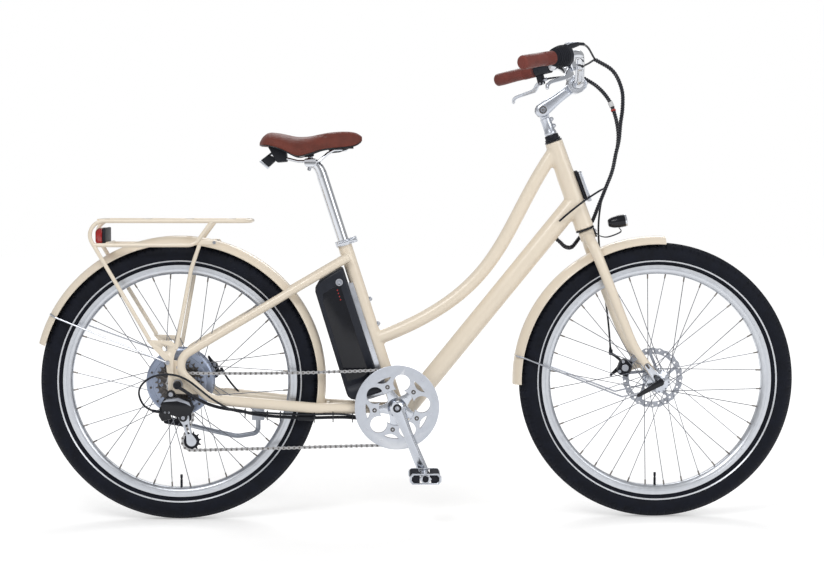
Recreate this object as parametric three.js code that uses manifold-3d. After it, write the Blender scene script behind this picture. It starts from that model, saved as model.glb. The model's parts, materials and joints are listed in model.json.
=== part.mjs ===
// Step-through electric bicycle with a hub motor, rear rack and mudguards
// +X points forward, +Y to the rider's left, +Z up; the origin is on the ground midway between the axles.
// Lengths are in millimetres and angles in degrees.
import * as THREE from 'three';
import { mergeVertices } from 'three/addons/utils/BufferGeometryUtils.js';
import Module from 'manifold-3d';

const wasm = await Module();
wasm.setup();

// Clearances shared by all fits
const seatGap = 0.3;
const runningGap = 0.5;
const overrun = 2;

// Main layout
const wheelbase = 1172;
const rearCentre = 529;
const bracketDrop = 60.5;
const seatAngle = 72.1;
const headAngle = 69.8;
const forkLength = 409;
const forkRake = 39;

// Wheels
const tyreRadius = 340;
const tyreWidth = 60;
const tyreHeight = 54.5;
const treadFlatWidth = 24;
const rimOuterRadius = tyreRadius - tyreHeight;
const rimDepth = 23;
const rimWidth = 30;
const rimWall = 2;
const rimWellDepth = 9.5;
const rimWallDepth = 15.5;
const rimInnerRadius = rimOuterRadius - rimDepth;
const rimWellRadius = rimOuterRadius - rimWellDepth;
const rimShoulderRadius = rimOuterRadius - rimWallDepth;
const wheelFacets = 32;
const spokeCount = 36;
const spokeRadius = 0.9;
const hubFlangeThickness = 4;
const valveRadius = 3;
const valveLength = 32;
const frontHubWidth = 100;
const frontFlangeRadius = 29;
const frontFlangePlaces = [-35, 25];
const frontHubBodyRadius = 15;
const frontAxleRadius = 4.5;
const frontCrossings = 3;
const axleLeverLength = 62;
const axleLeverTurn = 210;
const rearHubWidth = 135;
const rearAxleRadius = 6;
const motorRadius = 82;
const motorWidth = 56;
const motorEdge = 6;
const motorCoverRadius = 66;
const motorBossRadius = 22;
const motorCrossings = 1;

// Brake rotors and calipers
const rotorRadius = 76;
const rotorWave = 2.4;
const rotorInnerRadius = 62;
const rotorHubRadius = 24;
const rotorArmWidth = 9;
const rotorSweep = 24;
const rotorThickness = 1.8;
const rotorArms = 5;
const rotorHoles = 8;
const rotorHoleRadius = 3.2;
const frontRotorPlace = 41;
const rearRotorPlace = 49;
const caliperSlot = 3.2;
const caliperInboard = 13;
const caliperOutboard = 14;
const caliperLength = 40;
const caliperReach = 30;
const caliperPinRadius = 4;
const frontCaliperTurn = 160;
const rearCaliperTurn = 16;
const caliperTabDepth = 4.5;
const frontTabShares = [[1.55, -0.5], [1.78, -0.5], [1.78, 0.5], [1.53, 0.5], [1.3, 0], [0.88, -0.3],
  [0.75, -0.55], [1.4, -0.92]];
const rearTabShares = [[1.55, 0.5], [1.78, 0.5], [1.78, -1.12], [1.5, -1.3], [0.95, -0.35], [1.25, -0.12]];
const brakeArmPivot = 81;
const brakeArmLength = 34;
const frontArmLean = 60;
const rearArmLean = 100;
const brakeArmWidth = 11;
const brakeArmThickness = 4;

// Frame tubes
const headTubeLength = 235;
const headTubeRadius = 22;
const headSleeveRadius = 23.6;
const headSleeveLength = 148;
const headBoreRadius = 17;
const headsetHeight = 4;
const steererRadius = 14;
const topTubeRadius = 17;
const topTubeSeatJoint = 170;
const topTubeHeadJoint = 22;
const topTubeSeatAngle = 20.2;
const topTubeHeadAngle = 54.9;
const topTubeSeatReach = 348;
const topTubeHeadReach = 242;
const downTubeRadius = 24;
const downTubeHeadJoint = 75;
const downTubeOffset = 24.3;
const downTubeTail = 12;
const seatTubeLength = 425;
const seatTubeRadius = 17.45;
const seatpostRadius = 13.6;
const shellRadius = 20.5;
const shellWidth = 73;
const shellBoreRadius = 17;
const chainstayRadius = 13.5;
const yokeRadius = 11;
const yokeLength = 100;
const chainstayHalfSpanShell = 24;
const chainstayHalfSpanYoke = 30.5;
const chainstayHalfSpanTyre = 48;
const chainstayShellDrop = 8;
const chainstayTyreGap = 8;
const chainstayTyreRise = 2;
const stayRadius = 11;
const stayHalfSpanTop = 25;
const stayHalfSpanFender = 48;
const stayHalfSpanRear = 78;
const stayTopJoint = 384;
const stayBendBehindSeat = 95;
const stayElbowBack = 17;
const stayElbowUp = 52;
const stayElbowRadius = 38;
const stayLowerForward = 77;
const stayLowerDrop = 36;
const stayLowerRadius = 60;
const bridgeRadius = 7;
const dropoutThickness = 6;
const dropoutReach = 24;
const bossRadius = 5;
const bossLength = 7;
const bossHeights = [205, 269];

// Fork
const crownRadius = 19;
const crownLength = 26;
const forkLegRadius = 13.2;
const forkTipRadius = 9.5;
const forkHalfSpan = 50;
const forkTipHalfSpan = 61;
const forkLegShares = [[0.03, 0, 0.15], [0.07, 0, 0.6], [0.13, 0.02, 0.96], [0.35, 0.09, 1],
  [0.57, 0.14, 1],
  [0.75, 0.26, 1], [0.885, 0.62, 1], [0.965, 0.88, 1]];
const eyeletBack = 14;
const eyeletDrop = 18;
const eyeletRadius = 6;
const dropoutPlateLength = 42;
const dropoutPlateWidth = 22;

// Stem, handlebar and controls
const quillRadius = 11;
const quillLength = 60;
const riserRadius = 13;
const riserScrewHeights = [33, 50];
const riserScrewRadius = 4;
const riserCollarRadius = 17;
const riserCollarHeight = 14;
const stemPivotHeight = 78;
const stemPivotRadius = 18;
const stemSlotRadius = 26;
const neckRoom = 3.5;
const knuckleHalfWidth = 8;
const stemPivotWidth = 30;
const stemArmReach = 103;
const stemArmRise = 37.3;
const stemArmTipRadius = 13;
const stemArmEdge = 3;
const clampOuterRadius = 22;
const clampWidth = 46;
const pivotBoltRadius = 6;
const barRadius = 11.1;
const barCentreHalf = 66;
const barRise = 40;
const barSideHalf = 104;
const barBendRadius = 36;
const gripBendStart = 200;
const gripBendRadius = 52;
const barForward = 4;
const gripSweep = 48;
const gripDroop = 9;
const barHalfWidth = 320;
const gripTipRise = 30.5;
const gripTipBack = 164;
const gripRadius = 16;
const gripCap = 3;
const rightGripLength = 105;
const leftGripLength = 125;
const shifterRadius = 26;
const shifterLength = 34;
const housingLength = 13;
const housingNose = 44;
const housingNoseTurn = 150;
const perchLength = 16;
const perchRadius = 15;
const earThickness = 4;
const padLength = 30;
const padWidth = 34;
const padHeight = 14;
const padReach = 12;
const leverLength = 105;
const leverThickness = 7;
const leverWidth = 11;
const leverDrop = 22;
const leverLean = 20;
const leverPivotReach = 34;
const leverPinRadius = 3;

// Seat
const seatpostTop = 612;
const seatpostInsert = 120;
const collarHeight = 14;
const collarRadius = 20.5;
const collarLug = 13;
const collarEarHalf = 9;
const collarSplit = 2;
const collarBoltRadius = 3;
const collarLeverReach = 16;
const headSetback = 16.6;
const headRise = 22;
const headLength = 27;
const headHalfWidth = 28;
const headHeight = 30;
const headBoltRadius = 5;
const headSplit = 3;
const railRadius = 3.5;
const railHalfSpan = 22;
const railRise = 32;
const railBendRadius = 10;
const railShares = [[0.11, 0.5, 1.5], [0.24, 0.25, 1.3], [0.37, 0, 1], [0.575, 0, 1], [0.66, 0.6, 0.75],
  [0.72, 0.86, 0.6],
  [0.84, 0.88, 0.36]];
const saddleSetback = 333;
const saddleLength = 249;
const saddleRise = 671.5;
const saddleHeight = 64;
const saddleWidth = 172;
const saddleUnderShare = 0.578;
const saddlePan = 5;
const saddleShares = [[0, 0.47, 0.42, 0.57], [0.035, 0.77, 0.2, 0.57], [0.1, 0.93, 0.05, 0.59],
  [0.22, 1, 0.09, 0.73],
  [0.36, 0.95, 0.2, 0.98], [0.48, 0.79, 0.19, 0.89], [0.6, 0.535, 0.09, 0.73], [0.72, 0.36, 0.02, 0.66],
  [0.85, 0.28, 0, 0.61], [0.94, 0.22, 0.05, 0.53], [1, 0.1, 0.2, 0.36]];
const noseBlockStart = 166;
const noseBlockLength = 52;
const noseBlockHalf = 18;
const noseBlockFootShare = 0.7;
const backBlockStart = 20;
const backBlockLength = 44;
const backBlockHalf = 40;

// Drive
const chainPitch = 12.7;
const ringTeeth = 46;
const ringPlace = 48;
const ringThickness = 3;
const boltCircleRadius = 55;
const boltRadius = 4;
const ringBoltTurn = 43;
const triangleHalfAngle = 13;
const windowRadius = 20.5;
const windowPlace = 61;
const ringBandRadius = 77;
const ringHubRadius = 44;
const guardRadius = 103;
const guardThickness = 2.4;
const spiderThickness = 4;
const toothDepth = 4;
const chainHeight = 8.4;
const chainOuterWidth = 6.6;
const chainInnerWidth = 4.8;
const chainStepShare = 0.002;
const chainSag = 5;
const crankLength = 170;
const crankTurn = -67.5;
const crankBossRadius = 17;
const crankTipRadius = 13;
const crankThickness = 13;
const crankOffset = 60;
const spindleRadius = 8.5;
const cupLength = 4;
const pedalAxleRadius = 5;
const pedalLength = 76;
const pedalWidth = 88;
const pedalHeight = 26;
const pedalGap = 8;
const pedalCage = 4;
const pedalBlock = 22;
const sprocketTeeth = [28, 24, 21, 19, 17, 15, 13];
const sprocketPitch = 4.6;
const sprocketThickness = 1.8;
const sprocketStart = 33.5;
const freehubRadius = 16;
const pulleyTeeth = 11;
const pulleyThickness = 3.4;
const pulleyPinRadius = 3;
const guideForward = 13;
const guideDrop = 80;
const tensionForward = 31;
const tensionDrop = 140;
const cageThickness = 2;
const cageHalfGap = 4.5;
const cageEndRadius = 15;
const linkThickness = 13;
const linkLength = 30;
const linkHeight = 45;
const linkShares = [[-0.85, 0.55], [-0.5, 0.2], [0.6, 0.1], [1.6, 0.35], [1.9, 0.7], [1.6, 1.1], [0.9, 1.3],
  [-0.7, 1]];
const hangerBack = 16;
const hangerDrop = 23;
const knuckleRadius = 10;

// Mudguards
const fenderGap = 16.5;
const fenderRadius = tyreRadius + fenderGap;
const fenderHalfWidth = 34;
const fenderDrop = 18;
const fenderWall = 2.2;
const fenderStep = 8;
const fenderShares = [[-1, 1], [-0.55, 0.08], [0.55, 0.08], [1, 1]];
const rearFenderFrom = -10.5;
const rearFenderTo = 164.6;
const frontFenderFrom = 87;
const frontFenderTo = 181.5;
const stayWireRadius = 2.2;
const rearStayAngle = 152;
const frontStayAngle = 170;
const rearEyeBack = 24;
const rearEyeUp = 53;
const frontKneeBack = 92;
const frontKneeDrop = 36;
const fenderTabWidth = 4;

// Rear rack
const rackTubeRadius = 5;
const rackRise = 393;
const rackHalfWidth = 60;
const rackFrontAhead = 175;
const rackRearBack = 235;
const rackLowerDrop = 58;
const rackBendRadius = 34;
const rackLowerFrontAhead = 41;
const rackJoinAhead = 83;
const rackLegAhead = 52;
const rackTabLength = 40;
const rackLegFootBack = 4;
const rackLegFootRise = 85;
const rackFootBack = 67;
const rackFootTopRise = 107;
const rackFootBottomRise = 20;
const rackFootWidth = 70;
const footThickness = 5;
const footShares = [[-0.12, 1], [0.2, 1], [0.75, 0.98], [0.98, 0.82], [0.86, 0.6], [0.82, 0.45],
  [0.82, 0.02], [0.7, 0],
  [0.58, 0.12], [0.56, 0.4], [0.18, 0.72]];
const footHoleShare = 0.53;
const footHoleDrop = 20;
const footHoleRadius = 7;
const slatWidth = 16;
const slatThickness = 3;
const slatCount = 4;
const tailLightBack = 174;
const tailLightDepth = 25;
const tailLightHeight = 43;
const tailLightWidth = 100;

// Battery and its rail
const batteryFrom = 45;
const batteryTo = 366;
const batteryNear = 21;
const batteryFar = 107;
const batteryHalfWidth = 42;
const batteryEdge = 6;
const batteryShares = [[0, 0], [0.78, 0], [0.92, 0.02], [1, 0.06], [0.95, 0.885], [0.74, 0.955], [0, 1]];
const cradleDepth = 34.7;
const cradleHalfWidth = 26;
const cradleTo = 322;
const cradleFoot = 10;
const cradleFootReach = 70;

// Kickstand
const kickstandAhead = 185.4;
const kickstandDrop = 96.4;
const kickstandPlace = 65;
const kickLean = 12;
const kickBlockLength = 30;
const kickBlockWidth = 26;
const kickBlockHeight = 44;
const kickKnuckle = 9;
const kickPinRadius = 3.5;
const kickLegHalf = 6;
const kickLegRadius = 6;
const kickBendRadius = 14;
const kickLegLength = 236;
const kickLegDrop = 50;
const kickLegSpread = 15;
const kickLegShares = [[0, 0, 0], [0, 0.84, 0], [0.22, 1.03, 0.4], [0.44, 0.82, 0.8], [0.75, 0.46, 1],
  [1, 0.2, 1]];
const kickFootRadius = 10;

// Lamp and carrier plate
const lampAhead = 100.8;
const lampUp = 24.6;
const lampLean = 10;
const lampLength = 45;
const lampRadius = 15.5;
const lampStripWidth = 12;
const lampStripThickness = 6;
const carrierPlace = 29;
const carrierThickness = 8;
const carrierWidth = 50;
const carrierFrom = 62;
const carrierLength = 80;

// Cable routes, from the bar or the bracket outwards
const loomRadius = 5;
const cableRadius = 2.5;
const motorCableRadius = 4;
const loomRoute = [[424, -40, 1125], [467, -40, 1098], [489, -40, 1054], [493, -32, 1010], [490, -20, 970],
  [489, -4, 930], [483, 4, 898],
  [475, 10, 855], [461, 18, 815], [444, 28, 768], [430, 37, 730], [414, 45, 708], [396, 41, 686],
  [378, 28, 667], [360, 10, 669], [348, 2, 679.5], [338.3, 0, 687.6]];
const leftLoomRoute = [[400, 60, 1092], [440, 40, 1065], [466, 14, 1030], [480, 0, 990], [487, -4, 950],
  [487, 0, 918]];
const shifterCableRoute = [[374, -190, 1150], [396, -120, 1146], [424, -40, 1125], [436, -40, 1119]];
const rightBrakeRoute = [[372, -190, 1098], [396, -120, 1110], [424, -40, 1125], [436, -40, 1119]];
const leftBrakeRoute = [[372, 190, 1098], [398, 120, 1094], [404, 60, 1090], [412, 54, 1084]];
const frontBrakeRoute = [[461, 18, 815], [452, 44, 770], [450, 62, 700], [462, 74, 600], [478, 74, 480],
  [484, 66, 400]];
const portCableRoute = [[461, 18, 815], [438, -20, 806], [401, -34, 783], [366, -36, 756], [340, -30, 733]];
const gearCableRoute = [[-150, -43, 255.5], [-196, -51, 263], [-292, -57, 263.4], [-389, -68, 270],
  [-448, -82, 276], [-500, -94, 305],
  [-560, -98, 352], [-600, -98, 366], [-640, -96, 362], [-668, -92, 344], [-678, -88, 320],
    [-668, -84, 292], [-648, -82, 278], [-630, -80, 274]];
const motorCableRoute = [[-150, -39, 251.5], [-196, -40, 254], [-292, -47, 254], [-389, -60, 263],
  [-437, -66, 274], [-490, -66, 282]];

// Colours of the finishes
const paint = { color: 0xe3d3bb, roughness: 0.35, metalness: 0.1 };
const silver = { color: 0xc9cdd2, roughness: 0.3, metalness: 0.9 };
const steel = { color: 0x9a9da3, roughness: 0.35, metalness: 0.9 };
const blackPlastic = { color: 0x1b1c20, roughness: 0.6, metalness: 0 };
const blackRubber = { color: 0x202228, roughness: 0.85, metalness: 0 };
const leather = { color: 0x83402f, roughness: 0.6, metalness: 0 };

// Shared counts of facets
const bendStep = 35;
const tubeSides = 8;
const smallSides = 6;
const wireSides = 5;

const radians = THREE.MathUtils.degToRad;
// Radius of a faceted bore whose flats stay clear of a round piece
const clearOf = (radius, sides = tubeSides, gap = seatGap) => (radius + gap) / Math.cos(Math.PI / sides);
const at = (x, y, z) => new THREE.Vector3(x, y, z);
const flat = (x, y) => new THREE.Vector2(x, y);

// Solids are joined and cut on merged vertices; the result is turned back into a geometry
function solidOf(geometry) {
  const bare = geometry.clone();
  bare.deleteAttribute('normal');
  bare.deleteAttribute('uv');
  const merged = mergeVertices(bare);
  const corners = merged.index.array;
  const places = merged.attributes.position.array;
  let volume = 0;
  for (let face = 0; face < corners.length; face += 3) {
    const [a, b, c] = [0, 1, 2].map((k) => new THREE.Vector3().fromArray(places, corners[face + k] * 3));
    volume += a.dot(b.cross(c));
  }
  const triVerts = Uint32Array.from(corners);
  if (volume < 0) {
    for (let face = 0; face < triVerts.length; face += 3) {
      [triVerts[face + 1], triVerts[face + 2]] = [triVerts[face + 2], triVerts[face + 1]];
    }
  }
  const vertProperties = Float32Array.from(places);
  const mesh = new wasm.Mesh({ numProp: 3, vertProperties, triVerts });
  mesh.merge();
  return new wasm.Manifold(mesh);
}

function geometryOf(solid) {
  const mesh = solid.getMesh();
  const geometry = new THREE.BufferGeometry();
  geometry.setAttribute('position', new THREE.BufferAttribute(Float32Array.from(mesh.vertProperties), 3));
  geometry.setIndex(new THREE.BufferAttribute(Uint32Array.from(mesh.triVerts), 1));
  return geometry;
}

function join(first, ...others) {
  let solid = solidOf(first);
  for (const other of others) {
    solid = solid.add(solidOf(other));
  }
  return geometryOf(solid);
}

function cut(base, ...tools) {
  let solid = solidOf(base);
  for (const tool of tools) {
    solid = solid.subtract(solidOf(tool));
  }
  return geometryOf(solid);
}

// A route whose rings stand exactly at the given points
class RingRoute extends THREE.Curve {
  constructor(points) {
    super();
    this.points = points;
  }

  getPoint(share, target = new THREE.Vector3()) {
    const spot = share * (this.points.length - 1);
    const first = Math.min(Math.floor(spot), this.points.length - 2);
    return target.lerpVectors(this.points[first], this.points[first + 1], spot - first);
  }

  getPointAt(share, target) {
    return this.getPoint(share, target);
  }

  getTangentAt(share, target = new THREE.Vector3()) {
    const ring = Math.round(share * (this.points.length - 1));
    const last = this.points.length - 1;
    const before = this.points[ring].clone().sub(this.points[Math.max(ring - 1, 0)]).normalize();
    const after = this.points[Math.min(ring + 1, last)].clone().sub(this.points[ring]).normalize();
    return target.copy(before).add(after).normalize();
  }

  getSpacedPoints() {
    return this.points;
  }
}

// Corner points with each inner corner rounded to its radius
function rounded(corners, radii) {
  const points = [corners[0]];
  for (let k = 1; k < corners.length - 1; k += 1) {
    const here = corners[k];
    const back = corners[k - 1].clone().sub(here);
    const ahead = corners[k + 1].clone().sub(here);
    const room = Math.min(back.length(), ahead.length()) / 2;
    const half = back.angleTo(ahead) / 2;
    const reach = Math.min(radii[k - 1] / Math.tan(half), room);
    const from = back.normalize().multiplyScalar(reach).add(here);
    const to = ahead.normalize().multiplyScalar(reach).add(here);
    const turn = Math.PI - 2 * half;
    const bend = new THREE.QuadraticBezierCurve3(from, here, to);
    points.push(...bend.getPoints(Math.ceil(turn / radians(bendStep))));
  }
  points.push(corners[corners.length - 1]);
  return points;
}

function circleShape(radius, sides) {
  const shape = new THREE.Shape();
  for (let k = 0; k < sides; k += 1) {
    const angle = ((k + 0.5) / sides) * 2 * Math.PI;
    const corner = flat(radius * Math.cos(angle), radius * Math.sin(angle));
    if (k === 0) {
      shape.moveTo(corner.x, corner.y);
    } else {
      shape.lineTo(corner.x, corner.y);
    }
  }
  return shape;
}

function shapeOf(points) {
  return new THREE.Shape(points);
}

function tubeThrough(points, radius, sides = tubeSides) {
  const route = new RingRoute(points);
  const shape = circleShape(radius, sides);
  return new THREE.ExtrudeGeometry(shape,
    { steps: points.length - 1, extrudePath: route, bevelEnabled: false });
}

function bentTube(corners, radii, radius, sides = tubeSides) {
  return tubeThrough(rounded(corners, radii), radius, sides);
}

function smoothTube(points, radius, steps, sides = smallSides) {
  const curve = new THREE.CatmullRomCurve3(points, false, 'centripetal');
  return tubeThrough(curve.getSpacedPoints(steps), radius, sides);
}

// A tube whose radius runs from one value to another along its rings
function taperedTube(points, radii, sides = tubeSides) {
  const route = new RingRoute(points);
  const frames = route.computeFrenetFrames(points.length - 1, false);
  const rings = points.map((point, k) => {
    const ring = [];
    for (let side = 0; side < sides; side += 1) {
      const angle = (side / sides) * 2 * Math.PI;
      const out = frames.normals[k].clone().multiplyScalar(radii[k] * Math.cos(angle));
      out.add(frames.binormals[k].clone().multiplyScalar(radii[k] * Math.sin(angle)));
      ring.push(out.add(point));
    }
    return ring;
  });
  return loft(rings);
}

// A skin over rings of points; open rings are capped at both ends, a closed loop of rings is not
function loft(rings, closed = false, caps = null) {
  const count = rings[0].length;
  const places = rings.flat().flatMap((point) => [point.x, point.y, point.z]);
  const index = [];
  const spans = closed ? rings.length : rings.length - 1;
  for (let k = 0; k < spans; k += 1) {
    const here = k * count;
    const next = ((k + 1) % rings.length) * count;
    for (let side = 0; side < count; side += 1) {
      const other = (side + 1) % count;
      index.push(here + side, here + other, next + side);
      index.push(here + other, next + other, next + side);
    }
  }
  if (!closed) {
    const faces = caps ?? Array.from({ length: count - 2 }, (_, k) => [0, k + 1, k + 2]);
    const far = (rings.length - 1) * count;
    for (const [a, b, c] of faces) {
      index.push(c, b, a);
      index.push(far + a, far + b, far + c);
    }
  }
  const geometry = new THREE.BufferGeometry();
  geometry.setAttribute('position', new THREE.Float32BufferAttribute(places, 3));
  geometry.setIndex(index);
  return geometry;
}

function rod(from, to, radius, sides = tubeSides) {
  const length = from.distanceTo(to);
  const geometry = new THREE.CylinderGeometry(radius, radius, length, sides);
  const turn = new THREE.Quaternion().setFromUnitVectors(at(0, 1, 0), to.clone().sub(from).normalize());
  geometry.applyQuaternion(turn);
  const middle = from.clone().add(to).multiplyScalar(0.5);
  return geometry.translate(middle.x, middle.y, middle.z);
}

function box(from, to) {
  const geometry = new THREE.BoxGeometry(to.x - from.x, to.y - from.y, to.z - from.z);
  const middle = from.clone().add(to).multiplyScalar(0.5);
  return geometry.translate(middle.x, middle.y, middle.z);
}

// A solid of revolution about the Y axis from points of radius and place
function turned(points, facets = wheelFacets) {
  const outline = points.map(([radius, place]) => flat(radius, place));
  return new THREE.LatheGeometry(outline, facets, Math.PI / facets);
}

function ringTurned(points, facets = wheelFacets) {
  return turned([...points, points[0]], facets);
}

// A plate in the XZ plane between two places on Y
function sidePlate(shape, from, to, bevel = 0, curveSegments = 6) {
  const depth = to - from - 2 * bevel;
  const options = { depth, curveSegments, bevelEnabled: bevel > 0 };
  if (bevel > 0) {
    Object.assign(options,
      { bevelThickness: bevel, bevelSize: bevel, bevelOffset: -bevel, bevelSegments: 1 });
  }
  const geometry = new THREE.ExtrudeGeometry(shape, options);
  geometry.rotateX(Math.PI / 2);
  return geometry.translate(0, to - bevel, 0);
}

// A form turned about Y, stood on a point along a direction
function standing(geometry, from, direction) {
  const turn = new THREE.Quaternion().setFromUnitVectors(at(0, 1, 0), direction);
  return geometry.applyQuaternion(turn).translate(from.x, from.y, from.z);
}

function disc(x, z, radius, from, to, sides = tubeSides) {
  return rod(at(x, from, z), at(x, to, z), radius, sides);
}

function mirrored(geometry) {
  const copy = geometry.clone();
  copy.scale(1, -1, 1);
  return copy;
}

function piece(name, geometry, finish) {
  const solid = solidOf(geometry);
  const mesh = new THREE.Mesh(geometryOf(solid), new THREE.MeshStandardMaterial(finish));
  mesh.name = name;
  return mesh;
}

// Reference places of the layout
const frontAxle = at(wheelbase / 2, 0, tyreRadius);
const rearAxle = at(-wheelbase / 2, 0, tyreRadius);
const bracket = at(rearAxle.x + rearCentre, 0, tyreRadius - bracketDrop);
const headUp = at(-Math.cos(radians(headAngle)), 0, Math.sin(radians(headAngle)));
const headForward = at(headUp.z, 0, -headUp.x);
const headFoot = frontAxle.clone().addScaledVector(headUp, forkLength).addScaledVector(headForward,
  -forkRake);
const seatUp = at(-Math.cos(radians(seatAngle)), 0, Math.sin(radians(seatAngle)));
const seatForward = at(seatUp.z, 0, -seatUp.x);
const onHead = (height, forward = 0, side = 0) => headFoot.clone()
  .addScaledVector(headUp, height).addScaledVector(headForward, forward).add(at(0, side, 0));
const onSeat = (height, forward = 0, side = 0) => bracket.clone()
  .addScaledVector(seatUp, height).addScaledVector(seatForward, forward).add(at(0, side, 0));
const headLean = radians(headAngle - 90);
const saddleRear = bracket.x - saddleSetback;
const saddleTop = bracket.z + saddleRise;
const rackFrontX = rearAxle.x + rackFrontAhead;
const rackRearX = rearAxle.x - rackRearBack;
const rackLowerFrontX = rearAxle.x + rackLowerFrontAhead;
const rackJoinX = rearAxle.x + rackJoinAhead;
const rackLegX = rearAxle.x + rackLegAhead;
const rackLegFootX = rearAxle.x - rackLegFootBack;
const rackLegFootZ = rearAxle.z + rackLegFootRise;
const rackFootX = rearAxle.x - rackFootBack;
const rackFootTop = rearAxle.z + rackFootTopRise;
const rackFootBottom = rearAxle.z + rackFootBottomRise;
const rackHeight = rearAxle.z + rackRise;
const tailLightFront = rearAxle.x - tailLightBack;
const lampFace = headFoot.clone().add(at(lampAhead, 0, lampUp));
const seatLean = radians(seatAngle - 90);

// Route of one stay: down the seatstay, round the elbow behind the axle and forward as the chainstay
const stayRoute = (() => {
  const top = onSeat(stayTopJoint, 0, stayHalfSpanTop);
  const elbow = rearAxle.clone().add(at(-stayElbowBack, stayHalfSpanRear, stayElbowUp));
  const lower = rearAxle.clone().add(at(stayLowerForward, stayHalfSpanRear, -stayLowerDrop));
  const slope = (top.z - elbow.z) / (top.x - elbow.x);
  const bend = at(top.x - stayBendBehindSeat, stayHalfSpanFender, top.z - slope * stayBendBehindSeat);
  const shell = at(bracket.x, chainstayHalfSpanShell, bracket.z - chainstayShellDrop);
  const yoke = at(bracket.x - yokeLength, chainstayHalfSpanYoke, shell.z + chainstayTyreRise);
  const tyre = at(rearAxle.x + tyreRadius - chainstayTyreGap, chainstayHalfSpanTyre,
    yoke.z + 2 * chainstayTyreRise);
  return { top, elbow, lower, bend, shell, yoke, tyre };
})();

function dropoutShape() {
  const shape = new THREE.Shape();
  const { elbow, lower } = stayRoute;
  shape.moveTo(rearAxle.x - dropoutReach, rearAxle.z - dropoutReach);
  shape.lineTo(rearAxle.x + dropoutReach, rearAxle.z - dropoutReach);
  shape.lineTo(lower.x - dropoutReach, lower.z + stayRadius);
  shape.lineTo(elbow.x + dropoutReach + stayRadius, elbow.z - dropoutReach - stayRadius);
  shape.lineTo(elbow.x + dropoutReach + stayRadius, elbow.z);
  shape.lineTo(elbow.x - stayRadius, elbow.z + stayRadius);
  shape.lineTo(rearAxle.x - dropoutReach, rearAxle.z + dropoutReach);
  return shape;
}

function frameSide() {
  const { top, elbow, lower, bend, shell, yoke, tyre } = stayRoute;
  const loop = bentTube([top, bend, elbow, lower, tyre], [4 * stayRadius, stayElbowRadius, stayLowerRadius],
    stayRadius);
  const stayStart = lower.clone().lerp(tyre, 2 * chainstayRadius / lower.distanceTo(tyre));
  const chainstay = bentTube([stayStart, tyre, yoke], [stayLowerRadius], chainstayRadius);
  const yokeStart = yoke.clone().lerp(tyre, chainstayRadius / yoke.distanceTo(tyre));
  const yokeTube = bentTube([yokeStart, yoke, shell], [stayLowerRadius], yokeRadius);
  const plate = sidePlate(dropoutShape(), rearHubWidth / 2, rearHubWidth / 2 + dropoutThickness);
  return [loop, chainstay, yokeTube, plate];
}

function frameGeometry() {
  const headBottom = headsetHeight + seatGap;
  const headTop = headTubeLength - headsetHeight - seatGap;
  const headTube = rod(onHead(headBottom), onHead(headTop), headTubeRadius, 16);
  const sleeve = rod(onHead(headBottom), onHead(headSleeveLength), headSleeveRadius, 16);
  const seatTop = onSeat(seatTubeLength);
  const seatTube = rod(onSeat(0), seatTop, seatTubeRadius, 14);
  const shell = disc(bracket.x, bracket.z, shellRadius, -shellWidth / 2, shellWidth / 2, 16);

  const topSeat = onSeat(topTubeSeatJoint);
  const topHead = onHead(headTubeLength - topTubeHeadJoint);
  const seatHandle = at(Math.cos(radians(topTubeSeatAngle)), 0, Math.sin(radians(topTubeSeatAngle)));
  const headHandle = at(Math.cos(radians(topTubeHeadAngle)), 0, Math.sin(radians(topTubeHeadAngle)));
  const topCurve = new THREE.CubicBezierCurve3(
    topSeat,
    topSeat.clone().addScaledVector(seatHandle, topTubeSeatReach),
    topHead.clone().addScaledVector(headHandle, -topTubeHeadReach),
    topHead,
  );
  const topTube = tubeThrough(topCurve.getSpacedPoints(9), topTubeRadius, 10);

  const downHead = onHead(downTubeHeadJoint);
  const toBracket = bracket.clone().sub(downHead);
  const swing = Math.asin(downTubeOffset / toBracket.length());
  const downLine = toBracket.clone().applyAxisAngle(at(0, 1, 0), -swing).normalize();
  const downRun = toBracket.length() * Math.cos(swing) + downTubeTail;
  const downTube = rod(downHead, downHead.clone().addScaledVector(downLine, downRun), downTubeRadius, 16);

  const nearSide = frameSide();
  const farSide = nearSide.map(mirrored);
  const { tyre, bend, elbow } = stayRoute;
  const bridgeReach = fenderRadius + clearOf(bridgeRadius, smallSides);
  const lowRun = Math.sqrt(bridgeReach ** 2 - (tyre.z - rearAxle.z) ** 2);
  const lowBridge = disc(rearAxle.x + lowRun, tyre.z, bridgeRadius, -tyre.y + bridgeRadius,
    tyre.y - bridgeRadius, smallSides);
  const stayLine = new THREE.Ray(bend.clone().setY(0), elbow.clone().sub(bend).setY(0).normalize());
  const highSpot = stayLine.intersectSphere(new THREE.Sphere(rearAxle, bridgeReach), at(0, 0, 0));
  const highBridge = disc(highSpot.x, highSpot.z, bridgeRadius, -bend.y, bend.y, smallSides);
  const caliperPlate = caliperTab(rearRotorPlace, rearCaliperTurn, rearHubWidth / 2 + caliperTabDepth,
    rearTabShares)
    .translate(rearAxle.x, 0, rearAxle.z);
  const bosses = bossHeights.map((height) => rod(onSeat(height),
    onSeat(height, seatTubeRadius + bossLength),
    bossRadius, smallSides));

  const welded = join(headTube, sleeve, seatTube, shell, topTube, downTube, ...nearSide, ...farSide,
    lowBridge, highBridge, caliperPlate, ...bosses);
  const headBore = rod(onHead(-overrun), onHead(headTubeLength + overrun), headBoreRadius, 12);
  const seatBore = rod(onSeat(shellRadius + overrun), onSeat(seatTubeLength + overrun),
    clearOf(seatpostRadius, 12), 12);
  const shellBore = disc(bracket.x, bracket.z, shellBoreRadius, -shellWidth, shellWidth, 16);
  const axleBore = disc(rearAxle.x, rearAxle.z, clearOf(rearAxleRadius), -rearHubWidth, rearHubWidth);
  return cut(welded, headBore, seatBore, shellBore, axleBore);
}

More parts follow.
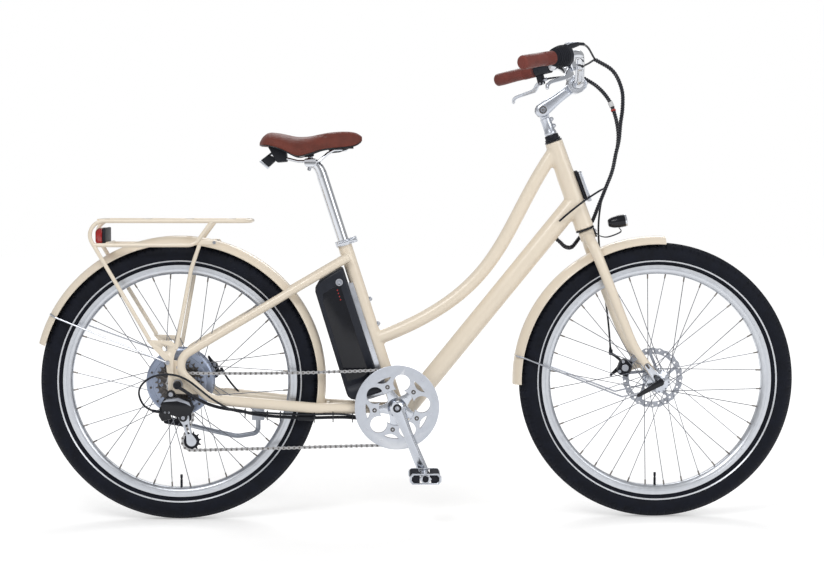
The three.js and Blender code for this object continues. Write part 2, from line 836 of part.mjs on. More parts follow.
// Wheels, each about its axle along Y through the origin
function tyreGeometry() {
  const crown = tyreRadius / Math.cos(Math.PI / wheelFacets);
  const rise = tyreRadius - rimOuterRadius;
  const beadHalf = rimWidth / 2 - rimWall - seatGap;
  const side = [
    [crown, treadFlatWidth / 2],
    [tyreRadius - 0.2 * rise, 0.4 * tyreWidth],
    [tyreRadius - 0.5 * rise, tyreWidth / 2],
    [rimOuterRadius + seatGap, beadHalf],
    [rimWellRadius + seatGap, beadHalf],
  ];
  const other = side.map(([radius, place]) => [radius, -place]).reverse();
  return ringTurned([...side, ...other]);
}

function rimGeometry() {
  const half = rimWidth / 2;
  const side = [
    [rimWellRadius, half - rimWall],
    [rimOuterRadius, half - rimWall],
    [rimOuterRadius, half],
    [rimShoulderRadius, half],
    [rimInnerRadius, half / 2],
  ];
  const other = side.map(([radius, place]) => [radius, -place]).reverse();
  const rim = ringTurned([...side, ...other]);
  const valveTip = at(0, 0, valveLength - rimInnerRadius);
  const valveRoot = at(0, 0, -rimInnerRadius - rimWall);
  return join(rim, rod(valveTip, valveRoot, valveRadius, wireSides));
}

// Spokes cross from both flanges and stop just short of the rim
function spokes(flangeRadius, flangePlaces, crossings) {
  const reach = (rimInnerRadius - seatGap) * Math.cos(Math.PI / wheelFacets) - spokeRadius / 2;
  const inner = flangeRadius - 2 * spokeRadius;
  const offset = hubFlangeThickness / 2 - spokeRadius;
  return Array.from({ length: spokeCount }, (_, k) => {
    const side = k % 2 === 0 ? 1 : -1;
    const lead = Math.floor(k / 2) % 2 === 0 ? 1 : -1;
    const rimTurn = ((k + 0.5) / spokeCount) * 2 * Math.PI;
    const hubTurn = rimTurn + (lead * crossings * 4 * Math.PI) / spokeCount;
    const hubPlace = flangePlaces[side > 0 ? 1 : 0] + lead * offset;
    const from = at(inner * Math.cos(hubTurn), hubPlace, inner * Math.sin(hubTurn));
    const to = at(reach * Math.cos(rimTurn), side * rimWall + lead * spokeRadius,
      reach * Math.sin(rimTurn));
    return tubeThrough([from, to], spokeRadius, 3);
  });
}

function flangeStep(radius, body, place) {
  const half = hubFlangeThickness / 2;
  return [[body, place - half], [radius, place - half], [radius, place + half], [body, place + half]];
}

const hubEndRadius = frontHubBodyRadius - hubFlangeThickness;
const rotorSeatRadius = rotorHubRadius - hubFlangeThickness;
const rotorSeat = (place) => place - rotorThickness / 2 - seatGap;

function frontHubGeometry() {
  const bore = clearOf(frontAxleRadius);
  const end = frontHubWidth / 2 - seatGap;
  const [right, left] = frontFlangePlaces;
  const hub = ringTurned([
    [bore, -end],
    [hubEndRadius, -end],
    [frontHubBodyRadius, right - hubFlangeThickness],
    ...flangeStep(frontFlangeRadius, frontHubBodyRadius, right),
    ...flangeStep(frontFlangeRadius, frontHubBodyRadius, left),
    [rotorSeatRadius, left + hubFlangeThickness],
    [rotorSeatRadius, rotorSeat(frontRotorPlace)],
    [hubEndRadius, rotorSeat(frontRotorPlace)],
    [hubEndRadius, end],
    [bore, end],
  ], 10);
  return join(hub, ...spokes(frontFlangeRadius, frontFlangePlaces, frontCrossings));
}

function motorGeometry() {
  const bore = clearOf(rearAxleRadius, 16);
  const half = motorWidth / 2;
  const rim = half - motorEdge;
  const driveEnd = sprocketStart - seatGap;
  const motor = ringTurned([
    [bore, -driveEnd],
    [motorBossRadius, -driveEnd],
    [motorCoverRadius, -half],
    [motorRadius - motorEdge, -half],
    [motorRadius, -rim - hubFlangeThickness / 2],
    [motorRadius, rim + hubFlangeThickness / 2],
    [motorRadius - motorEdge, half],
    [motorCoverRadius, half],
    [motorBossRadius, half + motorEdge],
    [rotorSeatRadius, rotorSeat(rearRotorPlace)],
    [hubEndRadius, rotorSeat(rearRotorPlace)],
    [hubEndRadius, rearHubWidth / 2 - seatGap],
    [bore, rearHubWidth / 2 - seatGap],
  ], 16);
  return join(motor, ...spokes(motorRadius, [-rim, rim], motorCrossings));
}

const polar = (radius, angle) => flat(radius * Math.cos(angle), radius * Math.sin(angle));
const turnShare = (k, count) => (k / count) * 2 * Math.PI;

// A brake rotor has a wavy rim, swept arms and a ring of holes
function rotorGeometry(place) {
  const steps = 4 * rotorHoles;
  const outline = Array.from({ length: steps }, (_, k) => {
    const radius = rotorRadius - (k % 4 < 2 ? 0 : rotorWave);
    return polar(radius, turnShare(k, steps));
  });
  const shape = shapeOf(outline);
  for (let k = 0; k < rotorArms; k += 1) {
    const start = turnShare(k, rotorArms);
    const span = turnShare(1, rotorArms);
    const innerGap = rotorArmWidth / rotorHubRadius / 2;
    const outerGap = rotorArmWidth / rotorInnerRadius / 2;
    const inner = [0, 1].map((share) => polar(rotorHubRadius,
      start + innerGap + share * (span - 2 * innerGap)));
    const outer = [1, 0.5, 0].map((share) => polar(rotorInnerRadius,
      start + radians(rotorSweep) + outerGap + share * (span - 2 * outerGap)));
    shape.holes.push(new THREE.Path([...inner, ...outer]));
  }
  const bandRadius = (rotorRadius - rotorWave + rotorInnerRadius) / 2;
  for (let k = 0; k < rotorHoles; k += 1) {
    const centre = polar(bandRadius, turnShare(k, rotorHoles));
    const hole = circleShape(rotorHoleRadius, 4).getPoints().map((point) => point.add(centre));
    shape.holes.push(new THREE.Path(hole));
  }
  shape.holes.push(new THREE.Path(circleShape(clearOf(hubEndRadius, smallSides), smallSides).getPoints()));
  return sidePlate(shape, place - rotorThickness / 2, place + rotorThickness / 2);
}

function frontAxleGeometry() {
  const plateOut = frontHubWidth / 2 + dropoutThickness + seatGap;
  const nutLength = 2 * frontAxleRadius;
  const spindle = disc(0, 0, frontAxleRadius, -plateOut - nutLength, plateOut + nutLength / 2);
  const nut = disc(0, 0, 2 * frontAxleRadius, plateOut, plateOut + nutLength, smallSides);
  const cam = disc(0, 0, 2 * frontAxleRadius, -plateOut - nutLength, -plateOut, smallSides);
  return join(spindle, nut, cam);
}

function frontAxleLeverGeometry() {
  const to = -(frontHubWidth / 2 + dropoutThickness + 2 * seatGap + 2 * frontAxleRadius);
  const blade = new THREE.Shape();
  const half = 1.9 * frontAxleRadius;
  blade.absarc(0, 0, half, radians(70), radians(290), false);
  blade.absarc(axleLeverLength, 0, 0.5 * half, radians(-90), radians(90), false);
  return sidePlate(blade, to - frontAxleRadius, to, 0, 5).rotateY(-radians(axleLeverTurn));
}

function rearAxleGeometry() {
  const plateOut = rearHubWidth / 2 + dropoutThickness + seatGap;
  const nutLength = 1.8 * rearAxleRadius;
  const spindle = disc(0, 0, rearAxleRadius, -plateOut - 1.6 * nutLength, plateOut + 1.6 * nutLength);
  const nut = disc(0, 0, 1.8 * rearAxleRadius, plateOut, plateOut + nutLength, wireSides);
  return join(spindle, nut, mirrored(nut));
}

// Calipers are made with the radial way along X and then turned about the axle
function caliperGeometry(place, turn) {
  const [inner, outer] = [rotorInnerRadius, rotorInnerRadius + caliperReach];
  const half = caliperLength / 2;
  const corner = caliperReach / 4;
  const body = shapeOf([flat(inner, -half), flat(outer - corner, -half), flat(outer, corner - half),
    flat(outer, half - corner), flat(outer - corner, half), flat(inner, half)]);
  const solid = sidePlate(body, place - caliperInboard, place + caliperOutboard, corner / 4);
  const slot = box(at(inner - overrun, place - caliperSlot / 2, -half - overrun),
    at(rotorRadius + overrun, place + caliperSlot / 2, half + overrun));
  const pin = disc(brakeArmPivot, 0, caliperPinRadius, place + caliperOutboard - overrun,
    place + caliperOutboard + 1.5 * brakeArmThickness, smallSides);
  return join(cut(solid, slot), pin).rotateY(-radians(turn));
}

function caliperArmGeometry(place, turn, lean) {
  const arm = new THREE.Shape();
  const half = brakeArmWidth / 2;
  arm.absarc(0, 0, 1.4 * half, radians(60), radians(300), false);
  arm.absarc(brakeArmLength, 0, half / 2, radians(-80), radians(80), false);
  const from = place + caliperOutboard + seatGap;
  const plate = sidePlate(arm, from, from + brakeArmThickness, 0, 4);
  const bore = disc(0, 0, clearOf(caliperPinRadius, smallSides), from - overrun,
    from + brakeArmThickness + overrun, smallSides);
  return cut(plate, bore).rotateY(-radians(lean)).translate(brakeArmPivot, 0, 0).rotateY(-radians(turn));
}

// The tab that carries a caliper lies just outside it, along its inner edge
function caliperTab(place, turn, outer, shares) {
  const shape = shapeOf(shares.map(([out, along]) => flat(out * caliperLength, along * caliperLength)));
  return sidePlate(shape, place + caliperOutboard + seatGap, outer).rotateY(-radians(turn));
}

// Fork legs run from the crown over the shoulders to the dropouts
function forkLeg() {
  const spots = forkLegShares.map(([down, forward, side]) => {
    const span = forkHalfSpan + down * (forkTipHalfSpan - forkHalfSpan);
    return onHead(-down * forkLength, forward * forkRake, side * span);
  });
  const curve = new THREE.CatmullRomCurve3(spots, false, 'centripetal');
  const points = curve.getPoints(8);
  const radii = points.map((_,
    k) => forkLegRadius + (forkTipRadius - forkLegRadius) * (k / (points.length - 1)) ** 2);
  return taperedTube(points, radii);
}

function forkGeometry() {
  const steerer = rod(onHead(-overrun), onHead(headTubeLength + riserCollarHeight), steererRadius, 12);
  const crown = rod(onHead(-seatGap), onHead(-crownLength), crownRadius, 12);
  const leg = forkLeg();
  const plateShape = new THREE.Shape();
  plateShape.absarc(frontAxle.x, frontAxle.z, dropoutPlateWidth / 2, radians(200), radians(380), false);
  const legEnd = onHead(-forkLength + dropoutPlateLength, 0.75 * forkRake);
  plateShape.lineTo(legEnd.x + forkTipRadius, legEnd.z);
  plateShape.lineTo(legEnd.x - forkTipRadius, legEnd.z);
  const plate = sidePlate(plateShape, frontHubWidth / 2, frontHubWidth / 2 + dropoutThickness, 0, 4);
  const eyelet = disc(frontAxle.x - eyeletBack, frontAxle.z - eyeletDrop, eyeletRadius,
    frontHubWidth / 2, frontHubWidth / 2 + dropoutThickness, smallSides);
  const eyeletWeb = sidePlate(shapeOf([flat(frontAxle.x, frontAxle.z),
    flat(frontAxle.x, frontAxle.z - eyeletDrop),
    flat(frontAxle.x - eyeletBack, frontAxle.z - eyeletDrop), flat(frontAxle.x - eyeletBack, frontAxle.z)]),
  frontHubWidth / 2, frontHubWidth / 2 + dropoutThickness);
  const tab = caliperTab(frontRotorPlace, frontCaliperTurn,
    frontHubWidth / 2 + dropoutThickness + caliperTabDepth,
    frontTabShares).translate(frontAxle.x, 0, frontAxle.z);
  const welded = join(steerer, crown, leg, mirrored(leg), plate, mirrored(plate), eyelet, mirrored(eyelet),
    eyeletWeb, mirrored(eyeletWeb), tab);
  const axleBore = disc(frontAxle.x, frontAxle.z, clearOf(frontAxleRadius), -frontHubWidth, frontHubWidth);
  const quillBore = rod(onHead(headTubeLength - quillLength - overrun),
    onHead(headTubeLength + 2 * riserCollarHeight),
    clearOf(quillRadius), tubeSides);
  return cut(welded, axleBore, quillBore);
}

function headRing(points) {
  return standing(ringTurned(points, 16), headFoot, headUp);
}

function lowerHeadsetGeometry() {
  const bore = clearOf(steererRadius, 16);
  return headRing([[bore, 0], [headSleeveRadius, 0], [headSleeveRadius, headsetHeight],
    [bore, headsetHeight]]);
}

function upperHeadsetGeometry() {
  const bore = clearOf(steererRadius, 16);
  const top = headTubeLength + riserCollarHeight;
  return headRing([[bore, headTubeLength - headsetHeight], [headTubeRadius, headTubeLength - headsetHeight],
    [headTubeRadius, headTubeLength], [riserCollarRadius, headTubeLength], [riserCollarRadius, top],
    [bore, top]]);
}

// The stem: a quill with a knuckle on top, an arm with two cheeks round it, and the clamp of the handlebar
const stemPivot = onHead(headTubeLength + stemPivotHeight);
const armRise = radians(stemArmRise);
const barCentre = stemPivot.clone().add(at(stemArmReach * Math.cos(armRise), 0,
  stemArmReach * Math.sin(armRise)));

function riserGeometry() {
  const foot = headTubeLength + riserCollarHeight + seatGap;
  const neckStart = headTubeLength + stemPivotHeight - stemPivotRadius - neckRoom;
  const quill = rod(onHead(headTubeLength - quillLength), onHead(foot + overrun), quillRadius);
  const post = rod(onHead(foot), onHead(neckStart), riserRadius, 12);
  const neck = box(at(-overrun, -knuckleHalfWidth, -riserRadius),
    at(stemPivotRadius + neckRoom, knuckleHalfWidth, riserRadius));
  neck.rotateY(-radians(180 - headAngle)).translate(...onHead(neckStart).toArray());
  const knuckle = disc(stemPivot.x, stemPivot.z, stemPivotRadius - overrun, -knuckleHalfWidth,
    knuckleHalfWidth, 12);
  const bolt = disc(stemPivot.x, stemPivot.z, pivotBoltRadius, -stemPivotWidth / 2 - overrun,
    stemPivotWidth / 2 + overrun, smallSides);
  const screws = riserScrewHeights.map((height) => rod(onHead(headTubeLength + height, 0),
    onHead(headTubeLength + height, riserRadius + riserScrewRadius), riserScrewRadius, wireSides));
  return join(quill, post, neck, knuckle, bolt, ...screws);
}

function stemArmGeometry() {
  const arm = new THREE.Shape();
  arm.absarc(0, 0, stemPivotRadius, radians(95), radians(265), false);
  arm.absarc(stemArmReach, 0, stemArmTipRadius, radians(-85), radians(85), false);
  const plate = sidePlate(arm, -stemPivotWidth / 2, stemPivotWidth / 2, stemArmEdge, 4);
  plate.rotateY(-armRise).translate(stemPivot.x, 0, stemPivot.z);
  const clamp = disc(barCentre.x, barCentre.z, clampOuterRadius, -clampWidth / 2, clampWidth / 2, 14);
  const slot = disc(stemPivot.x, stemPivot.z, stemSlotRadius, -knuckleHalfWidth - seatGap,
    knuckleHalfWidth + seatGap, 12);
  const bore = disc(stemPivot.x, stemPivot.z, clearOf(pivotBoltRadius, smallSides), -stemPivotWidth,
    stemPivotWidth, smallSides);
  const barBore = disc(barCentre.x, barCentre.z, clearOf(barRadius, 12), -clampWidth, clampWidth, 12);
  return cut(join(plate, clamp), slot, bore, barBore);
}

// Along a grip from the tip of the bar inwards; side is 1 on the left and -1 on the right
const gripInward = (side) => at(Math.cos(radians(gripDroop)) * Math.sin(radians(gripSweep)),
  -side * Math.cos(radians(gripDroop)) * Math.cos(radians(gripSweep)), Math.sin(radians(gripDroop)));
const barTip = (side) => at(barCentre.x - gripTipBack, side * barHalfWidth, barCentre.z + gripTipRise);
const onGrip = (side, distance) => barTip(side).addScaledVector(gripInward(side), distance);

function handlebarGeometry() {
  const half = (side) => [
    barCentre.clone().add(at(0, side * barCentreHalf, 0)),
    barCentre.clone().add(at(-barForward, side * barSideHalf, barRise)),
    onGrip(side, gripBendStart),
    onGrip(side, 0),
  ];
  const corners = [...half(-1).reverse(), ...half(1)];
  const inner = [gripBendRadius, barBendRadius, barBendRadius];
  return bentTube(corners, [...inner, ...inner.slice().reverse()], barRadius);
}

function gripGeometry(side, length) {
  const bore = barBore;
  const skin = gripRadius;
  const profile = [[0, -gripCap], [0.85 * skin, -gripCap], [skin, 0], [1.04 * skin, 0.15 * length],
    [0.94 * skin, 0.5 * length],
    [0.98 * skin, 0.9 * length], [1.1 * skin, length], [bore, length], [bore, -seatGap], [0, -seatGap]];
  return standing(turned(profile, 12), barTip(side), gripInward(side));
}

function barRing(side, profile, facets) {
  return standing(ringTurned(profile, facets), barTip(side), gripInward(side));
}

const barBore = clearOf(barRadius, 12);
const shifterFrom = rightGripLength + seatGap;
const housingFrom = shifterFrom + shifterLength + seatGap;
const rightPerchFrom = housingFrom + housingLength + seatGap;
const leftPerchFrom = leftGripLength + seatGap;

function shifterGeometry() {
  const bore = barBore;
  const far = shifterFrom + shifterLength;
  return barRing(-1, [[bore, shifterFrom], [0.72 * shifterRadius, shifterFrom],
    [0.92 * shifterRadius, shifterFrom + 0.2 * shifterLength],
    [shifterRadius, shifterFrom + 0.55 * shifterLength], [0.98 * shifterRadius, far], [bore, far]], 12);
}

// Axes of a control on the bar: outward along the grip, towards the lever and across both
function controlAxes(side) {
  const outward = gripInward(side).negate();
  const drop = at(Math.sin(radians(leverLean)), 0, -Math.cos(radians(leverLean)));
  const across = new THREE.Vector3().crossVectors(outward, drop).normalize();
  const towards = new THREE.Vector3().crossVectors(across, outward).normalize();
  return { outward, towards, across };
}

function placedOnBar(geometry, side, distance) {
  const { outward, towards, across } = controlAxes(side);
  const basis = new THREE.Matrix4().makeBasis(outward, across.clone().negate(), towards);
  return geometry.applyMatrix4(basis).translate(...onGrip(side, distance).toArray());
}

function housingGeometry() {
  const body = barRing(-1, [[barBore, housingFrom], [shifterRadius, housingFrom],
    [shifterRadius, housingFrom + housingLength], [barBore, housingFrom + housingLength]], 12);
  const half = housingLength / 2;
  const noseShape = shapeOf([flat(-half, 0), flat(half, 0), flat(half, shifterRadius),
    flat(-housingNose, 1.15 * shifterRadius),
    flat(-housingNose, 0.75 * shifterRadius), flat(-half, 0.6 * shifterRadius)]);
  const nose = sidePlate(noseShape, -half, half, 0);
  nose.rotateX(radians(housingNoseTurn));
  placedOnBar(nose, -1, housingFrom + half);
  const bore = rod(onGrip(-1, housingFrom - overrun), onGrip(-1, housingFrom + housingLength + overrun),
    barBore, 12);
  return cut(join(body, nose), bore);
}

// A perch is a band round the bar with two ears that hold the lever
function perchGeometry(side, from, bandLength = perchLength) {
  const band = barRing(side, [[barBore, from], [perchRadius, from], [perchRadius, from + bandLength],
    [barBore, from + bandLength]], 12);
  const middle = from + perchLength / 2;
  const half = perchLength / 2;
  const bracketShape = shapeOf([flat(-half, (barBore + perchRadius) / 2),
    flat(half, (barBore + perchRadius) / 2),
    flat(half, leverPivotReach + leverWidth / 2), flat(-half, leverPivotReach + leverWidth / 2)]);
  const block = sidePlate(bracketShape, -leverThickness / 2 - earThickness,
    leverThickness / 2 + earThickness);
  const slot = box(at(-leverWidth / 2 - runningGap, -leverThickness / 2 - seatGap,
    leverPivotReach - leverWidth),
    at(perchLength, leverThickness / 2 + seatGap, leverPivotReach + leverWidth));
  const ears = cut(block, slot);
  const pin = disc(0, leverPivotReach, leverPinRadius, -leverThickness / 2 - earThickness,
    leverThickness / 2 + earThickness, smallSides);
  const barrel = rod(at(overrun / 2 - half, 0, leverPivotReach - 0.6 * leverWidth),
    at(-2.4 * half, 0, leverPivotReach - 0.6 * leverWidth),
    0.36 * leverWidth, wireSides);
  const fittings = placedOnBar(join(ears, pin, barrel), side, middle);
  return join(band, fittings);
}

function leftPerchGeometry() {
  const half = padLength / 2;
  const pad = box(at(-half, -padWidth / 2, -padReach - padHeight), at(half, padWidth / 2, -padReach));
  placedOnBar(pad, 1, leftPerchFrom + perchLength + half);
  return join(perchGeometry(1, leftPerchFrom, perchLength + padLength), pad);
}

function leverGeometry(side, from) {
  const half = leverWidth / 2;
  const blade = new THREE.Shape();
  const start = leverPivotReach;
  blade.absarc(0, start, half, radians(90), radians(270), false);
  blade.lineTo(half, start - half);
  blade.quadraticCurveTo(0.2 * leverLength, start - half, 0.3 * leverLength, start + leverDrop - 2 * half);
  blade.lineTo(0.86 * leverLength, start + leverDrop - half);
  blade.quadraticCurveTo(leverLength, start + leverDrop, leverLength, start + leverDrop + 2 * half);
  blade.lineTo(0.95 * leverLength, start + leverDrop + 2.6 * half);
  blade.quadraticCurveTo(0.92 * leverLength, start + leverDrop + half, 0.8 * leverLength,
    start + leverDrop + 0.4 * half);
  blade.lineTo(0.25 * leverLength, start + leverDrop - 0.2 * half);
  blade.quadraticCurveTo(0.14 * leverLength, start + half, half, start + half);
  const plate = sidePlate(blade, -leverThickness / 2, leverThickness / 2, 0, 4);
  const bore = disc(0, start, clearOf(leverPinRadius, smallSides), -leverThickness, leverThickness,
    smallSides);
  return placedOnBar(cut(plate, bore), side, from + perchLength / 2);
}

// Pieces on the seat tube stand in its own axes: X forward from the tube, Z up along it
function seatClampGeometry() {
  const from = seatTubeLength + overrun - collarHeight;
  const to = seatTubeLength + overrun;
  const ring = rod(at(0, 0, from), at(0, 0, to), collarRadius, 12);
  const ear = box(at(seatTubeRadius, -collarEarHalf, from),
    at(collarRadius + collarLug, collarEarHalf, to));
  const tubeBore = rod(at(0, 0, from - overrun), at(0, 0, seatTubeLength + seatGap),
    clearOf(seatTubeRadius, 12), 12);
  const postBore = rod(at(0, 0, from), at(0, 0, to + overrun), clearOf(seatpostRadius, 12), 12);
  const split = box(at(0, -collarSplit / 2, from - overrun),
    at(collarRadius + collarLug + overrun, collarSplit / 2, to + overrun));
  const bolt = disc(collarBoltPlace, (from + to) / 2, clearOf(collarBoltRadius, smallSides),
    -2 * collarEarHalf, 2 * collarEarHalf, smallSides);
  return cut(join(ring, ear), tubeBore, postBore, split, bolt);
}

const collarBoltPlace = collarRadius + collarLug / 2;

function seatLeverGeometry() {
  const height = seatTubeLength + overrun - collarHeight / 2;
  const outside = collarEarHalf + seatGap;
  const reach = collarRadius + overrun;
  const skewer = disc(collarBoltPlace, height, collarBoltRadius, -reach, outside + collarBoltRadius,
    smallSides);
  const nut = disc(collarBoltPlace, height, 2 * collarBoltRadius, outside, outside + collarBoltRadius,
    smallSides);
  const cam = disc(collarBoltPlace, height, 2 * collarBoltRadius, -reach - collarBoltRadius, -outside,
    smallSides);
  const blade = box(at(-collarLeverReach, -reach - collarBoltRadius, height - collarBoltRadius),
    at(collarBoltPlace, -reach, height + collarBoltRadius));
  return join(skewer, nut, cam, blade);
}

function seatpostGeometry() {
  const post = rod(at(0, 0, seatTubeLength - seatpostInsert), at(0, 0, seatpostTop - 2 * seatpostRadius),
    seatpostRadius, 12);
  const neckFoot = at(0, 0, seatpostTop - 3 * seatpostRadius);
  const headMiddle = at(-headSetback, 0, seatpostTop + headRise);
  const neck = taperedTube([neckFoot, at(0, 0, seatpostTop - seatpostRadius), headMiddle],
    [seatpostRadius, seatpostRadius, headLength / 2], 12);
  const head = box(at(-headLength / 2, -headHalfWidth, -headHeight / 2),
    at(headLength / 2, headHalfWidth, headHeight / 2));
  const bolt = rod(at(0, 0, -headHeight), at(0, 0, 0), headBoltRadius, smallSides);
  const tools = [-1, 1].map((side) => rod(at(-headLength, side * railHalfSpan, 0),
    at(headLength, side * railHalfSpan, 0),
    clearOf(railRadius, wireSides), wireSides));
  const split = box(at(-headLength, headHalfWidth / 3, -headSplit / 2),
    at(headLength, 2 * headHalfWidth, headSplit / 2));
  const clamp = cut(join(head, bolt), ...tools, split, mirrored(split));
  clamp.rotateY(-seatLean).translate(headMiddle.x, 0, headMiddle.z);
  return join(post, neck, clamp);
}

const railHeight = onSeat(seatpostTop + headRise, -headSetback).z;

// The two rails are one wire that turns round under the nose of the saddle
function railsGeometry(radius) {
  const side = railShares.map(([along, up, across]) => at(saddleRear + along * saddleLength,
    across * railHalfSpan,
    railHeight + up * railRise));
  const other = side.map((point) => at(point.x, -point.y, point.z)).reverse();
  const points = [...side, ...other];
  const radii = points.slice(2).map(() => railBendRadius);
  return bentTube(points, radii, radius, wireSides);
}

// Cushion of the saddle: each station gives its half width, crown and skirt
function saddleRing([along, wide, crown, skirt], under) {
  const x = saddleRear + along * saddleLength;
  const half = (wide * saddleWidth) / 2;
  const top = saddleTop - crown * saddleHeight;
  const edge = saddleTop - skirt * saddleHeight;
  const inner = Math.max(under, edge);
  const ring = [
    [0, top],
    [0.45 * half, top - 0.05 * (top - edge)],
    [0.8 * half, top - 0.28 * (top - edge)],
    [0.98 * half, top - 0.62 * (top - edge)],
    [half, edge + 0.12 * (top - edge)],
    [0.93 * half, edge],
    [0.78 * half, inner],
  ];
  const left = ring.map(([y, z]) => at(x, y, z));
  const right = ring.slice(1).map(([y, z]) => at(x, -y, z)).reverse();
  return [...left, ...right];
}

const saddleUnder = saddleTop - saddleUnderShare * saddleHeight;

function saddleGeometry() {
  const rings = saddleShares.map((station) => saddleRing(station, saddleUnder));
  return loft(rings);
}

function saddleBaseGeometry() {
  const stations = saddleShares.slice(2, -2);
  const top = saddleUnder - seatGap;
  const rings = stations.map(([along, wide]) => {
    const x = saddleRear + along * saddleLength;
    const half = 0.36 * wide * saddleWidth;
    return [at(x, half, top), at(x, -half, top), at(x, -half, top - saddlePan),
      at(x, half, top - saddlePan)];
  });
  const pan = loft(rings);
  const noseStart = saddleRear + noseBlockStart;
  const nose = box(at(noseStart, -noseBlockHalf, railHeight + noseBlockFootShare * railRise),
    at(noseStart + noseBlockLength, noseBlockHalf, top));
  const backStart = saddleRear + backBlockStart;
  const back = box(at(backStart, -backBlockHalf, railHeight), at(backStart + backBlockLength, backBlockHalf, top));
  return cut(join(pan, nose, back), railsGeometry(clearOf(railRadius, wireSides)));
}

// Drive pieces about the bracket
function toothed(teeth, tip, depth) {
  const points = [];
  for (let k = 0; k < teeth; k += 1) {
    points.push(polar(tip - depth, turnShare(k, teeth)), polar(tip, turnShare(k + 0.5, teeth)));
  }
  return shapeOf(points);
}

const pitchRadius = (teeth) => chainPitch / (2 * Math.sin(Math.PI / teeth));
const clearRadius = (teeth) => pitchRadius(teeth) * Math.cos(Math.PI / teeth) - chainHeight / 2 - seatGap;

const boltAngles = Array.from({ length: 5 }, (_, k) => radians(ringBoltTurn) + turnShare(k, 5));
const ringInner = -(ringPlace - ringThickness / 2);
const ringOuter = -(ringPlace + ringThickness / 2);
const spiderInner = ringOuter - seatGap;
const spiderOuter = spiderInner - spiderThickness;
const guardInner = spiderOuter - seatGap;
const guardOuter = guardInner - guardThickness;

// A plate with round windows between the bolts, and with arc triangles outside them if it is the guard
function windowedPlate(outline, from, to, triangles) {
  const cuts = [disc(0, 0, ringHubRadius, from - overrun, to + overrun, 16)];
  for (const angle of boltAngles) {
    const middle = polar(windowPlace, angle + turnShare(0.5, 5));
    cuts.push(disc(middle.x, middle.y, windowRadius, from - overrun, to + overrun, tubeSides));
    if (triangles) {
      const half = radians(triangleHalfAngle);
      const corners = [polar(ringBandRadius, angle - half), polar(ringBandRadius, angle),
        polar(ringBandRadius, angle + half),
        polar((ringBandRadius + boltCircleRadius) / 2, angle)];
      cuts.push(sidePlate(shapeOf(corners), from - overrun, to + overrun));
    }
  }
  return cut(sidePlate(outline, from, to), ...cuts);
}

function chainringGeometry() {
  const tip = clearRadius(ringTeeth);
  const ring = windowedPlate(toothed(ringTeeth, tip, toothDepth), ringOuter, ringInner, false);
  const guard = windowedPlate(circleShape(guardRadius, 36), guardOuter, guardInner, true);
  const bolts = boltAngles.map((angle) => {
    const spot = polar(boltCircleRadius, angle);
    return disc(spot.x, spot.y, boltRadius, guardOuter - guardThickness / 2, ringInner, wireSides);
  });
  return join(ring, guard, ...bolts);
}

function armShape() {
  const arm = new THREE.Shape();
  arm.absarc(0, 0, crankBossRadius, radians(75), radians(285), false);
  arm.absarc(crankLength, 0, crankTipRadius, radians(-85), radians(85), false);
  return arm;
}

const crankOuter = crankOffset + crankThickness;

function rightCrankGeometry() {
  const arm = sidePlate(armShape(), -crankOuter, -crankOffset, crankThickness / 5,
    5).rotateY(-radians(crankTurn));
  const end = polar(crankLength, radians(crankTurn));
  const pedalAxle = disc(end.x, end.y, pedalAxleRadius, -crankOuter - pedalGap - pedalWidth / 2,
    -crankOffset - overrun, smallSides);
  const boss = disc(0, 0, crankBossRadius, -crankOffset - overrun, spiderInner, 14);
  const legs = boltAngles.map((angle) => {
    const leg = shapeOf([flat(0, -crankBossRadius), flat(boltCircleRadius, -2 * boltRadius),
      flat(boltCircleRadius + 2 * boltRadius, 0),
      flat(boltCircleRadius, 2 * boltRadius), flat(0, crankBossRadius)]);
    return sidePlate(leg, spiderOuter, spiderInner).rotateY(-angle);
  });
  const bore = disc(0, 0, clearOf(spindleRadius), -crankOuter + crankThickness / 3, 0);
  const holes = boltAngles.map((angle) => {
    const spot = polar(boltCircleRadius, angle);
    return disc(spot.x, spot.y, clearOf(boltRadius, wireSides), spiderOuter - overrun, 0, wireSides);
  });
  return cut(join(boss, ...legs, arm, pedalAxle), bore, ...holes);
}

function leftCrankGeometry() {
  const arm = sidePlate(armShape(), crankOffset, crankOuter, crankThickness / 5,
    5).rotateY(-radians(crankTurn + 180));
  const end = polar(-crankLength, radians(crankTurn));
  const pedalAxle = disc(end.x, end.y, pedalAxleRadius, crankOffset + overrun,
    crankOuter + pedalGap + pedalWidth / 2, smallSides);
  const spindle = disc(0, 0, spindleRadius, -crankOuter + crankThickness / 2, crankOffset + overrun);
  return join(arm, spindle, pedalAxle);
}

function bracketCartridge() {
  const half = shellWidth / 2;
  const cup = half + seatGap;
  const barrel = disc(0, 0, shellBoreRadius - seatGap, -cup - overrun, cup + overrun, 16);
  const flange = disc(0, 0, shellRadius - overrun, cup, cup + cupLength, 16);
  const bore = disc(0, 0, clearOf(spindleRadius, tubeSides, runningGap), -shellWidth, shellWidth);
  return cut(join(barrel, flange, mirrored(flange)), bore);
}

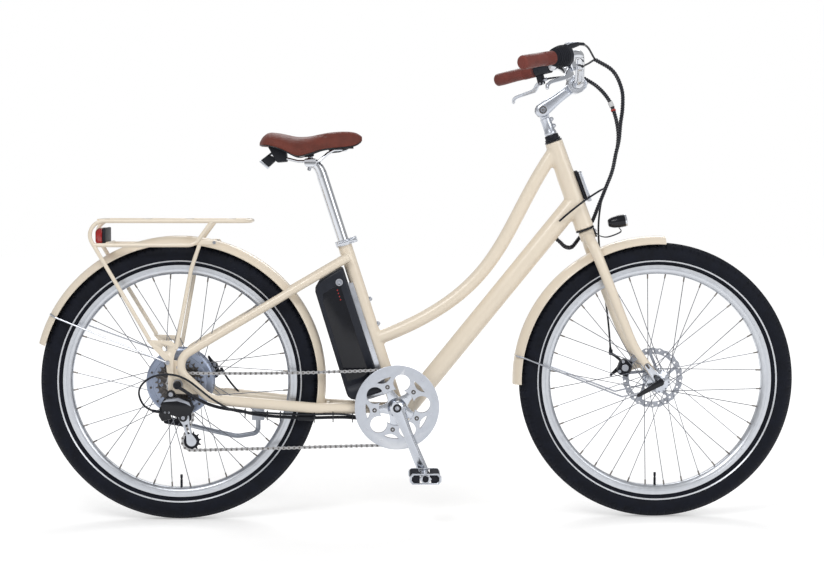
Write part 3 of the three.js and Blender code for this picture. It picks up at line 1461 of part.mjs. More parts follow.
// The right pedal about its own axle; two side cages, the bearing tube and two rubber blocks
function pedalGeometry() {
  const to = -(crankOuter + pedalGap);
  const from = to - pedalWidth;
  const [half, rise] = [pedalLength / 2, pedalHeight / 2];
  const corner = rise / 2;
  const cage = shapeOf([flat(-half, corner - rise), flat(corner - half, -rise), flat(half - corner, -rise),
    flat(half, corner - rise),
    flat(half, rise - corner), flat(half - corner, rise), flat(corner - half, rise),
      flat(-half, rise - corner)]);
  const cages = [sidePlate(cage, from, from + pedalCage), sidePlate(cage, to - pedalCage, to)];
  const tube = disc(0, 0, 2 * pedalAxleRadius, from, to, smallSides);
  const blocks = [-1, 1].map((side) => {
    const ends = [side * (half - corner), side * (half - corner - pedalBlock)].sort((a, b) => a - b);
    return box(at(ends[0], from + overrun, corner / 2 - rise),
      at(ends[1], to - overrun, rise - corner / 2));
  });
  const bore = disc(0, 0, clearOf(pedalAxleRadius, smallSides), to - pedalWidth / 2 - overrun, to + overrun,
    smallSides);
  return cut(join(...cages, tube, ...blocks), bore);
}

// Cassette about the rear axle; only the first and the last sprocket show their teeth
function cassetteGeometry() {
  const sprockets = sprocketTeeth.map((teeth, k) => {
    const near = -(sprocketStart + k * sprocketPitch);
    const smallest = k === sprocketTeeth.length - 1;
    const tip = smallest ? clearRadius(teeth) : pitchRadius(teeth) + toothDepth / 2;
    const outline = smallest || k === 0 ? toothed(teeth, tip, toothDepth) : circleShape(tip, teeth);
    return sidePlate(outline, near - sprocketThickness, near);
  });
  const end = -(sprocketStart + (sprocketTeeth.length - 1) * sprocketPitch + sprocketThickness);
  const body = disc(0, 0, freehubRadius, end - overrun, -sprocketStart, 12);
  const bore = disc(0, 0, clearOf(rearAxleRadius), -rearHubWidth, 0);
  return cut(join(body, ...sprockets), bore);
}

const smallSprocket = sprocketTeeth[sprocketTeeth.length - 1];
const chainRear = -(sprocketStart + (sprocketTeeth.length - 1) * sprocketPitch + sprocketThickness / 2);
const guideCentre = at(rearAxle.x + guideForward, chainRear, rearAxle.z - guideDrop);
const tensionCentre = at(rearAxle.x + tensionForward, chainRear, rearAxle.z - tensionDrop);

// The chain's pitch line: wheels in the order of travel, a positive turn passes over the top towards the
// front
const chainWheels = [
  { centre: at(bracket.x, -ringPlace, bracket.z), radius: pitchRadius(ringTeeth), turn: 1 },
  { centre: tensionCentre, radius: pitchRadius(pulleyTeeth), turn: 1 },
  { centre: guideCentre, radius: pitchRadius(pulleyTeeth), turn: -1 },
  { centre: at(rearAxle.x, chainRear, rearAxle.z), radius: pitchRadius(smallSprocket), turn: 1 },
];

function tangentAngle(first, second) {
  const way = second.centre.clone().sub(first.centre);
  const span = Math.hypot(way.x, way.z);
  return Math.atan2(way.z,
    way.x) + Math.asin((second.turn * second.radius - first.turn * first.radius) / span);
}

function onWheel(wheel, heading) {
  const angle = heading + (wheel.turn * Math.PI) / 2;
  return at(wheel.centre.x + wheel.radius * Math.cos(angle), wheel.centre.y,
    wheel.centre.z + wheel.radius * Math.sin(angle));
}

function chainLine() {
  const points = [];
  const count = chainWheels.length;
  const headings = chainWheels.map((wheel, k) => tangentAngle(wheel, chainWheels[(k + 1) % count]));
  for (let k = 0; k < count; k += 1) {
    const wheel = chainWheels[k];
    const next = chainWheels[(k + 1) % count];
    const arriving = headings[(k + count - 1) % count];
    let wrap = (headings[k] - arriving) % (2 * Math.PI);
    if (wheel.turn > 0 && wrap > 0) {
      wrap -= 2 * Math.PI;
    }
    if (wheel.turn < 0 && wrap < 0) {
      wrap += 2 * Math.PI;
    }
    const parts = Math.ceil(Math.abs(wrap) / radians(4));
    for (let part = 0; part < parts; part += 1) {
      points.push(onWheel(wheel, arriving + (wrap * part) / parts));
    }
    const leave = onWheel(wheel, headings[k]);
    const reach = onWheel(next, headings[k]);
    const sag = k === count - 1 ? chainSag : 0;
    const steps = Math.ceil(leave.distanceTo(reach) / chainPitch);
    for (let step = 0; step < steps; step += 1) {
      const share = step / steps;
      const point = leave.clone().lerp(reach, share);
      point.y = leave.y + (reach.y - leave.y) * THREE.MathUtils.smoothstep(share, 0, 1);
      point.z -= 4 * sag * share * (1 - share);
      points.push(point);
    }
  }
  return points;
}

// Spots at equal steps along a closed line of points
function evenly(points) {
  const line = new THREE.CurvePath();
  points.forEach((point, k) => line.add(new THREE.LineCurve3(point, points[(k + 1) % points.length])));
  const ends = line.getCurveLengths();
  const total = ends[ends.length - 1];
  return { total, at: (share) => line.getPointAt((share + 1) % 1) };
}

function chainGeometry() {
  const line = evenly(chainLine());
  const links = 2 * Math.round(line.total / chainPitch / 2);
  const rings = [];
  for (let link = 0; link < links; link += 1) {
    const half = (link % 2 === 0 ? chainOuterWidth : chainInnerWidth) / 2;
    const here = line.at(link / links);
    const ahead = line.at(link / links + chainStepShare);
    const behind = line.at(link / links - chainStepShare);
    const along = ahead.sub(behind).setY(0).normalize();
    const up = at(-along.z, 0, along.x).multiplyScalar(chainHeight / 2);
    const corners = [[1, 1], [1, -1], [-1, -1], [-1, 1]];
    rings.push(corners.map(([rise, side]) => here.clone().addScaledVector(up,
      rise).add(at(0, side * half, 0))));
  }
  return loft(rings, true);
}

function pulleyGeometry() {
  const half = pulleyThickness / 2;
  const wheel = sidePlate(toothed(pulleyTeeth, clearRadius(pulleyTeeth), toothDepth / 2), -half, half);
  return cut(wheel, disc(0, 0, clearOf(pulleyPinRadius, smallSides), -2 * half, 2 * half, smallSides));
}

// The cage turns about the guide pulley's pin; both plates are tied by the pins of the pulleys
function cageGeometry() {
  const way = tensionCentre.clone().sub(guideCentre);
  const length = Math.hypot(way.x, way.z);
  const plateShape = new THREE.Shape();
  plateShape.absarc(0, 0, cageEndRadius, radians(90), radians(270), false);
  plateShape.absarc(length, 0, cageEndRadius, radians(-90), radians(90), false);
  const plates = [-1, 1].map((side) => {
    const inner = side * cageHalfGap;
    return sidePlate(plateShape, Math.min(inner, inner + side * cageThickness),
      Math.max(inner, inner + side * cageThickness), 0, 4);
  });
  const reach = cageHalfGap + cageThickness;
  const guidePin = disc(0, 0, pulleyPinRadius, -reach - linkThickness / 2, reach, smallSides);
  const tensionPin = disc(length, 0, pulleyPinRadius, -reach, reach, smallSides);
  return join(...plates, guidePin, tensionPin).rotateY(-Math.atan2(way.z, way.x));
}

const hanger = at(rearAxle.x - hangerBack, 0, rearAxle.z - hangerDrop);
const hangerOuter = -(rearHubWidth / 2 + dropoutThickness);
const linkInner = chainRear - cageHalfGap - cageThickness - seatGap;

function linkGeometry() {
  const bolt = disc(hanger.x, hanger.z, knuckleRadius, hangerOuter - seatGap - linkThickness,
    hangerOuter - seatGap, 12);
  const shield = shapeOf(linkShares.map(([along, up]) => flat(hanger.x + along * linkLength,
    hanger.z - linkHeight * up)));
  const body = sidePlate(shield, hangerOuter - seatGap - linkThickness, hangerOuter - seatGap - overrun);
  const knuckle = disc(guideCentre.x, guideCentre.z, knuckleRadius, hangerOuter - seatGap - linkThickness,
    linkInner, 12);
  const bore = disc(guideCentre.x, guideCentre.z, clearOf(pulleyPinRadius, smallSides),
    linkInner - linkThickness / 2 - overrun, linkInner + overrun, smallSides);
  return cut(join(bolt, body, knuckle), bore);
}

// Mudguards: a curved section swept round the wheel, with a wire stay down to the dropouts
function fenderShell(fromAngle, toAngle) {
  const steps = Math.round((toAngle - fromAngle) / fenderStep);
  const rings = [];
  for (let k = 0; k <= steps; k += 1) {
    const angle = radians(fromAngle + ((toAngle - fromAngle) * k) / steps);
    const outer = fenderShares.map(([across, drop]) => [fenderRadius - drop * fenderDrop,
      across * fenderHalfWidth]);
    const inner = fenderShares.map(([across, drop]) => [fenderRadius - drop * fenderDrop - fenderWall,
      across * (fenderHalfWidth - fenderWall * drop)]).reverse();
    rings.push([...outer,
      ...inner].map(([radius, place]) => at(radius * Math.cos(angle), place, radius * Math.sin(angle))));
  }
  const last = 2 * fenderShares.length - 1;
  const caps = [];
  for (let k = 0; k < fenderShares.length - 1; k += 1) {
    caps.push([k, k + 1, last - k - 1], [k, last - k - 1, last - k]);
  }
  return loft(rings, false, caps);
}

// A wire from one eyelet across the mudguard to the other; the corners are given for the left side
function wireStay(corners, radii) {
  const other = corners.map((point) => at(point.x, -point.y, point.z)).reverse();
  return bentTube([...corners, ...other], [...radii, ...radii.slice().reverse()], stayWireRadius,
    wireSides);
}

function rearFenderGeometry() {
  const hold = polar(fenderRadius - fenderWall - stayWireRadius / 2, radians(rearStayAngle));
  const edge = polar(fenderRadius - fenderDrop, radians(rearStayAngle));
  const eye = at(-rearEyeBack,
    rearHubWidth / 2 + dropoutThickness + footThickness + 3 * seatGap + stayWireRadius, rearEyeUp);
  const loop = disc(eye.x, eye.z, eyeletRadius, eye.y - stayWireRadius, eye.y + stayWireRadius, smallSides);
  const wire = wireStay([eye, at(edge.x, fenderHalfWidth + overrun, edge.y),
    at(hold.x, fenderHalfWidth * 0.8, hold.y)],
    [overrun, overrun]);
  return join(fenderShell(rearFenderFrom, rearFenderTo), wire, loop, mirrored(loop));
}

function frontFenderGeometry() {
  const hold = polar(fenderRadius - fenderWall - stayWireRadius / 2, radians(frontStayAngle));
  const edge = polar(fenderRadius - fenderDrop, radians(frontStayAngle));
  const plateOut = frontHubWidth / 2 + dropoutThickness;
  const eye = at(-eyeletBack, plateOut + seatGap + stayWireRadius, -eyeletDrop);
  const loop = disc(eye.x, eye.z, eyeletRadius, eye.y - stayWireRadius, eye.y + stayWireRadius, smallSides);
  const knee = at(-frontKneeBack, plateOut, -frontKneeDrop);
  const wire = wireStay([eye, knee, at(edge.x, fenderHalfWidth + overrun, edge.y),
    at(hold.x, fenderHalfWidth * 0.8, hold.y)],
    [5 * overrun, overrun, overrun]);
  const crownFoot = forkLength - crownLength - seatGap;
  const tab = box(at(-fenderTabWidth, -fenderTabWidth, fenderRadius - 2 * fenderWall),
    at(fenderTabWidth, fenderTabWidth, crownFoot));
  tab.rotateY(headLean).translate(-forkRake * headForward.x, 0, -forkRake * headForward.z);
  return join(fenderShell(frontFenderFrom, frontFenderTo), wire, loop, mirrored(loop), tab);
}

// Rear rack: one long tube makes both struts, both rails and the front loop
function rackGeometry() {
  const footPlace = rearHubWidth / 2 + dropoutThickness + seatGap + footThickness / 2;
  const foot = at(rackFootX, footPlace, rackFootTop);
  const rearCorner = at(rackRearX, rackHalfWidth, rackHeight);
  const frontCorner = at(rackFrontX, rackHalfWidth, rackHeight);
  const otherSide = (point) => at(point.x, -point.y, point.z);
  const half = [foot, rearCorner, frontCorner];
  const loop = bentTube([...half, ...half.map(otherSide).reverse()],
    [rackBendRadius, rackBendRadius, rackBendRadius, rackBendRadius], rackTubeRadius, wireSides);
  const lowerHeight = rackHeight - rackLowerDrop;
  const strut = rearCorner.clone().lerp(foot, rackLowerDrop / (rackHeight - rackFootTop));
  const lower = bentTube([strut, at(rackLowerFrontX, rackHalfWidth, lowerHeight),
    at(rackJoinX, rackHalfWidth, rackHeight)],
    [rackBendRadius], rackTubeRadius, wireSides);
  const leg = bentTube([at(rackLegX, rackHalfWidth, lowerHeight),
    at(rackLegX - rackTabLength / 2, rackHalfWidth, lowerHeight - rackLowerDrop),
    at(rackLegFootX, footPlace, rackLegFootZ)], [2 * rackBendRadius], rackTubeRadius, wireSides);
  const tab = box(at(rackLegX - rackTubeRadius, rackHalfWidth - slatThickness / 2,
    lowerHeight + slatThickness / 2),
    at(rackLegX + rackTabLength, rackHalfWidth + slatThickness / 2,
      lowerHeight + slatThickness / 2 + 2 * rackTubeRadius));
  const outline = footShares.map(([along, up]) => flat(rackFootX + along * rackFootWidth,
    rackFootBottom + up * (rackFootTop - rackFootBottom)));
  const plate = sidePlate(shapeOf(outline), footPlace - footThickness / 2, footPlace + footThickness / 2);
  const hole = disc(rackFootX + footHoleShare * rackFootWidth, rackFootTop - footHoleDrop, footHoleRadius,
    0, 2 * footPlace, smallSides);
  const side = join(lower, leg, tab, cut(plate, hole));
  const slats = Array.from({ length: slatCount }, (_, k) => {
    const middle = rackRearX + rackBendRadius + slatWidth
      + (k * (rackFrontX - rackRearX - 2 * rackBendRadius - 2 * slatWidth)) / (slatCount - 1);
    return box(at(middle - slatWidth / 2, -rackHalfWidth, rackHeight + rackTubeRadius - slatThickness),
      at(middle + slatWidth / 2, rackHalfWidth, rackHeight + rackTubeRadius));
  });
  const lightBar = disc(tailLightFront + seatGap + rackTubeRadius, lowerHeight + slatThickness,
    rackTubeRadius, -rackHalfWidth, rackHalfWidth, smallSides);
  return join(loop, side, mirrored(side), ...slats, lightBar);
}

function tailLightGeometry() {
  const foot = rackHeight - rackLowerDrop + slatThickness - rackTubeRadius;
  const corner = tailLightDepth / 3;
  const outline = shapeOf([flat(tailLightFront, foot), flat(tailLightFront, foot + tailLightHeight),
    flat(tailLightFront - tailLightDepth + corner, foot + tailLightHeight),
      flat(tailLightFront - tailLightDepth, foot + tailLightHeight - corner),
    flat(tailLightFront - tailLightDepth, foot + corner),
      flat(tailLightFront - tailLightDepth + corner, foot)]);
  return sidePlate(outline, -tailLightWidth / 2, tailLightWidth / 2);
}

// Battery behind the seat tube and the rail that it slides on
function batteryGeometry() {
  const shape = shapeOf(batteryShares.map(([away,
    up]) => flat(-(batteryNear + away * (batteryFar - batteryNear)),
    batteryFrom + up * (batteryTo - batteryFrom))));
  const body = sidePlate(shape, -batteryHalfWidth, batteryHalfWidth, batteryEdge);
  const rail = box(at(-cradleDepth - seatGap, -2 * batteryHalfWidth, 0),
    at(0, 2 * batteryHalfWidth, cradleTo + seatGap));
  return cut(body, rail);
}

function cradleGeometry() {
  const rail = box(at(-cradleDepth, -cradleHalfWidth, batteryFrom),
    at(-seatTubeRadius / 2, cradleHalfWidth, cradleTo));
  const foot = box(at(-cradleFootReach, -cradleHalfWidth / 2, batteryFrom - seatGap - cradleFoot),
    at(-seatTubeRadius / 2, cradleHalfWidth / 2, batteryFrom - seatGap));
  const heel = box(at(-cradleDepth, -cradleHalfWidth / 2, batteryFrom - seatGap - cradleFoot),
    at(-seatTubeRadius, cradleHalfWidth / 2, batteryFrom + overrun));
  const tube = rod(at(0, 0, 0), at(0, 0, seatTubeLength), clearOf(seatTubeRadius, 12), 12);
  return cut(join(rail, foot, heel), tube);
}

// Kickstand: a bracket under the left chainstay, its pin leaning out, and the leg folded back along the
// wheel
const kickAxis = at(Math.sin(radians(kickLean)), -Math.cos(radians(kickLean)), 0);
const kickPivot = at(rearAxle.x + kickstandAhead, kickstandPlace, rearAxle.z - kickstandDrop);

function alongKick(radius, half, sides) {
  return rod(kickPivot.clone().addScaledVector(kickAxis, -half),
    kickPivot.clone().addScaledVector(kickAxis, half), radius, sides);
}

function kickBracketGeometry() {
  const { lower, tyre } = stayRoute;
  const body = box(at(kickPivot.x - kickBlockLength / 2, kickPivot.y - kickBlockWidth / 2,
    kickPivot.z - kickKnuckle),
    at(kickPivot.x + kickBlockLength / 2, kickPivot.y + kickBlockWidth / 2, kickPivot.z + kickBlockHeight));
  const stay = rod(lower, tyre, clearOf(chainstayRadius), tubeSides);
  const slot = box(at(-kickBlockLength, -kickLegHalf - seatGap, -kickBlockLength),
    at(kickBlockLength, kickLegHalf + seatGap, kickKnuckle + overrun));
  slot.rotateZ(radians(kickLean)).translate(kickPivot.x, kickPivot.y, kickPivot.z);
  return join(cut(body, stay, slot), alongKick(kickPinRadius, kickBlockWidth / 2 - overrun, smallSides));
}

function kickLegGeometry() {
  const corners = kickLegShares.map(([back, down, out]) => at(kickPivot.x - back * kickLegLength,
    kickPivot.y + out * kickLegSpread,
    kickPivot.z - down * kickLegDrop));
  const leg = bentTube(corners.slice(0, -1), corners.slice(2, -1).map(() => kickBendRadius), kickLegRadius,
    6);
  const foot = rod(corners[corners.length - 2], corners[corners.length - 1], kickFootRadius, smallSides);
  const knuckle = alongKick(kickKnuckle, kickLegHalf, 10);
  return cut(join(knuckle, leg, foot),
    alongKick(clearOf(kickPinRadius, smallSides), 2 * kickLegHalf, smallSides));
}

// Lamp on the fork crown: a shell along its own axis, standing on a bent strip
function headlightGeometry() {
  const lean = radians(lampLean);
  const forward = at(Math.cos(lean), 0, Math.sin(lean));
  const back = lampFace.clone().addScaledVector(forward, -lampLength);
  const lamp = standing(turned([[0, 0], [0.55 * lampRadius, 0], [0.9 * lampRadius, 0.25 * lampLength],
    [lampRadius, 0.6 * lampLength],
    [lampRadius, lampLength], [0.86 * lampRadius, lampLength], [0.8 * lampRadius, 0.93 * lampLength],
      [0, 0.93 * lampLength]], 18), back, forward);
  const crownFront = onHead(-crownLength / 2, crownRadius + seatGap);
  const strip = shapeOf([flat(crownFront.x, crownFront.z + lampStripWidth),
    flat(crownFront.x, crownFront.z - lampStripWidth),
    flat(crownFront.x + lampStripThickness, crownFront.z - lampStripWidth),
      flat(lampFace.x - 0.3 * lampLength, lampFace.z - 1.6 * lampRadius),
    flat(lampFace.x - 0.5 * lampLength, lampFace.z - 0.5 * lampRadius),
      flat(lampFace.x - 0.7 * lampLength, lampFace.z - 0.5 * lampRadius),
    flat(lampFace.x - 0.5 * lampLength, lampFace.z - 1.4 * lampRadius)]);
  const crownTool = rod(onHead(0), onHead(-2 * crownLength), clearOf(crownRadius, 12), 12);
  return join(lamp, cut(sidePlate(strip, -lampStripWidth / 2, lampStripWidth / 2), crownTool));
}

// Carrier plate on its spacer in front of the head tube, in the head tube's axes
function carrierGeometry() {
  const back = headSleeveRadius + seatGap;
  const plate = box(at(carrierPlace, -carrierWidth / 2, carrierFrom),
    at(carrierPlace + carrierThickness, carrierWidth / 2, carrierFrom + carrierLength));
  const spacer = box(at(back / 2, -carrierWidth / 3, carrierFrom + carrierThickness),
    at(carrierPlace + overrun, carrierWidth / 3, headSleeveLength - overrun));
  const bolt = rod(at(carrierPlace, 0, carrierFrom + carrierLength - 2 * carrierThickness),
    at(carrierPlace + carrierThickness + overrun, 0, carrierFrom + carrierLength - 2 * carrierThickness),
      carrierThickness / 2, smallSides);
  const tube = rod(at(0, 0, 0), at(0, 0, headTubeLength), clearOf(headSleeveRadius, 16), 16);
  return join(cut(spacer, tube), plate, bolt);
}

// Cables follow hand-chosen routes
function cable(route, radius, steps) {
  return smoothTube(route.map(([x, y, z]) => at(x, y, z)), radius, steps, wireSides);
}

function loomGeometry() {
  return join(cable(loomRoute, loomRadius, 24), cable(leftLoomRoute, loomRadius, 8),
    cable(shifterCableRoute, cableRadius, 5), cable(rightBrakeRoute, cableRadius, 5),
      cable(leftBrakeRoute, cableRadius, 5),
    cable(frontBrakeRoute, cableRadius, 9), cable(portCableRoute, cableRadius, 8));
}

function stayCablesGeometry() {
  return join(cable(gearCableRoute, cableRadius, 20), cable(motorCableRoute, motorCableRadius, 9));
}

export default (() => {
  const bike = new THREE.Group();
  const front = new THREE.Group();
  front.position.copy(frontAxle);
  const rear = new THREE.Group();
  rear.position.copy(rearAxle);
  const crankSet = new THREE.Group();
  crankSet.position.copy(bracket);
  const seatAxes = new THREE.Group();
  seatAxes.position.copy(bracket);
  seatAxes.rotation.y = seatLean;
  const headAxes = new THREE.Group();
  headAxes.position.copy(headFoot);
  headAxes.rotation.y = headLean;
  bike.add(front, rear, crankSet, seatAxes, headAxes);

  bike.add(piece('frame', frameGeometry(), paint));
  bike.add(piece('rear_rack', rackGeometry(), paint));
  bike.add(piece('tail_light', tailLightGeometry(), blackPlastic));
  bike.add(piece('kickstand_bracket', kickBracketGeometry(), silver));
  bike.add(piece('kickstand_leg', kickLegGeometry(), silver));
  bike.add(piece('chainstay_cables', stayCablesGeometry(), blackRubber));

  bike.add(piece('fork', forkGeometry(), paint));
  bike.add(piece('headset_lower', lowerHeadsetGeometry(), blackPlastic));
  bike.add(piece('headset_upper', upperHeadsetGeometry(), silver));
  bike.add(piece('headlight', headlightGeometry(), silver));
  headAxes.add(piece('carrier_plate', carrierGeometry(), silver));

  bike.add(piece('stem_riser', riserGeometry(), silver));
  bike.add(piece('stem_arm', stemArmGeometry(), silver));
  bike.add(piece('handlebar', handlebarGeometry(), silver));
  bike.add(piece('right_grip', gripGeometry(-1, rightGripLength), leather));
  bike.add(piece('left_grip', gripGeometry(1, leftGripLength), leather));
  bike.add(piece('twist_shifter', shifterGeometry(), blackRubber));
  bike.add(piece('shifter_housing', housingGeometry(), blackPlastic));
  bike.add(piece('right_brake_perch', perchGeometry(-1, rightPerchFrom), silver));
  bike.add(piece('left_brake_perch', leftPerchGeometry(), blackPlastic));
  bike.add(piece('right_brake_lever', leverGeometry(-1, rightPerchFrom), silver));
  bike.add(piece('left_brake_lever', leverGeometry(1, leftPerchFrom), silver));
  bike.add(piece('cable_loom', loomGeometry(), blackRubber));

  seatAxes.add(piece('seat_clamp', seatClampGeometry(), silver));
  seatAxes.add(piece('seat_clamp_lever', seatLeverGeometry(), silver));
  seatAxes.add(piece('seatpost', seatpostGeometry(), silver));
  seatAxes.add(piece('battery', batteryGeometry(), blackPlastic));
  seatAxes.add(piece('battery_cradle', cradleGeometry(), silver));
  bike.add(piece('saddle_rails', railsGeometry(railRadius), steel));
  bike.add(piece('saddle_base', saddleBaseGeometry(), blackPlastic));
  bike.add(piece('saddle', saddleGeometry(), leather));

  crankSet.add(piece('bottom_bracket', bracketCartridge(), steel));
  crankSet.add(piece('chainring', chainringGeometry(), silver));
  crankSet.add(piece('right_crank', rightCrankGeometry(), silver));
  crankSet.add(piece('left_crank', leftCrankGeometry(), silver));
  const arm = polar(crankLength, radians(crankTurn));
  for (const [side, name] of [[1, 'right'], [-1, 'left']]) {
    const pedal = pedalGeometry();
    const turnedPedal = piece(`${name}_pedal`, side > 0 ? pedal : mirrored(pedal), blackRubber);
    turnedPedal.position.set(side * arm.x, 0, side * arm.y);
    crankSet.add(turnedPedal);
  }
  bike.add(piece('chain', chainGeometry(), steel));
  rear.add(piece('cassette', cassetteGeometry(), steel));
  bike.add(piece('derailleur_link', linkGeometry(), blackPlastic));
  const cage = piece('derailleur_cage', cageGeometry(), silver);
  cage.position.copy(guideCentre);
  const upperPulley = piece('upper_pulley', pulleyGeometry(), blackPlastic);
  upperPulley.position.copy(guideCentre);
  const lowerPulley = piece('lower_pulley', pulleyGeometry(), blackPlastic);
  lowerPulley.position.copy(tensionCentre);
  bike.add(cage, upperPulley, lowerPulley);

  for (const [wheel, name] of [[front, 'front'], [rear, 'rear']]) {
    wheel.add(piece(`${name}_tyre`, tyreGeometry(), blackRubber));
    wheel.add(piece(`${name}_rim`, rimGeometry(), silver));
  }
  front.add(piece('front_hub', frontHubGeometry(), silver));
  front.add(piece('front_rotor', rotorGeometry(frontRotorPlace), steel));
  front.add(piece('front_axle', frontAxleGeometry(), silver));
  front.add(piece('front_axle_lever', frontAxleLeverGeometry(), silver));
  front.add(piece('front_caliper', caliperGeometry(frontRotorPlace, frontCaliperTurn), blackPlastic));
  front.add(piece('front_caliper_arm', caliperArmGeometry(frontRotorPlace, frontCaliperTurn, frontArmLean),
    steel));
  front.add(piece('front_fender', frontFenderGeometry(), paint));
  rear.add(piece('hub_motor', motorGeometry(), silver));
  rear.add(piece('rear_rotor', rotorGeometry(rearRotorPlace), steel));
  rear.add(piece('rear_axle', rearAxleGeometry(), steel));
  rear.add(piece('rear_caliper', caliperGeometry(rearRotorPlace, rearCaliperTurn), blackPlastic));
  rear.add(piece('rear_caliper_arm', caliperArmGeometry(rearRotorPlace, rearCaliperTurn, rearArmLean),
    steel));
  rear.add(piece('rear_fender', rearFenderGeometry(), paint));
  return bike;
})();
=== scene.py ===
"""Step-through electric bicycle in its finished looks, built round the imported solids.

Places and sizes are in millimetres and turned to metres where a mesh is made.
+X is forward, +Y the rider's left and +Z up; the ground is at zero.
"""
import json
import math
import bmesh
import bpy
from mathutils import Matrix, Quaternion, Vector

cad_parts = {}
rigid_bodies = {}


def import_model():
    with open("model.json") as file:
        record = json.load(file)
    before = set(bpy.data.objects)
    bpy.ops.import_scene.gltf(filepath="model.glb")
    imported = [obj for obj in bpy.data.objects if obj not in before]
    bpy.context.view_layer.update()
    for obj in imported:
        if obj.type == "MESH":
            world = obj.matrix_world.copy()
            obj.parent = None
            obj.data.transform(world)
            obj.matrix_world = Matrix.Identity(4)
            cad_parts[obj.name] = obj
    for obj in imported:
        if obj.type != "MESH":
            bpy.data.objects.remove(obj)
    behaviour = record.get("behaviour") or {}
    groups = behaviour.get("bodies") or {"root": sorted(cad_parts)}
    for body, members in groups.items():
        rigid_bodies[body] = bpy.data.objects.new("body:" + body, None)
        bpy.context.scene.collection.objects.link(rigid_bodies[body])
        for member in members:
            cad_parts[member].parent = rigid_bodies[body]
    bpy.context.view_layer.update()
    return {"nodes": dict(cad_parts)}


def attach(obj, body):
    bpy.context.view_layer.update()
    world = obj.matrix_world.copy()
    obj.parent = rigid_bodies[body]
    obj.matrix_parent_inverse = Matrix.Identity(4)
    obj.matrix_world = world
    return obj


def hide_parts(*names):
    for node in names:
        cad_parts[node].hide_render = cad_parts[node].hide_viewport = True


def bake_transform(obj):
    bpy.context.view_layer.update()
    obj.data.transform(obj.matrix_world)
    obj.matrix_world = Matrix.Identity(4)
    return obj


for leftover in list(bpy.data.objects):
    bpy.data.objects.remove(leftover)
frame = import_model()
bpy.ops.object.select_all(action="DESELECT")
MM = 0.001
SIDE_RIGHT, SIDE_LEFT = -1, 1


def rad(angle):
    return math.radians(angle)


# Making of meshes

def begin(name, add, **options):
    """Runs one of the adding operators and names the piece that it makes."""
    bpy.ops.object.select_all(action="DESELECT")
    add(**options)
    piece = bpy.context.object
    piece.name = piece.data.name = name
    return piece


def only(piece):
    """Makes a piece the one that the next operator works on."""
    bpy.ops.object.select_all(action="DESELECT")
    piece.select_set(True)
    bpy.context.view_layer.objects.active = piece


def smooth(piece, angle=35):
    only(piece)
    bpy.ops.object.shade_smooth_by_angle(angle=rad(angle))
    return piece


def settle(piece, merge=0.004):
    """Merges doubles and turns all faces outwards."""
    only(piece)
    bpy.ops.object.mode_set(mode="EDIT")
    bpy.ops.mesh.select_all(action="SELECT")
    bpy.ops.mesh.remove_doubles(threshold=merge * MM)
    bpy.ops.mesh.normals_make_consistent(inside=False)
    bpy.ops.object.mode_set(mode="OBJECT")
    return piece


def skin(name, rings, closed=True, looped=False, capped=True, angle=35):
    """A grid laid over rings of points; each ring may close on itself, and the row of rings too."""
    rows, columns = len(rings), len(rings[0])
    across = columns if closed else columns - 1
    along = rows if looped else rows - 1
    piece = begin(name, bpy.ops.mesh.primitive_grid_add, x_subdivisions=across, y_subdivisions=along, size=2)
    bpy.ops.object.mode_set(mode="EDIT")
    mesh = bmesh.from_edit_mesh(piece.data)
    for vertex in mesh.verts:
        column = round((vertex.co.x + 1) / 2 * across)
        row = round((vertex.co.y + 1) / 2 * along)
        vertex.co = rings[row % rows][column % columns] * MM
    bmesh.update_edit_mesh(piece.data)
    bpy.ops.mesh.select_all(action="SELECT")
    bpy.ops.mesh.remove_doubles(threshold=0.002 * MM)
    if capped:
        bpy.ops.mesh.fill_holes(sides=0)
    bpy.ops.mesh.select_all(action="SELECT")
    bpy.ops.mesh.normals_make_consistent(inside=False)
    bpy.ops.object.mode_set(mode="OBJECT")
    return smooth(piece, angle)


def outline(name, corners):
    """A flat face with its corners at the given places, left in edit mode."""
    piece = begin(name, bpy.ops.mesh.primitive_circle_add, vertices=len(corners), radius=1, fill_type="NGON")
    bpy.ops.object.mode_set(mode="EDIT")
    mesh = bmesh.from_edit_mesh(piece.data)
    mesh.verts.ensure_lookup_table()
    for vertex, corner in zip(mesh.verts, corners):
        vertex.co = corner * MM
    bmesh.update_edit_mesh(piece.data)
    bpy.ops.mesh.select_all(action="SELECT")
    return piece


def slab(name, corners, way, bevel=0, segments=2, angle=35):
    """A face drawn out along a way, with softened edges."""
    piece = outline(name, corners)
    bpy.ops.mesh.extrude_region_move(TRANSFORM_OT_translate={"value": way * MM})
    bpy.ops.mesh.select_all(action="SELECT")
    bpy.ops.mesh.normals_make_consistent(inside=False)
    bpy.ops.object.mode_set(mode="OBJECT")
    return soften(piece, bevel, segments, angle)


def side_slab(name, flat, low, high, bevel=0.6, segments=2):
    """A plate of points in X and Z that lies between two places on Y."""
    return slab(name, [Vector((x, low, z)) for x, z in flat], Vector((0, high - low, 0)), bevel, segments)


def soften(piece, bevel, segments=2, angle=35):
    if bevel:
        only(piece)
        rounding = piece.modifiers.new("edges", "BEVEL")
        rounding.width = bevel * MM
        rounding.segments = segments
        rounding.limit_method = "ANGLE"
        rounding.angle_limit = rad(30)
        rounding.use_clamp_overlap = True
        bpy.ops.object.modifier_apply(modifier=rounding.name)
    return smooth(piece, angle)


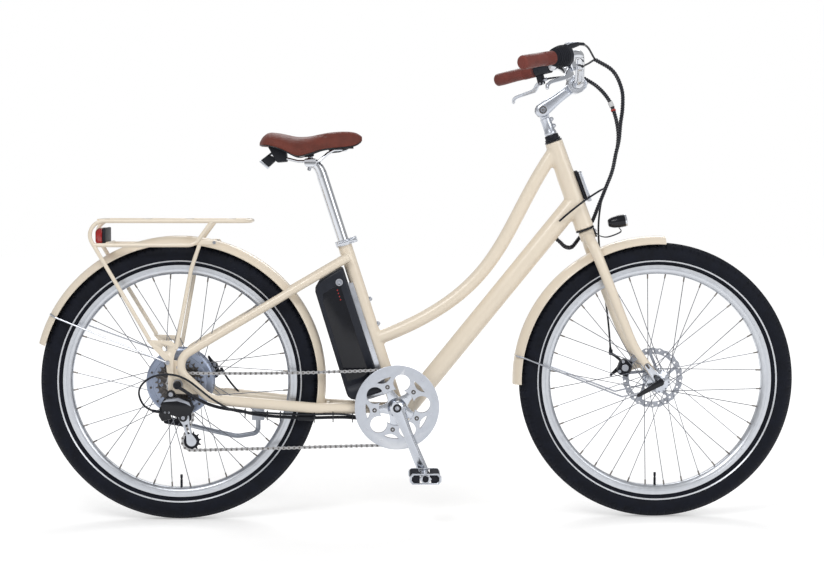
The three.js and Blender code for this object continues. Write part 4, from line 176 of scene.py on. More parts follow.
def turned(name, profile, start, axis, steps=48, angle=35):
    """A profile of places along an axis and radii, spun round that axis."""
    axis = axis.normalized()
    out = axis.orthogonal().normalized()
    piece = begin(name, bpy.ops.mesh.primitive_circle_add, vertices=len(profile), radius=1, fill_type="NOTHING")
    bpy.ops.object.mode_set(mode="EDIT")
    mesh = bmesh.from_edit_mesh(piece.data)
    mesh.verts.ensure_lookup_table()
    for vertex, (along, radius) in zip(mesh.verts, profile):
        vertex.co = (start + axis * along + out * radius) * MM
    bmesh.update_edit_mesh(piece.data)
    bpy.ops.mesh.select_all(action="SELECT")
    bpy.ops.mesh.spin(steps=steps, angle=2 * math.pi, center=start * MM, axis=axis)
    bpy.ops.mesh.select_all(action="SELECT")
    bpy.ops.mesh.remove_doubles(threshold=0.002 * MM)
    bpy.ops.mesh.select_all(action="SELECT")
    bpy.ops.mesh.normals_make_consistent(inside=False)
    bpy.ops.object.mode_set(mode="OBJECT")
    return smooth(piece, angle)


def pin(name, start, end, radius, edge=0.6, steps=24):
    """A round bar with softened ends."""
    length = (end - start).length
    edge = min(edge, radius / 2, length / 3)
    profile = [(0, 0), (0, radius - edge), (edge, radius), (length - edge, radius),
            (length, radius - edge), (length, 0)]
    return turned(name, profile, start, end - start, steps)


def hexagon_head(name, start, axis, across, height, socket=True):
    """A screw head: hexagonal, or round with a hexagonal socket."""
    axis = axis.normalized()
    out = axis.orthogonal().normalized()
    radius = across / math.sqrt(3)
    ring = [out.copy() for _ in range(6)]
    for k, spoke in enumerate(ring):
        spoke.rotate(Quaternion(axis, rad(60 * k)))
    if not socket:
        return slab(name, [start + spoke * radius for spoke in ring], axis * height, height / 8)
    edge = height / 5
    profile = [(0, 0), (0, across / 2), (height - edge, across / 2), (height, across / 2 - edge),
            (height, across * 0.26), (height * 0.45, across * 0.26), (height * 0.45, 0)]
    return turned(name, profile, start, axis, 24)


def between(a, b, c, d, t):
    """A share of the way from b to c, on the smooth line through all four."""
    return 0.5 * (2 * b + (c - a) * t + (2 * a - 5 * b + 4 * c - d) * t * t + (3 * b - a - 3 * c + d) * t * t * t)


def line_through(places, count):
    """Evenly spaced places on a smooth line through the given ones."""
    places = [Vector(place) for place in places]
    padded = [2 * places[0] - places[1], *places, 2 * places[-1] - places[-2]]
    fine = []
    for k in range(len(places) - 1):
        fine += [between(*padded[k:k + 4], step / 24) for step in range(24)]
    fine.append(places[-1])
    return evenly(fine, count)


def evenly(line, count, looped=False):
    """The same line with its places at even steps."""
    if looped:
        line = [*line, line[0]]
    reach = [0.0]
    for a, b in zip(line, line[1:]):
        reach.append(reach[-1] + (b - a).length)
    spots = []
    k = 0
    for step in range(count if looped else count + 1):
        goal = reach[-1] * step / count
        while k < len(line) - 2 and reach[k + 1] < goal:
            k += 1
        share = (goal - reach[k]) / max(reach[k + 1] - reach[k], 1e-9)
        spots.append(line[k].lerp(line[k + 1], share))
    return spots


def bent(corners, radii, step=6):
    """Corner places with each inner corner rounded by an arc."""
    corners = [Vector(corner) for corner in corners]
    line = [corners[0]]
    for before, here, after, radius in zip(corners, corners[1:], corners[2:], radii):
        back, ahead = (before - here).normalized(), (after - here).normalized()
        half = back.angle(ahead) / 2
        room = min((before - here).length, (after - here).length) / 2
        reach = min(radius / math.tan(half), room)
        size = reach * math.tan(half)
        middle = here + (back + ahead).normalized() * size / math.sin(half)
        first, last = here + back * reach - middle, here + ahead * reach - middle
        turn = first.angle(last)
        parts = max(2, math.ceil(turn / rad(step)))
        axis = first.cross(last).normalized()
        for k in range(parts + 1):
            arm = first.copy()
            arm.rotate(Quaternion(axis, turn * k / parts))
            line.append(middle + arm)
    line.append(corners[-1])
    return line


def tube(name, line, radius, sides=20, looped=False, shares=None, angle=35):
    """A round tube along a line of places; shares scale its radius from place to place."""
    piece = begin(name, bpy.ops.curve.primitive_bezier_curve_add)
    curve = piece.data
    curve.splines.clear()
    spline = curve.splines.new("POLY")
    spline.points.add(len(line) - 1)
    for k, (point, place) in enumerate(zip(spline.points, line)):
        point.co = (*(Vector(place) * MM), 1)
        point.radius = 1 if shares is None else shares(k / (len(line) - 1))
    spline.use_cyclic_u = looped
    curve.dimensions = "3D"
    curve.bevel_depth = radius * MM
    curve.bevel_resolution = max(0, sides // 4 - 1)
    curve.use_fill_caps = not looped
    bpy.ops.object.convert(target="MESH")
    piece = bpy.context.object
    piece.name = piece.data.name = name
    settle(piece)
    return smooth(piece, angle)


def joined(name, pieces):
    """Several pieces as one, under a new name."""
    bpy.ops.object.select_all(action="DESELECT")
    for piece in pieces:
        piece.select_set(True)
    bpy.context.view_layer.objects.active = pieces[0]
    if len(pieces) > 1:
        bpy.ops.object.join()
    piece = bpy.context.object
    piece.name = piece.data.name = name
    return piece


def melted(piece, voxel, rounds):
    """Joined tubes become one skin, and its inner corners fill like a weld."""
    only(piece)
    remesh = piece.modifiers.new("weld", "REMESH")
    remesh.mode = "VOXEL"
    remesh.voxel_size = voxel * MM
    remesh.use_smooth_shade = True
    bpy.ops.object.modifier_apply(modifier=remesh.name)
    even = piece.modifiers.new("fillet", "SMOOTH")
    even.factor = 0.5
    even.iterations = rounds
    bpy.ops.object.modifier_apply(modifier=even.name)
    return piece


def cut(piece, *tools):
    """Takes the tools' forms out of a piece, and the tools out of the scene."""
    for tool in tools:
        only(piece)
        opening = piece.modifiers.new("opening", "BOOLEAN")
        opening.operation = "DIFFERENCE"
        opening.solver = "EXACT"
        opening.object = tool
        bpy.ops.object.modifier_apply(modifier=opening.name)
        bpy.data.objects.remove(tool)
    return piece


def flat_sided(piece):
    """Leaves the sides of a plate without rounding in their shade."""
    for face in piece.data.polygons:
        if abs(face.normal.y) > 0.99:
            face.use_smooth = False
    return piece


def copied(piece, name, place=Matrix.Identity(4)):
    """A copy with its own mesh, set elsewhere; a mirroring place turns its faces back."""
    twin = piece.copy()
    twin.data = piece.data.copy()
    twin.name = twin.data.name = name
    bpy.context.scene.collection.objects.link(twin)
    twin.data.transform(place)
    if place.determinant() < 0:
        twin.data.flip_normals()
    return twin


MIRROR = Matrix.Scale(-1, 4, Vector((0, 1, 0)))


def about_y(x, z, angle):
    """A turn in the bicycle's plane about a place, anticlockwise as seen from the right."""
    middle = Matrix.Translation(Vector((x, 0, z)) * MM)
    return middle @ Matrix.Rotation(-rad(angle), 4, "Y") @ middle.inverted()


def refined(node, bevel, segments=2, angle=35):
    """A cleaned copy of a solid with softened edges."""
    piece = copied(frame["nodes"][node], node + "_shown")
    piece.parent = None
    for key in [key for key in piece.keys() if key.startswith("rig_")]:
        del piece[key]
    settle(piece, 0.01)
    only(piece)
    bpy.ops.object.mode_set(mode="EDIT")
    bpy.ops.mesh.select_all(action="SELECT")
    bpy.ops.mesh.dissolve_limited(angle_limit=rad(1))
    bpy.ops.object.mode_set(mode="OBJECT")
    return soften(piece, bevel, segments, angle)


def place(piece, body, material, slot, *nodes):
    """Gives a finished piece its body, finish and the solids that it stands for.

    A pair of bodies leaves the piece unattached, with its place baked into its mesh.
    """
    piece.data.materials.clear()
    piece.data.materials.append(material)
    for face in piece.data.polygons:
        face.material_index = 0
    if isinstance(body, tuple):
        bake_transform(piece)
    else:
        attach(piece, body)
    if nodes:
        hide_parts(*nodes)
    return piece


# Finishes

def finish_of(name, colour, rough, metal=0.0, tone=0.06, scale=40, grain=0.0, grain_scale=900, stretch=(1, 1, 1),
        rough_swing=0.08, coat=0.0, wear_and_highlight=0.0, wear_and_highlight_colour=None, sheen=0.0, mirror=0.5):
    """A shader whose colour drifts over the surface, with its grain, gloss, and edges painted lighter: partly wear,
    partly painted highlight.
    """
    material = bpy.data.materials.new(name)
    material.use_nodes = True
    tree = material.node_tree
    nodes, links = tree.nodes, tree.links
    shader = nodes["Principled BSDF"]
    shader.inputs["Metallic"].default_value = metal
    shader.inputs["Coat Weight"].default_value = coat
    shader.inputs["Coat Roughness"].default_value = 0.08
    shader.inputs["Sheen Weight"].default_value = sheen
    shader.inputs["Specular IOR Level"].default_value = mirror
    where = nodes.new("ShaderNodeTexCoord")
    mapping = nodes.new("ShaderNodeMapping")
    mapping.inputs["Scale"].default_value = stretch
    links.new(where.outputs["Object"], mapping.inputs["Vector"])
    drift = nodes.new("ShaderNodeTexNoise")
    drift.inputs["Scale"].default_value = scale
    drift.inputs["Detail"].default_value = 5
    links.new(mapping.outputs["Vector"], drift.inputs["Vector"])
    ramp = nodes.new("ShaderNodeValToRGB")
    low, high = ramp.color_ramp.elements
    low.position, high.position = 0.3, 0.7
    low.color = (*[c * (1 - tone) for c in colour], 1)
    high.color = (*[min(1, c * (1 + tone)) for c in colour], 1)
    links.new(drift.outputs["Fac"], ramp.inputs["Fac"])
    shade = ramp.outputs["Color"]
    # Edges found by pointiness are painted lighter: partly worn edges, partly painted highlights that stand for light
    # catching on edges.
    if wear_and_highlight:
        geometry = nodes.new("ShaderNodeNewGeometry")
        edge = nodes.new("ShaderNodeMapRange")
        edge.inputs["From Min"].default_value = 0.52
        edge.inputs["From Max"].default_value = 0.62
        edge.inputs["To Max"].default_value = wear_and_highlight
        links.new(geometry.outputs["Pointiness"], edge.inputs["Value"])
        worn_and_lit = nodes.new("ShaderNodeMix")
        worn_and_lit.data_type = "RGBA"
        for socket in worn_and_lit.inputs:
            if socket.name == "B" and socket.type == "RGBA":
                socket.default_value = (*(wear_and_highlight_colour or colour), 1)
            if socket.name == "A" and socket.type == "RGBA":
                links.new(shade, socket)
        links.new(edge.outputs["Result"], worn_and_lit.inputs["Factor"])
        shade = [socket for socket in worn_and_lit.outputs if socket.type == "RGBA"][0]
    links.new(shade, shader.inputs["Base Color"])
    gloss = nodes.new("ShaderNodeMapRange")
    gloss.inputs["To Min"].default_value = max(0.02, rough - rough_swing)
    gloss.inputs["To Max"].default_value = min(1, rough + rough_swing)
    links.new(drift.outputs["Fac"], gloss.inputs["Value"])
    links.new(gloss.outputs["Result"], shader.inputs["Roughness"])
    if grain:
        fine = nodes.new("ShaderNodeTexNoise")
        fine.inputs["Scale"].default_value = grain_scale
        fine.inputs["Detail"].default_value = 3
        links.new(mapping.outputs["Vector"], fine.inputs["Vector"])
        bump = nodes.new("ShaderNodeBump")
        bump.inputs["Strength"].default_value = grain
        bump.inputs["Distance"].default_value = 0.0004
        links.new(fine.outputs["Fac"], bump.inputs["Height"])
        links.new(bump.outputs["Normal"], shader.inputs["Normal"])
    return material


def leather_of(name, colour, cell):
    """Grained leather: small cells between creases, over slow drifts of tone."""
    # The leather's lighter edges are partly wear and partly painted highlight.
    material = finish_of(name, colour, 0.52, tone=0.2, scale=30, rough_swing=0.12, sheen=0.06, wear_and_highlight=0.5,
            wear_and_highlight_colour=tuple(min(1, c * 1.9) for c in colour), mirror=0.28)
    nodes, links = material.node_tree.nodes, material.node_tree.links
    where = nodes["Texture Coordinate"]
    cells = nodes.new("ShaderNodeTexVoronoi")
    cells.feature = "DISTANCE_TO_EDGE"
    cells.inputs["Scale"].default_value = cell
    links.new(where.outputs["Object"], cells.inputs["Vector"])
    crease = nodes.new("ShaderNodeMapRange")
    crease.inputs["From Max"].default_value = 0.12
    links.new(cells.outputs["Distance"], crease.inputs["Value"])
    bump = nodes.new("ShaderNodeBump")
    bump.inputs["Strength"].default_value = 0.35
    bump.inputs["Distance"].default_value = 0.0005
    links.new(crease.outputs["Result"], bump.inputs["Height"])
    links.new(bump.outputs["Normal"], nodes["Principled BSDF"].inputs["Normal"])
    return material


# Each finish's edge colour is lighter than its own colour: partly wear, partly painted highlight.
cream = finish_of("cream_paint", (0.845, 0.745, 0.605), 0.3, tone=0.02, scale=9, grain=0.05, grain_scale=600,
        coat=0.35, rough_swing=0.04, wear_and_highlight=0.25, wear_and_highlight_colour=(0.88, 0.8, 0.68))
silver = finish_of("satin_aluminium", (0.53, 0.56, 0.62), 0.3, 1, tone=0.06, scale=60, grain=0.08, grain_scale=1800,
        stretch=(1, 4, 1), wear_and_highlight=0.5, wear_and_highlight_colour=(0.8, 0.81, 0.84))
rim_metal = finish_of("rim_aluminium", (0.6, 0.625, 0.67), 0.32, 1, tone=0.06, scale=60, grain=0.08, grain_scale=1800,
        wear_and_highlight=0.4, wear_and_highlight_colour=(0.8, 0.81, 0.84))
polished = finish_of("polished_aluminium", (0.56, 0.59, 0.65), 0.2, 1, tone=0.05, scale=45, rough_swing=0.05,
        wear_and_highlight=0.6, wear_and_highlight_colour=(0.85, 0.86, 0.88))
chrome = finish_of("chrome_plate", (0.62, 0.64, 0.68), 0.1, 1, tone=0.03, scale=30, rough_swing=0.03)
cast_metal = finish_of("cast_aluminium", (0.27, 0.295, 0.345), 0.36, 1, tone=0.08, scale=70, grain=0.15,
        grain_scale=1300, wear_and_highlight=0.6, wear_and_highlight_colour=(0.6, 0.62, 0.66))
steel = finish_of("brushed_steel", (0.36, 0.38, 0.43), 0.32, 1, tone=0.1, scale=90, grain=0.12, grain_scale=2200,
        wear_and_highlight=0.5, wear_and_highlight_colour=(0.65, 0.66, 0.69))
dark_steel = finish_of("oiled_steel", (0.075, 0.07, 0.07), 0.4, 1, tone=0.3, scale=260, grain=0.1, wear_and_highlight=0.5,
        wear_and_highlight_colour=(0.34, 0.31, 0.28))
spoke_steel = finish_of("drawn_wire", (0.21, 0.22, 0.25), 0.28, 1, tone=0.1, scale=120)
chain_plate = finish_of("chain_plate", (0.42, 0.42, 0.43), 0.3, 1, tone=0.2, scale=300)
motor_metal = finish_of("motor_shell", (0.3, 0.345, 0.45), 0.36, 1, tone=0.05, scale=70, grain=0.1, grain_scale=1500,
        wear_and_highlight=0.7, wear_and_highlight_colour=(0.62, 0.66, 0.74))
black_plastic = finish_of("black_plastic", (0.007, 0.008, 0.013), 0.46, tone=0.25, scale=60, grain=0.18,
        grain_scale=2400, wear_and_highlight=0.3, wear_and_highlight_colour=(0.045, 0.05, 0.065), mirror=0.24)
battery_shell = finish_of("battery_shell", (0.011, 0.0135, 0.021), 0.42, tone=0.18, scale=40, grain=0.22,
        grain_scale=2400, wear_and_highlight=0.4, wear_and_highlight_colour=(0.05, 0.056, 0.075), mirror=0.26)
gloss_black = finish_of("gloss_black", (0.005, 0.006, 0.01), 0.2, tone=0.2, scale=50,
        rough_swing=0.05, coat=0.12, mirror=0.3)
rubber = finish_of("black_rubber", (0.009, 0.01, 0.015), 0.7, tone=0.25, scale=80, grain=0.3, grain_scale=1400,
        wear_and_highlight=0.35, wear_and_highlight_colour=(0.045, 0.048, 0.06), mirror=0.2)
tyre_rubber = finish_of("tyre_rubber", (0.006, 0.0075, 0.0135), 0.66, tone=0.3, scale=50, grain=0.35, grain_scale=900,
        wear_and_highlight=0.4, wear_and_highlight_colour=(0.04, 0.045, 0.06), mirror=0.16)
reflex = finish_of("reflective_band", (0.72, 0.74, 0.78), 0.3, 0.4, tone=0.06, scale=120, grain=0.1)
leather = leather_of("brown_leather", (0.15, 0.034, 0.022), 620)
grip_leather = leather_of("grip_leather", (0.17, 0.04, 0.03), 420)
stitch = finish_of("stitching", (0.035, 0.012, 0.01), 0.7, tone=0.2, scale=900)
red_lens = finish_of("red_lens", (0.36, 0.008, 0.008), 0.12, tone=0.12, scale=220, coat=0.5)
clear_lens = finish_of("lamp_glass", (0.55, 0.58, 0.62), 0.05, 0.1, tone=0.08, scale=300, coat=0.8)
wrap_plastic = finish_of("spiral_wrap", (0.02, 0.022, 0.03), 0.25, tone=0.2, scale=200, mirror=0.7)
sleeve_red = finish_of("red_sleeve", (0.42, 0.03, 0.02), 0.4, tone=0.1, scale=300)
sleeve_white = finish_of("white_sleeve", (0.72, 0.72, 0.72), 0.4, tone=0.05, scale=300)

# Camera, floor and light

camera = bpy.data.objects.new("camera", bpy.data.cameras.new("camera"))
bpy.context.scene.collection.objects.link(camera)
camera.data.lens = 73.81
camera.data.sensor_width = 36
camera.matrix_world = (Matrix.Translation((-0.1707, -4.1452, 0.8186)) @ Matrix.Rotation(rad(-2.098), 4, "Z")
        @ Matrix.Rotation(rad(90 - 3.224), 4, "X") @ Matrix.Rotation(rad(0.09), 4, "Z"))
bpy.context.scene.camera = camera


def seen_as_white(name, colour, lift, far_lift):
    """A surface that takes shadows but is seen, straight or in a gloss, near white."""
    material = bpy.data.materials.new(name)
    material.use_nodes = True
    nodes, links = material.node_tree.nodes, material.node_tree.links
    shader = nodes["Principled BSDF"]
    shader.inputs["Base Color"].default_value = (*colour, 1)
    shader.inputs["Roughness"].default_value = 0.9
    shader.inputs["Emission Color"].default_value = (1, 1, 1, 1)
    path = nodes.new("ShaderNodeLightPath")
    either = nodes.new("ShaderNodeMath")
    either.operation = "MAXIMUM"
    links.new(path.outputs["Is Camera Ray"], either.inputs[0])
    links.new(path.outputs["Is Glossy Ray"], either.inputs[1])
    where = nodes.new("ShaderNodeTexCoord")
    reach = nodes.new("ShaderNodeVectorMath")
    reach.operation = "LENGTH"
    links.new(where.outputs["Object"], reach.inputs[0])
    # Painted light: the floor's glow grows with distance from the middle. It is weaker round the bicycle, so that its
    # shadow shows, and stronger far off, so that the floor fades to white.
    far = nodes.new("ShaderNodeMapRange")
    far.inputs["From Min"].default_value = 0.9
    far.inputs["From Max"].default_value = 4.5
    far.inputs["To Min"].default_value = lift
    far.inputs["To Max"].default_value = far_lift
    links.new(reach.outputs["Value"], far.inputs["Value"])
    strength = nodes.new("ShaderNodeMath")
    strength.operation = "MULTIPLY"
    links.new(far.outputs["Result"], strength.inputs[1])
    links.new(either.outputs[0], strength.inputs[0])
    links.new(strength.outputs[0], shader.inputs["Emission Strength"])
    return material


floor = begin("floor", bpy.ops.mesh.primitive_plane_add, size=30, location=(0, 0, -0.0005))
floor.data.materials.append(seen_as_white("pale_floor", (0.82, 0.82, 0.82), 0.36, 0.62))

world = bpy.data.worlds.new("studio") if bpy.context.scene.world is None else bpy.context.scene.world
bpy.context.scene.world = world
world.use_nodes = True
tree = world.node_tree
backdrop = tree.nodes["Background"]
backdrop.inputs["Color"].default_value = (1, 1, 1, 1)
path = tree.nodes.new("ShaderNodeLightPath")
level = tree.nodes.new("ShaderNodeMapRange")
level.inputs["To Min"].default_value = 0.5
level.inputs["To Max"].default_value = 1.0
tree.links.new(path.outputs["Is Camera Ray"], level.inputs["Value"])
tree.links.new(level.outputs["Result"], backdrop.inputs["Strength"])


def lamp(name, where, aim, size, power):
    """A soft rectangular light at a place, turned towards another."""
    light = bpy.data.lights.new(name, "AREA")
    light.energy = power
    light.shape = "RECTANGLE"
    light.size, light.size_y = size
    lamp_object = bpy.data.objects.new(name, light)
    bpy.context.scene.collection.objects.link(lamp_object)
    lamp_object.location = where
    lamp_object.rotation_euler = (Vector(aim) - Vector(where)).to_track_quat("-Z", "Y").to_euler()


lamp("key_light", (-1.6, -3.2, 3.6), (0, 0, 0.6), (2.4, 1.6), 70)
lamp("fill_light", (2.8, -2.6, 2.2), (0.2, 0, 0.6), (2.0, 2.0), 36)
lamp("back_light", (0.4, 3.2, 3.0), (0, 0, 0.6), (3.0, 1.4), 50)
bpy.context.scene.view_settings.view_transform = "Standard"

# Reference places, as the solids have them

ACROSS = Vector((0, 1, 0))
FRONT, REAR, BRACKET = Vector((586, 0, 340)), Vector((-586, 0, 340)), Vector((-57, 0, 279.5))
HEAD_ANGLE, SEAT_ANGLE = rad(69.8), rad(72.1)
HEAD_UP = Vector((-math.cos(HEAD_ANGLE), 0, math.sin(HEAD_ANGLE)))
HEAD_AHEAD = Vector((HEAD_UP.z, 0, -HEAD_UP.x))
FORK_LONG, FORK_OFFSET = 409, 39
HEAD_FOOT = FRONT + HEAD_UP * FORK_LONG - HEAD_AHEAD * FORK_OFFSET
SEAT_UP = Vector((-math.cos(SEAT_ANGLE), 0, math.sin(SEAT_ANGLE)))
SEAT_AHEAD = Vector((SEAT_UP.z, 0, -SEAT_UP.x))
FENDER_RADIUS = 356.5


def on_head(up, ahead=0.0, side=0.0):
    """A place by the head tube, measured up its line from its foot."""
    return HEAD_FOOT + HEAD_UP * up + HEAD_AHEAD * ahead + ACROSS * side


def on_seat(up, ahead=0.0, side=0.0):
    """A place by the seat tube, measured up its line from the bottom bracket."""
    return BRACKET + SEAT_UP * up + SEAT_AHEAD * ahead + ACROSS * side


def flip(place):
    """The same place on the other side."""
    return Vector((place.x, -place.y, place.z))


def spin_flat(points, angle, x=0.0, z=0.0):
    """Points of X and Z turned anticlockwise, as seen from the right, and moved."""
    c, s = math.cos(rad(angle)), math.sin(rad(angle))
    return [(x + c * a - s * b, z + s * a + c * b) for a, b in points]


def arc(x, z, radius, start, end, parts=10):
    """Points of X and Z on an arc, with its angles in degrees."""
    angles = [rad(start + (end - start) * k / parts) for k in range(parts + 1)]
    return [(x + radius * math.cos(angle), z + radius * math.sin(angle)) for angle in angles]


def moved(points, centre):
    """Points of X and Z that were measured from a centre."""
    return [(centre.x + x, centre.z + z) for x, z in points]


def around(centre, radius, angle, y=0.0):
    """A place on a circle in the bicycle's plane, moved across by y."""
    return centre + Vector((radius * math.cos(angle), y, radius * math.sin(angle)))


def both_sides(piece):
    return [piece, copied(piece, piece.name + "_left", MIRROR)]


# Frame

def bezier(a, b, c, d, parts):
    spots = []
    for k in range(parts + 1):
        t = k / parts
        spots.append(a * (1 - t) ** 3 + b * 3 * t * (1 - t) ** 2 + c * 3 * t * t * (1 - t) + d * t ** 3)
    return spots


def heading(angle):
    """A forward way in the bicycle's plane, raised by an angle."""
    return Vector((math.cos(rad(angle)), 0, math.sin(rad(angle))))


stay_top = on_seat(384, 0, 25)
stay_elbow = REAR + Vector((-17, 78, 52))
stay_lower = REAR + Vector((77, 78, -36))
stay_slope = (stay_top.z - stay_elbow.z) / (stay_top.x - stay_elbow.x)
stay_bend = Vector((stay_top.x - 95, 48, stay_top.z - stay_slope * 95))
stay_shell = Vector((BRACKET.x, 24, 271.5))
stay_yoke = Vector((BRACKET.x - 100, 30.5, 273.5))
stay_tyre = Vector((-254, 48, 277.5))


def make_frame():
    tubes = []
    low, high = 4.3, 230.7
    tubes.append(turned("head_tube", [(low, 0), (low, 23.2), (low + 1, 23.6), (12, 23.6), (15, 22.9), (140, 22.9),
            (156, 22), (216, 22), (220, 22.0), (high, 22.0), (high, 0)], HEAD_FOOT, HEAD_UP, 56))
    seat, head = on_seat(170), on_head(213)
    top_line = bezier(seat, seat + heading(20.2) * 348, head - heading(54.9) * 242, head, 70)
    tubes.append(tube("top_tube", top_line, 17, 32))
    down_head = on_head(75)
    to_bracket = BRACKET - down_head
    swing = math.asin(24.3 / to_bracket.length)
    way = to_bracket.normalized()
    way.rotate(Quaternion(ACROSS, -swing))
    tubes.append(pin("down_tube", down_head, down_head + way * (to_bracket.length * math.cos(swing) + 12), 24, 1, 48))
    tubes.append(pin("seat_tube", on_seat(0), on_seat(425), 17.45, 0.4, 40))
    tubes.append(pin("shell_tube", BRACKET - ACROSS * 36.5, BRACKET + ACROSS * 36.5, 20.5, 0.5, 48))
    loop = tube("stay_loop", bent([stay_top, stay_bend, stay_elbow, stay_lower, stay_tyre], [44, 38, 60]), 11, 28)
    start = stay_lower.lerp(stay_tyre, 27 / (stay_tyre - stay_lower).length)
    chainstay = tube("chainstay", bent([start, stay_tyre, stay_yoke], [60]), 13.5, 28)
    yoke_start = stay_yoke.lerp(stay_tyre, 13.5 / (stay_tyre - stay_yoke).length)
    yoke = tube("yoke", bent([yoke_start, stay_yoke, stay_shell], [60]), 11, 28)
    for side in (loop, chainstay, yoke):
        tubes += both_sides(side)
    reach = FENDER_RADIUS + 7.3 / math.cos(math.pi / 6)
    low_x = REAR.x + math.sqrt(reach ** 2 - (stay_tyre.z - REAR.z) ** 2)
    tubes.append(pin("low_bridge", Vector((low_x, -44, stay_tyre.z)), Vector((low_x, 44, stay_tyre.z)), 7))
    run = stay_elbow - stay_bend
    run.y = 0
    run.normalize()
    from_axle = Vector((stay_bend.x, 0, stay_bend.z)) - REAR
    along = -from_axle.dot(run) - math.sqrt(from_axle.dot(run) ** 2 - from_axle.length_squared + reach ** 2)
    high_spot = REAR + from_axle + run * along
    tubes.append(pin("high_bridge", high_spot - ACROSS * 46, high_spot + ACROSS * 46, 7))
    body = melted(joined("welded_tubes", tubes), 2.6, 5)
    cut(body, pin("head_bore", on_head(-2), on_head(237), 17, 0, 40),
            pin("seat_bore", on_seat(22), on_seat(427), 14, 0, 40),
            pin("shell_bore", BRACKET - ACROSS * 40, BRACKET + ACROSS * 40, 17, 0, 40))
    place(body, "bike", cream, "cream_paint", "frame")
    plate_corners = [(-610, 316), (-562, 316), (stay_lower.x - 24, stay_lower.z + 11),
            (stay_elbow.x + 35, stay_elbow.z - 35), (stay_elbow.x + 35, stay_elbow.z),
            (stay_elbow.x - 11, stay_elbow.z + 11), (-610, 364)]
    plate = side_slab("dropout_plate", plate_corners, 67.5, 73.5, 1.2)
    plates = both_sides(cut(plate, pin("axle_slot", REAR + ACROSS * 60, REAR + ACROSS * 80, 6.3, 0)))
    tab_shares = [(1.55, 0.5), (1.78, 0.5), (1.78, -1.12), (1.5, -1.3), (0.95, -0.35), (1.25, -0.12)]
    tab = side_slab("caliper_tab", spin_flat([(a * 40, b * 40) for a, b in tab_shares], 16,
            REAR.x, REAR.z), 63.3, 72, 1)
    place(joined("dropouts", [*plates, tab]), "bike", cream, "cream_paint")
    screws = []
    for height in (205, 269):
        screws.append(turned("boss", [(16, 0), (16, 6.5), (20, 5.5), (21.5, 5.5), (21.5, 0)],
                on_seat(height), SEAT_AHEAD, 24))
        screws.append(hexagon_head("boss_screw", on_seat(height, 21.5), SEAT_AHEAD, 7, 2.6))
    for share in (0.36, 0.4):
        top = top_line[round(len(top_line) * share)]
        screws.append(hexagon_head("guide_screw", top - Vector((0, 0, 16)), Vector((0.3, 0, -1)), 6, 2.4))
    place(joined("bottle_boss_screws", screws), "bike", steel, "steel")


make_frame()


# Fork and headset

HEADSET_BORE = 14.4


def fork_line():
    """The middle line of the fork's left blade, from the crown to the axle."""
    shares = [(0.03, 0, 0.15), (0.07, 0, 0.6), (0.13, 0.02, 0.96), (0.35, 0.09, 1), (0.57, 0.14, 1), (0.75, 0.26, 1),
            (0.885, 0.62, 1), (0.965, 0.88, 1)]
    return line_through([on_head(-down * FORK_LONG, ahead * FORK_OFFSET, side * (50 + down * 11))
            for down, ahead, side in shares], 48)


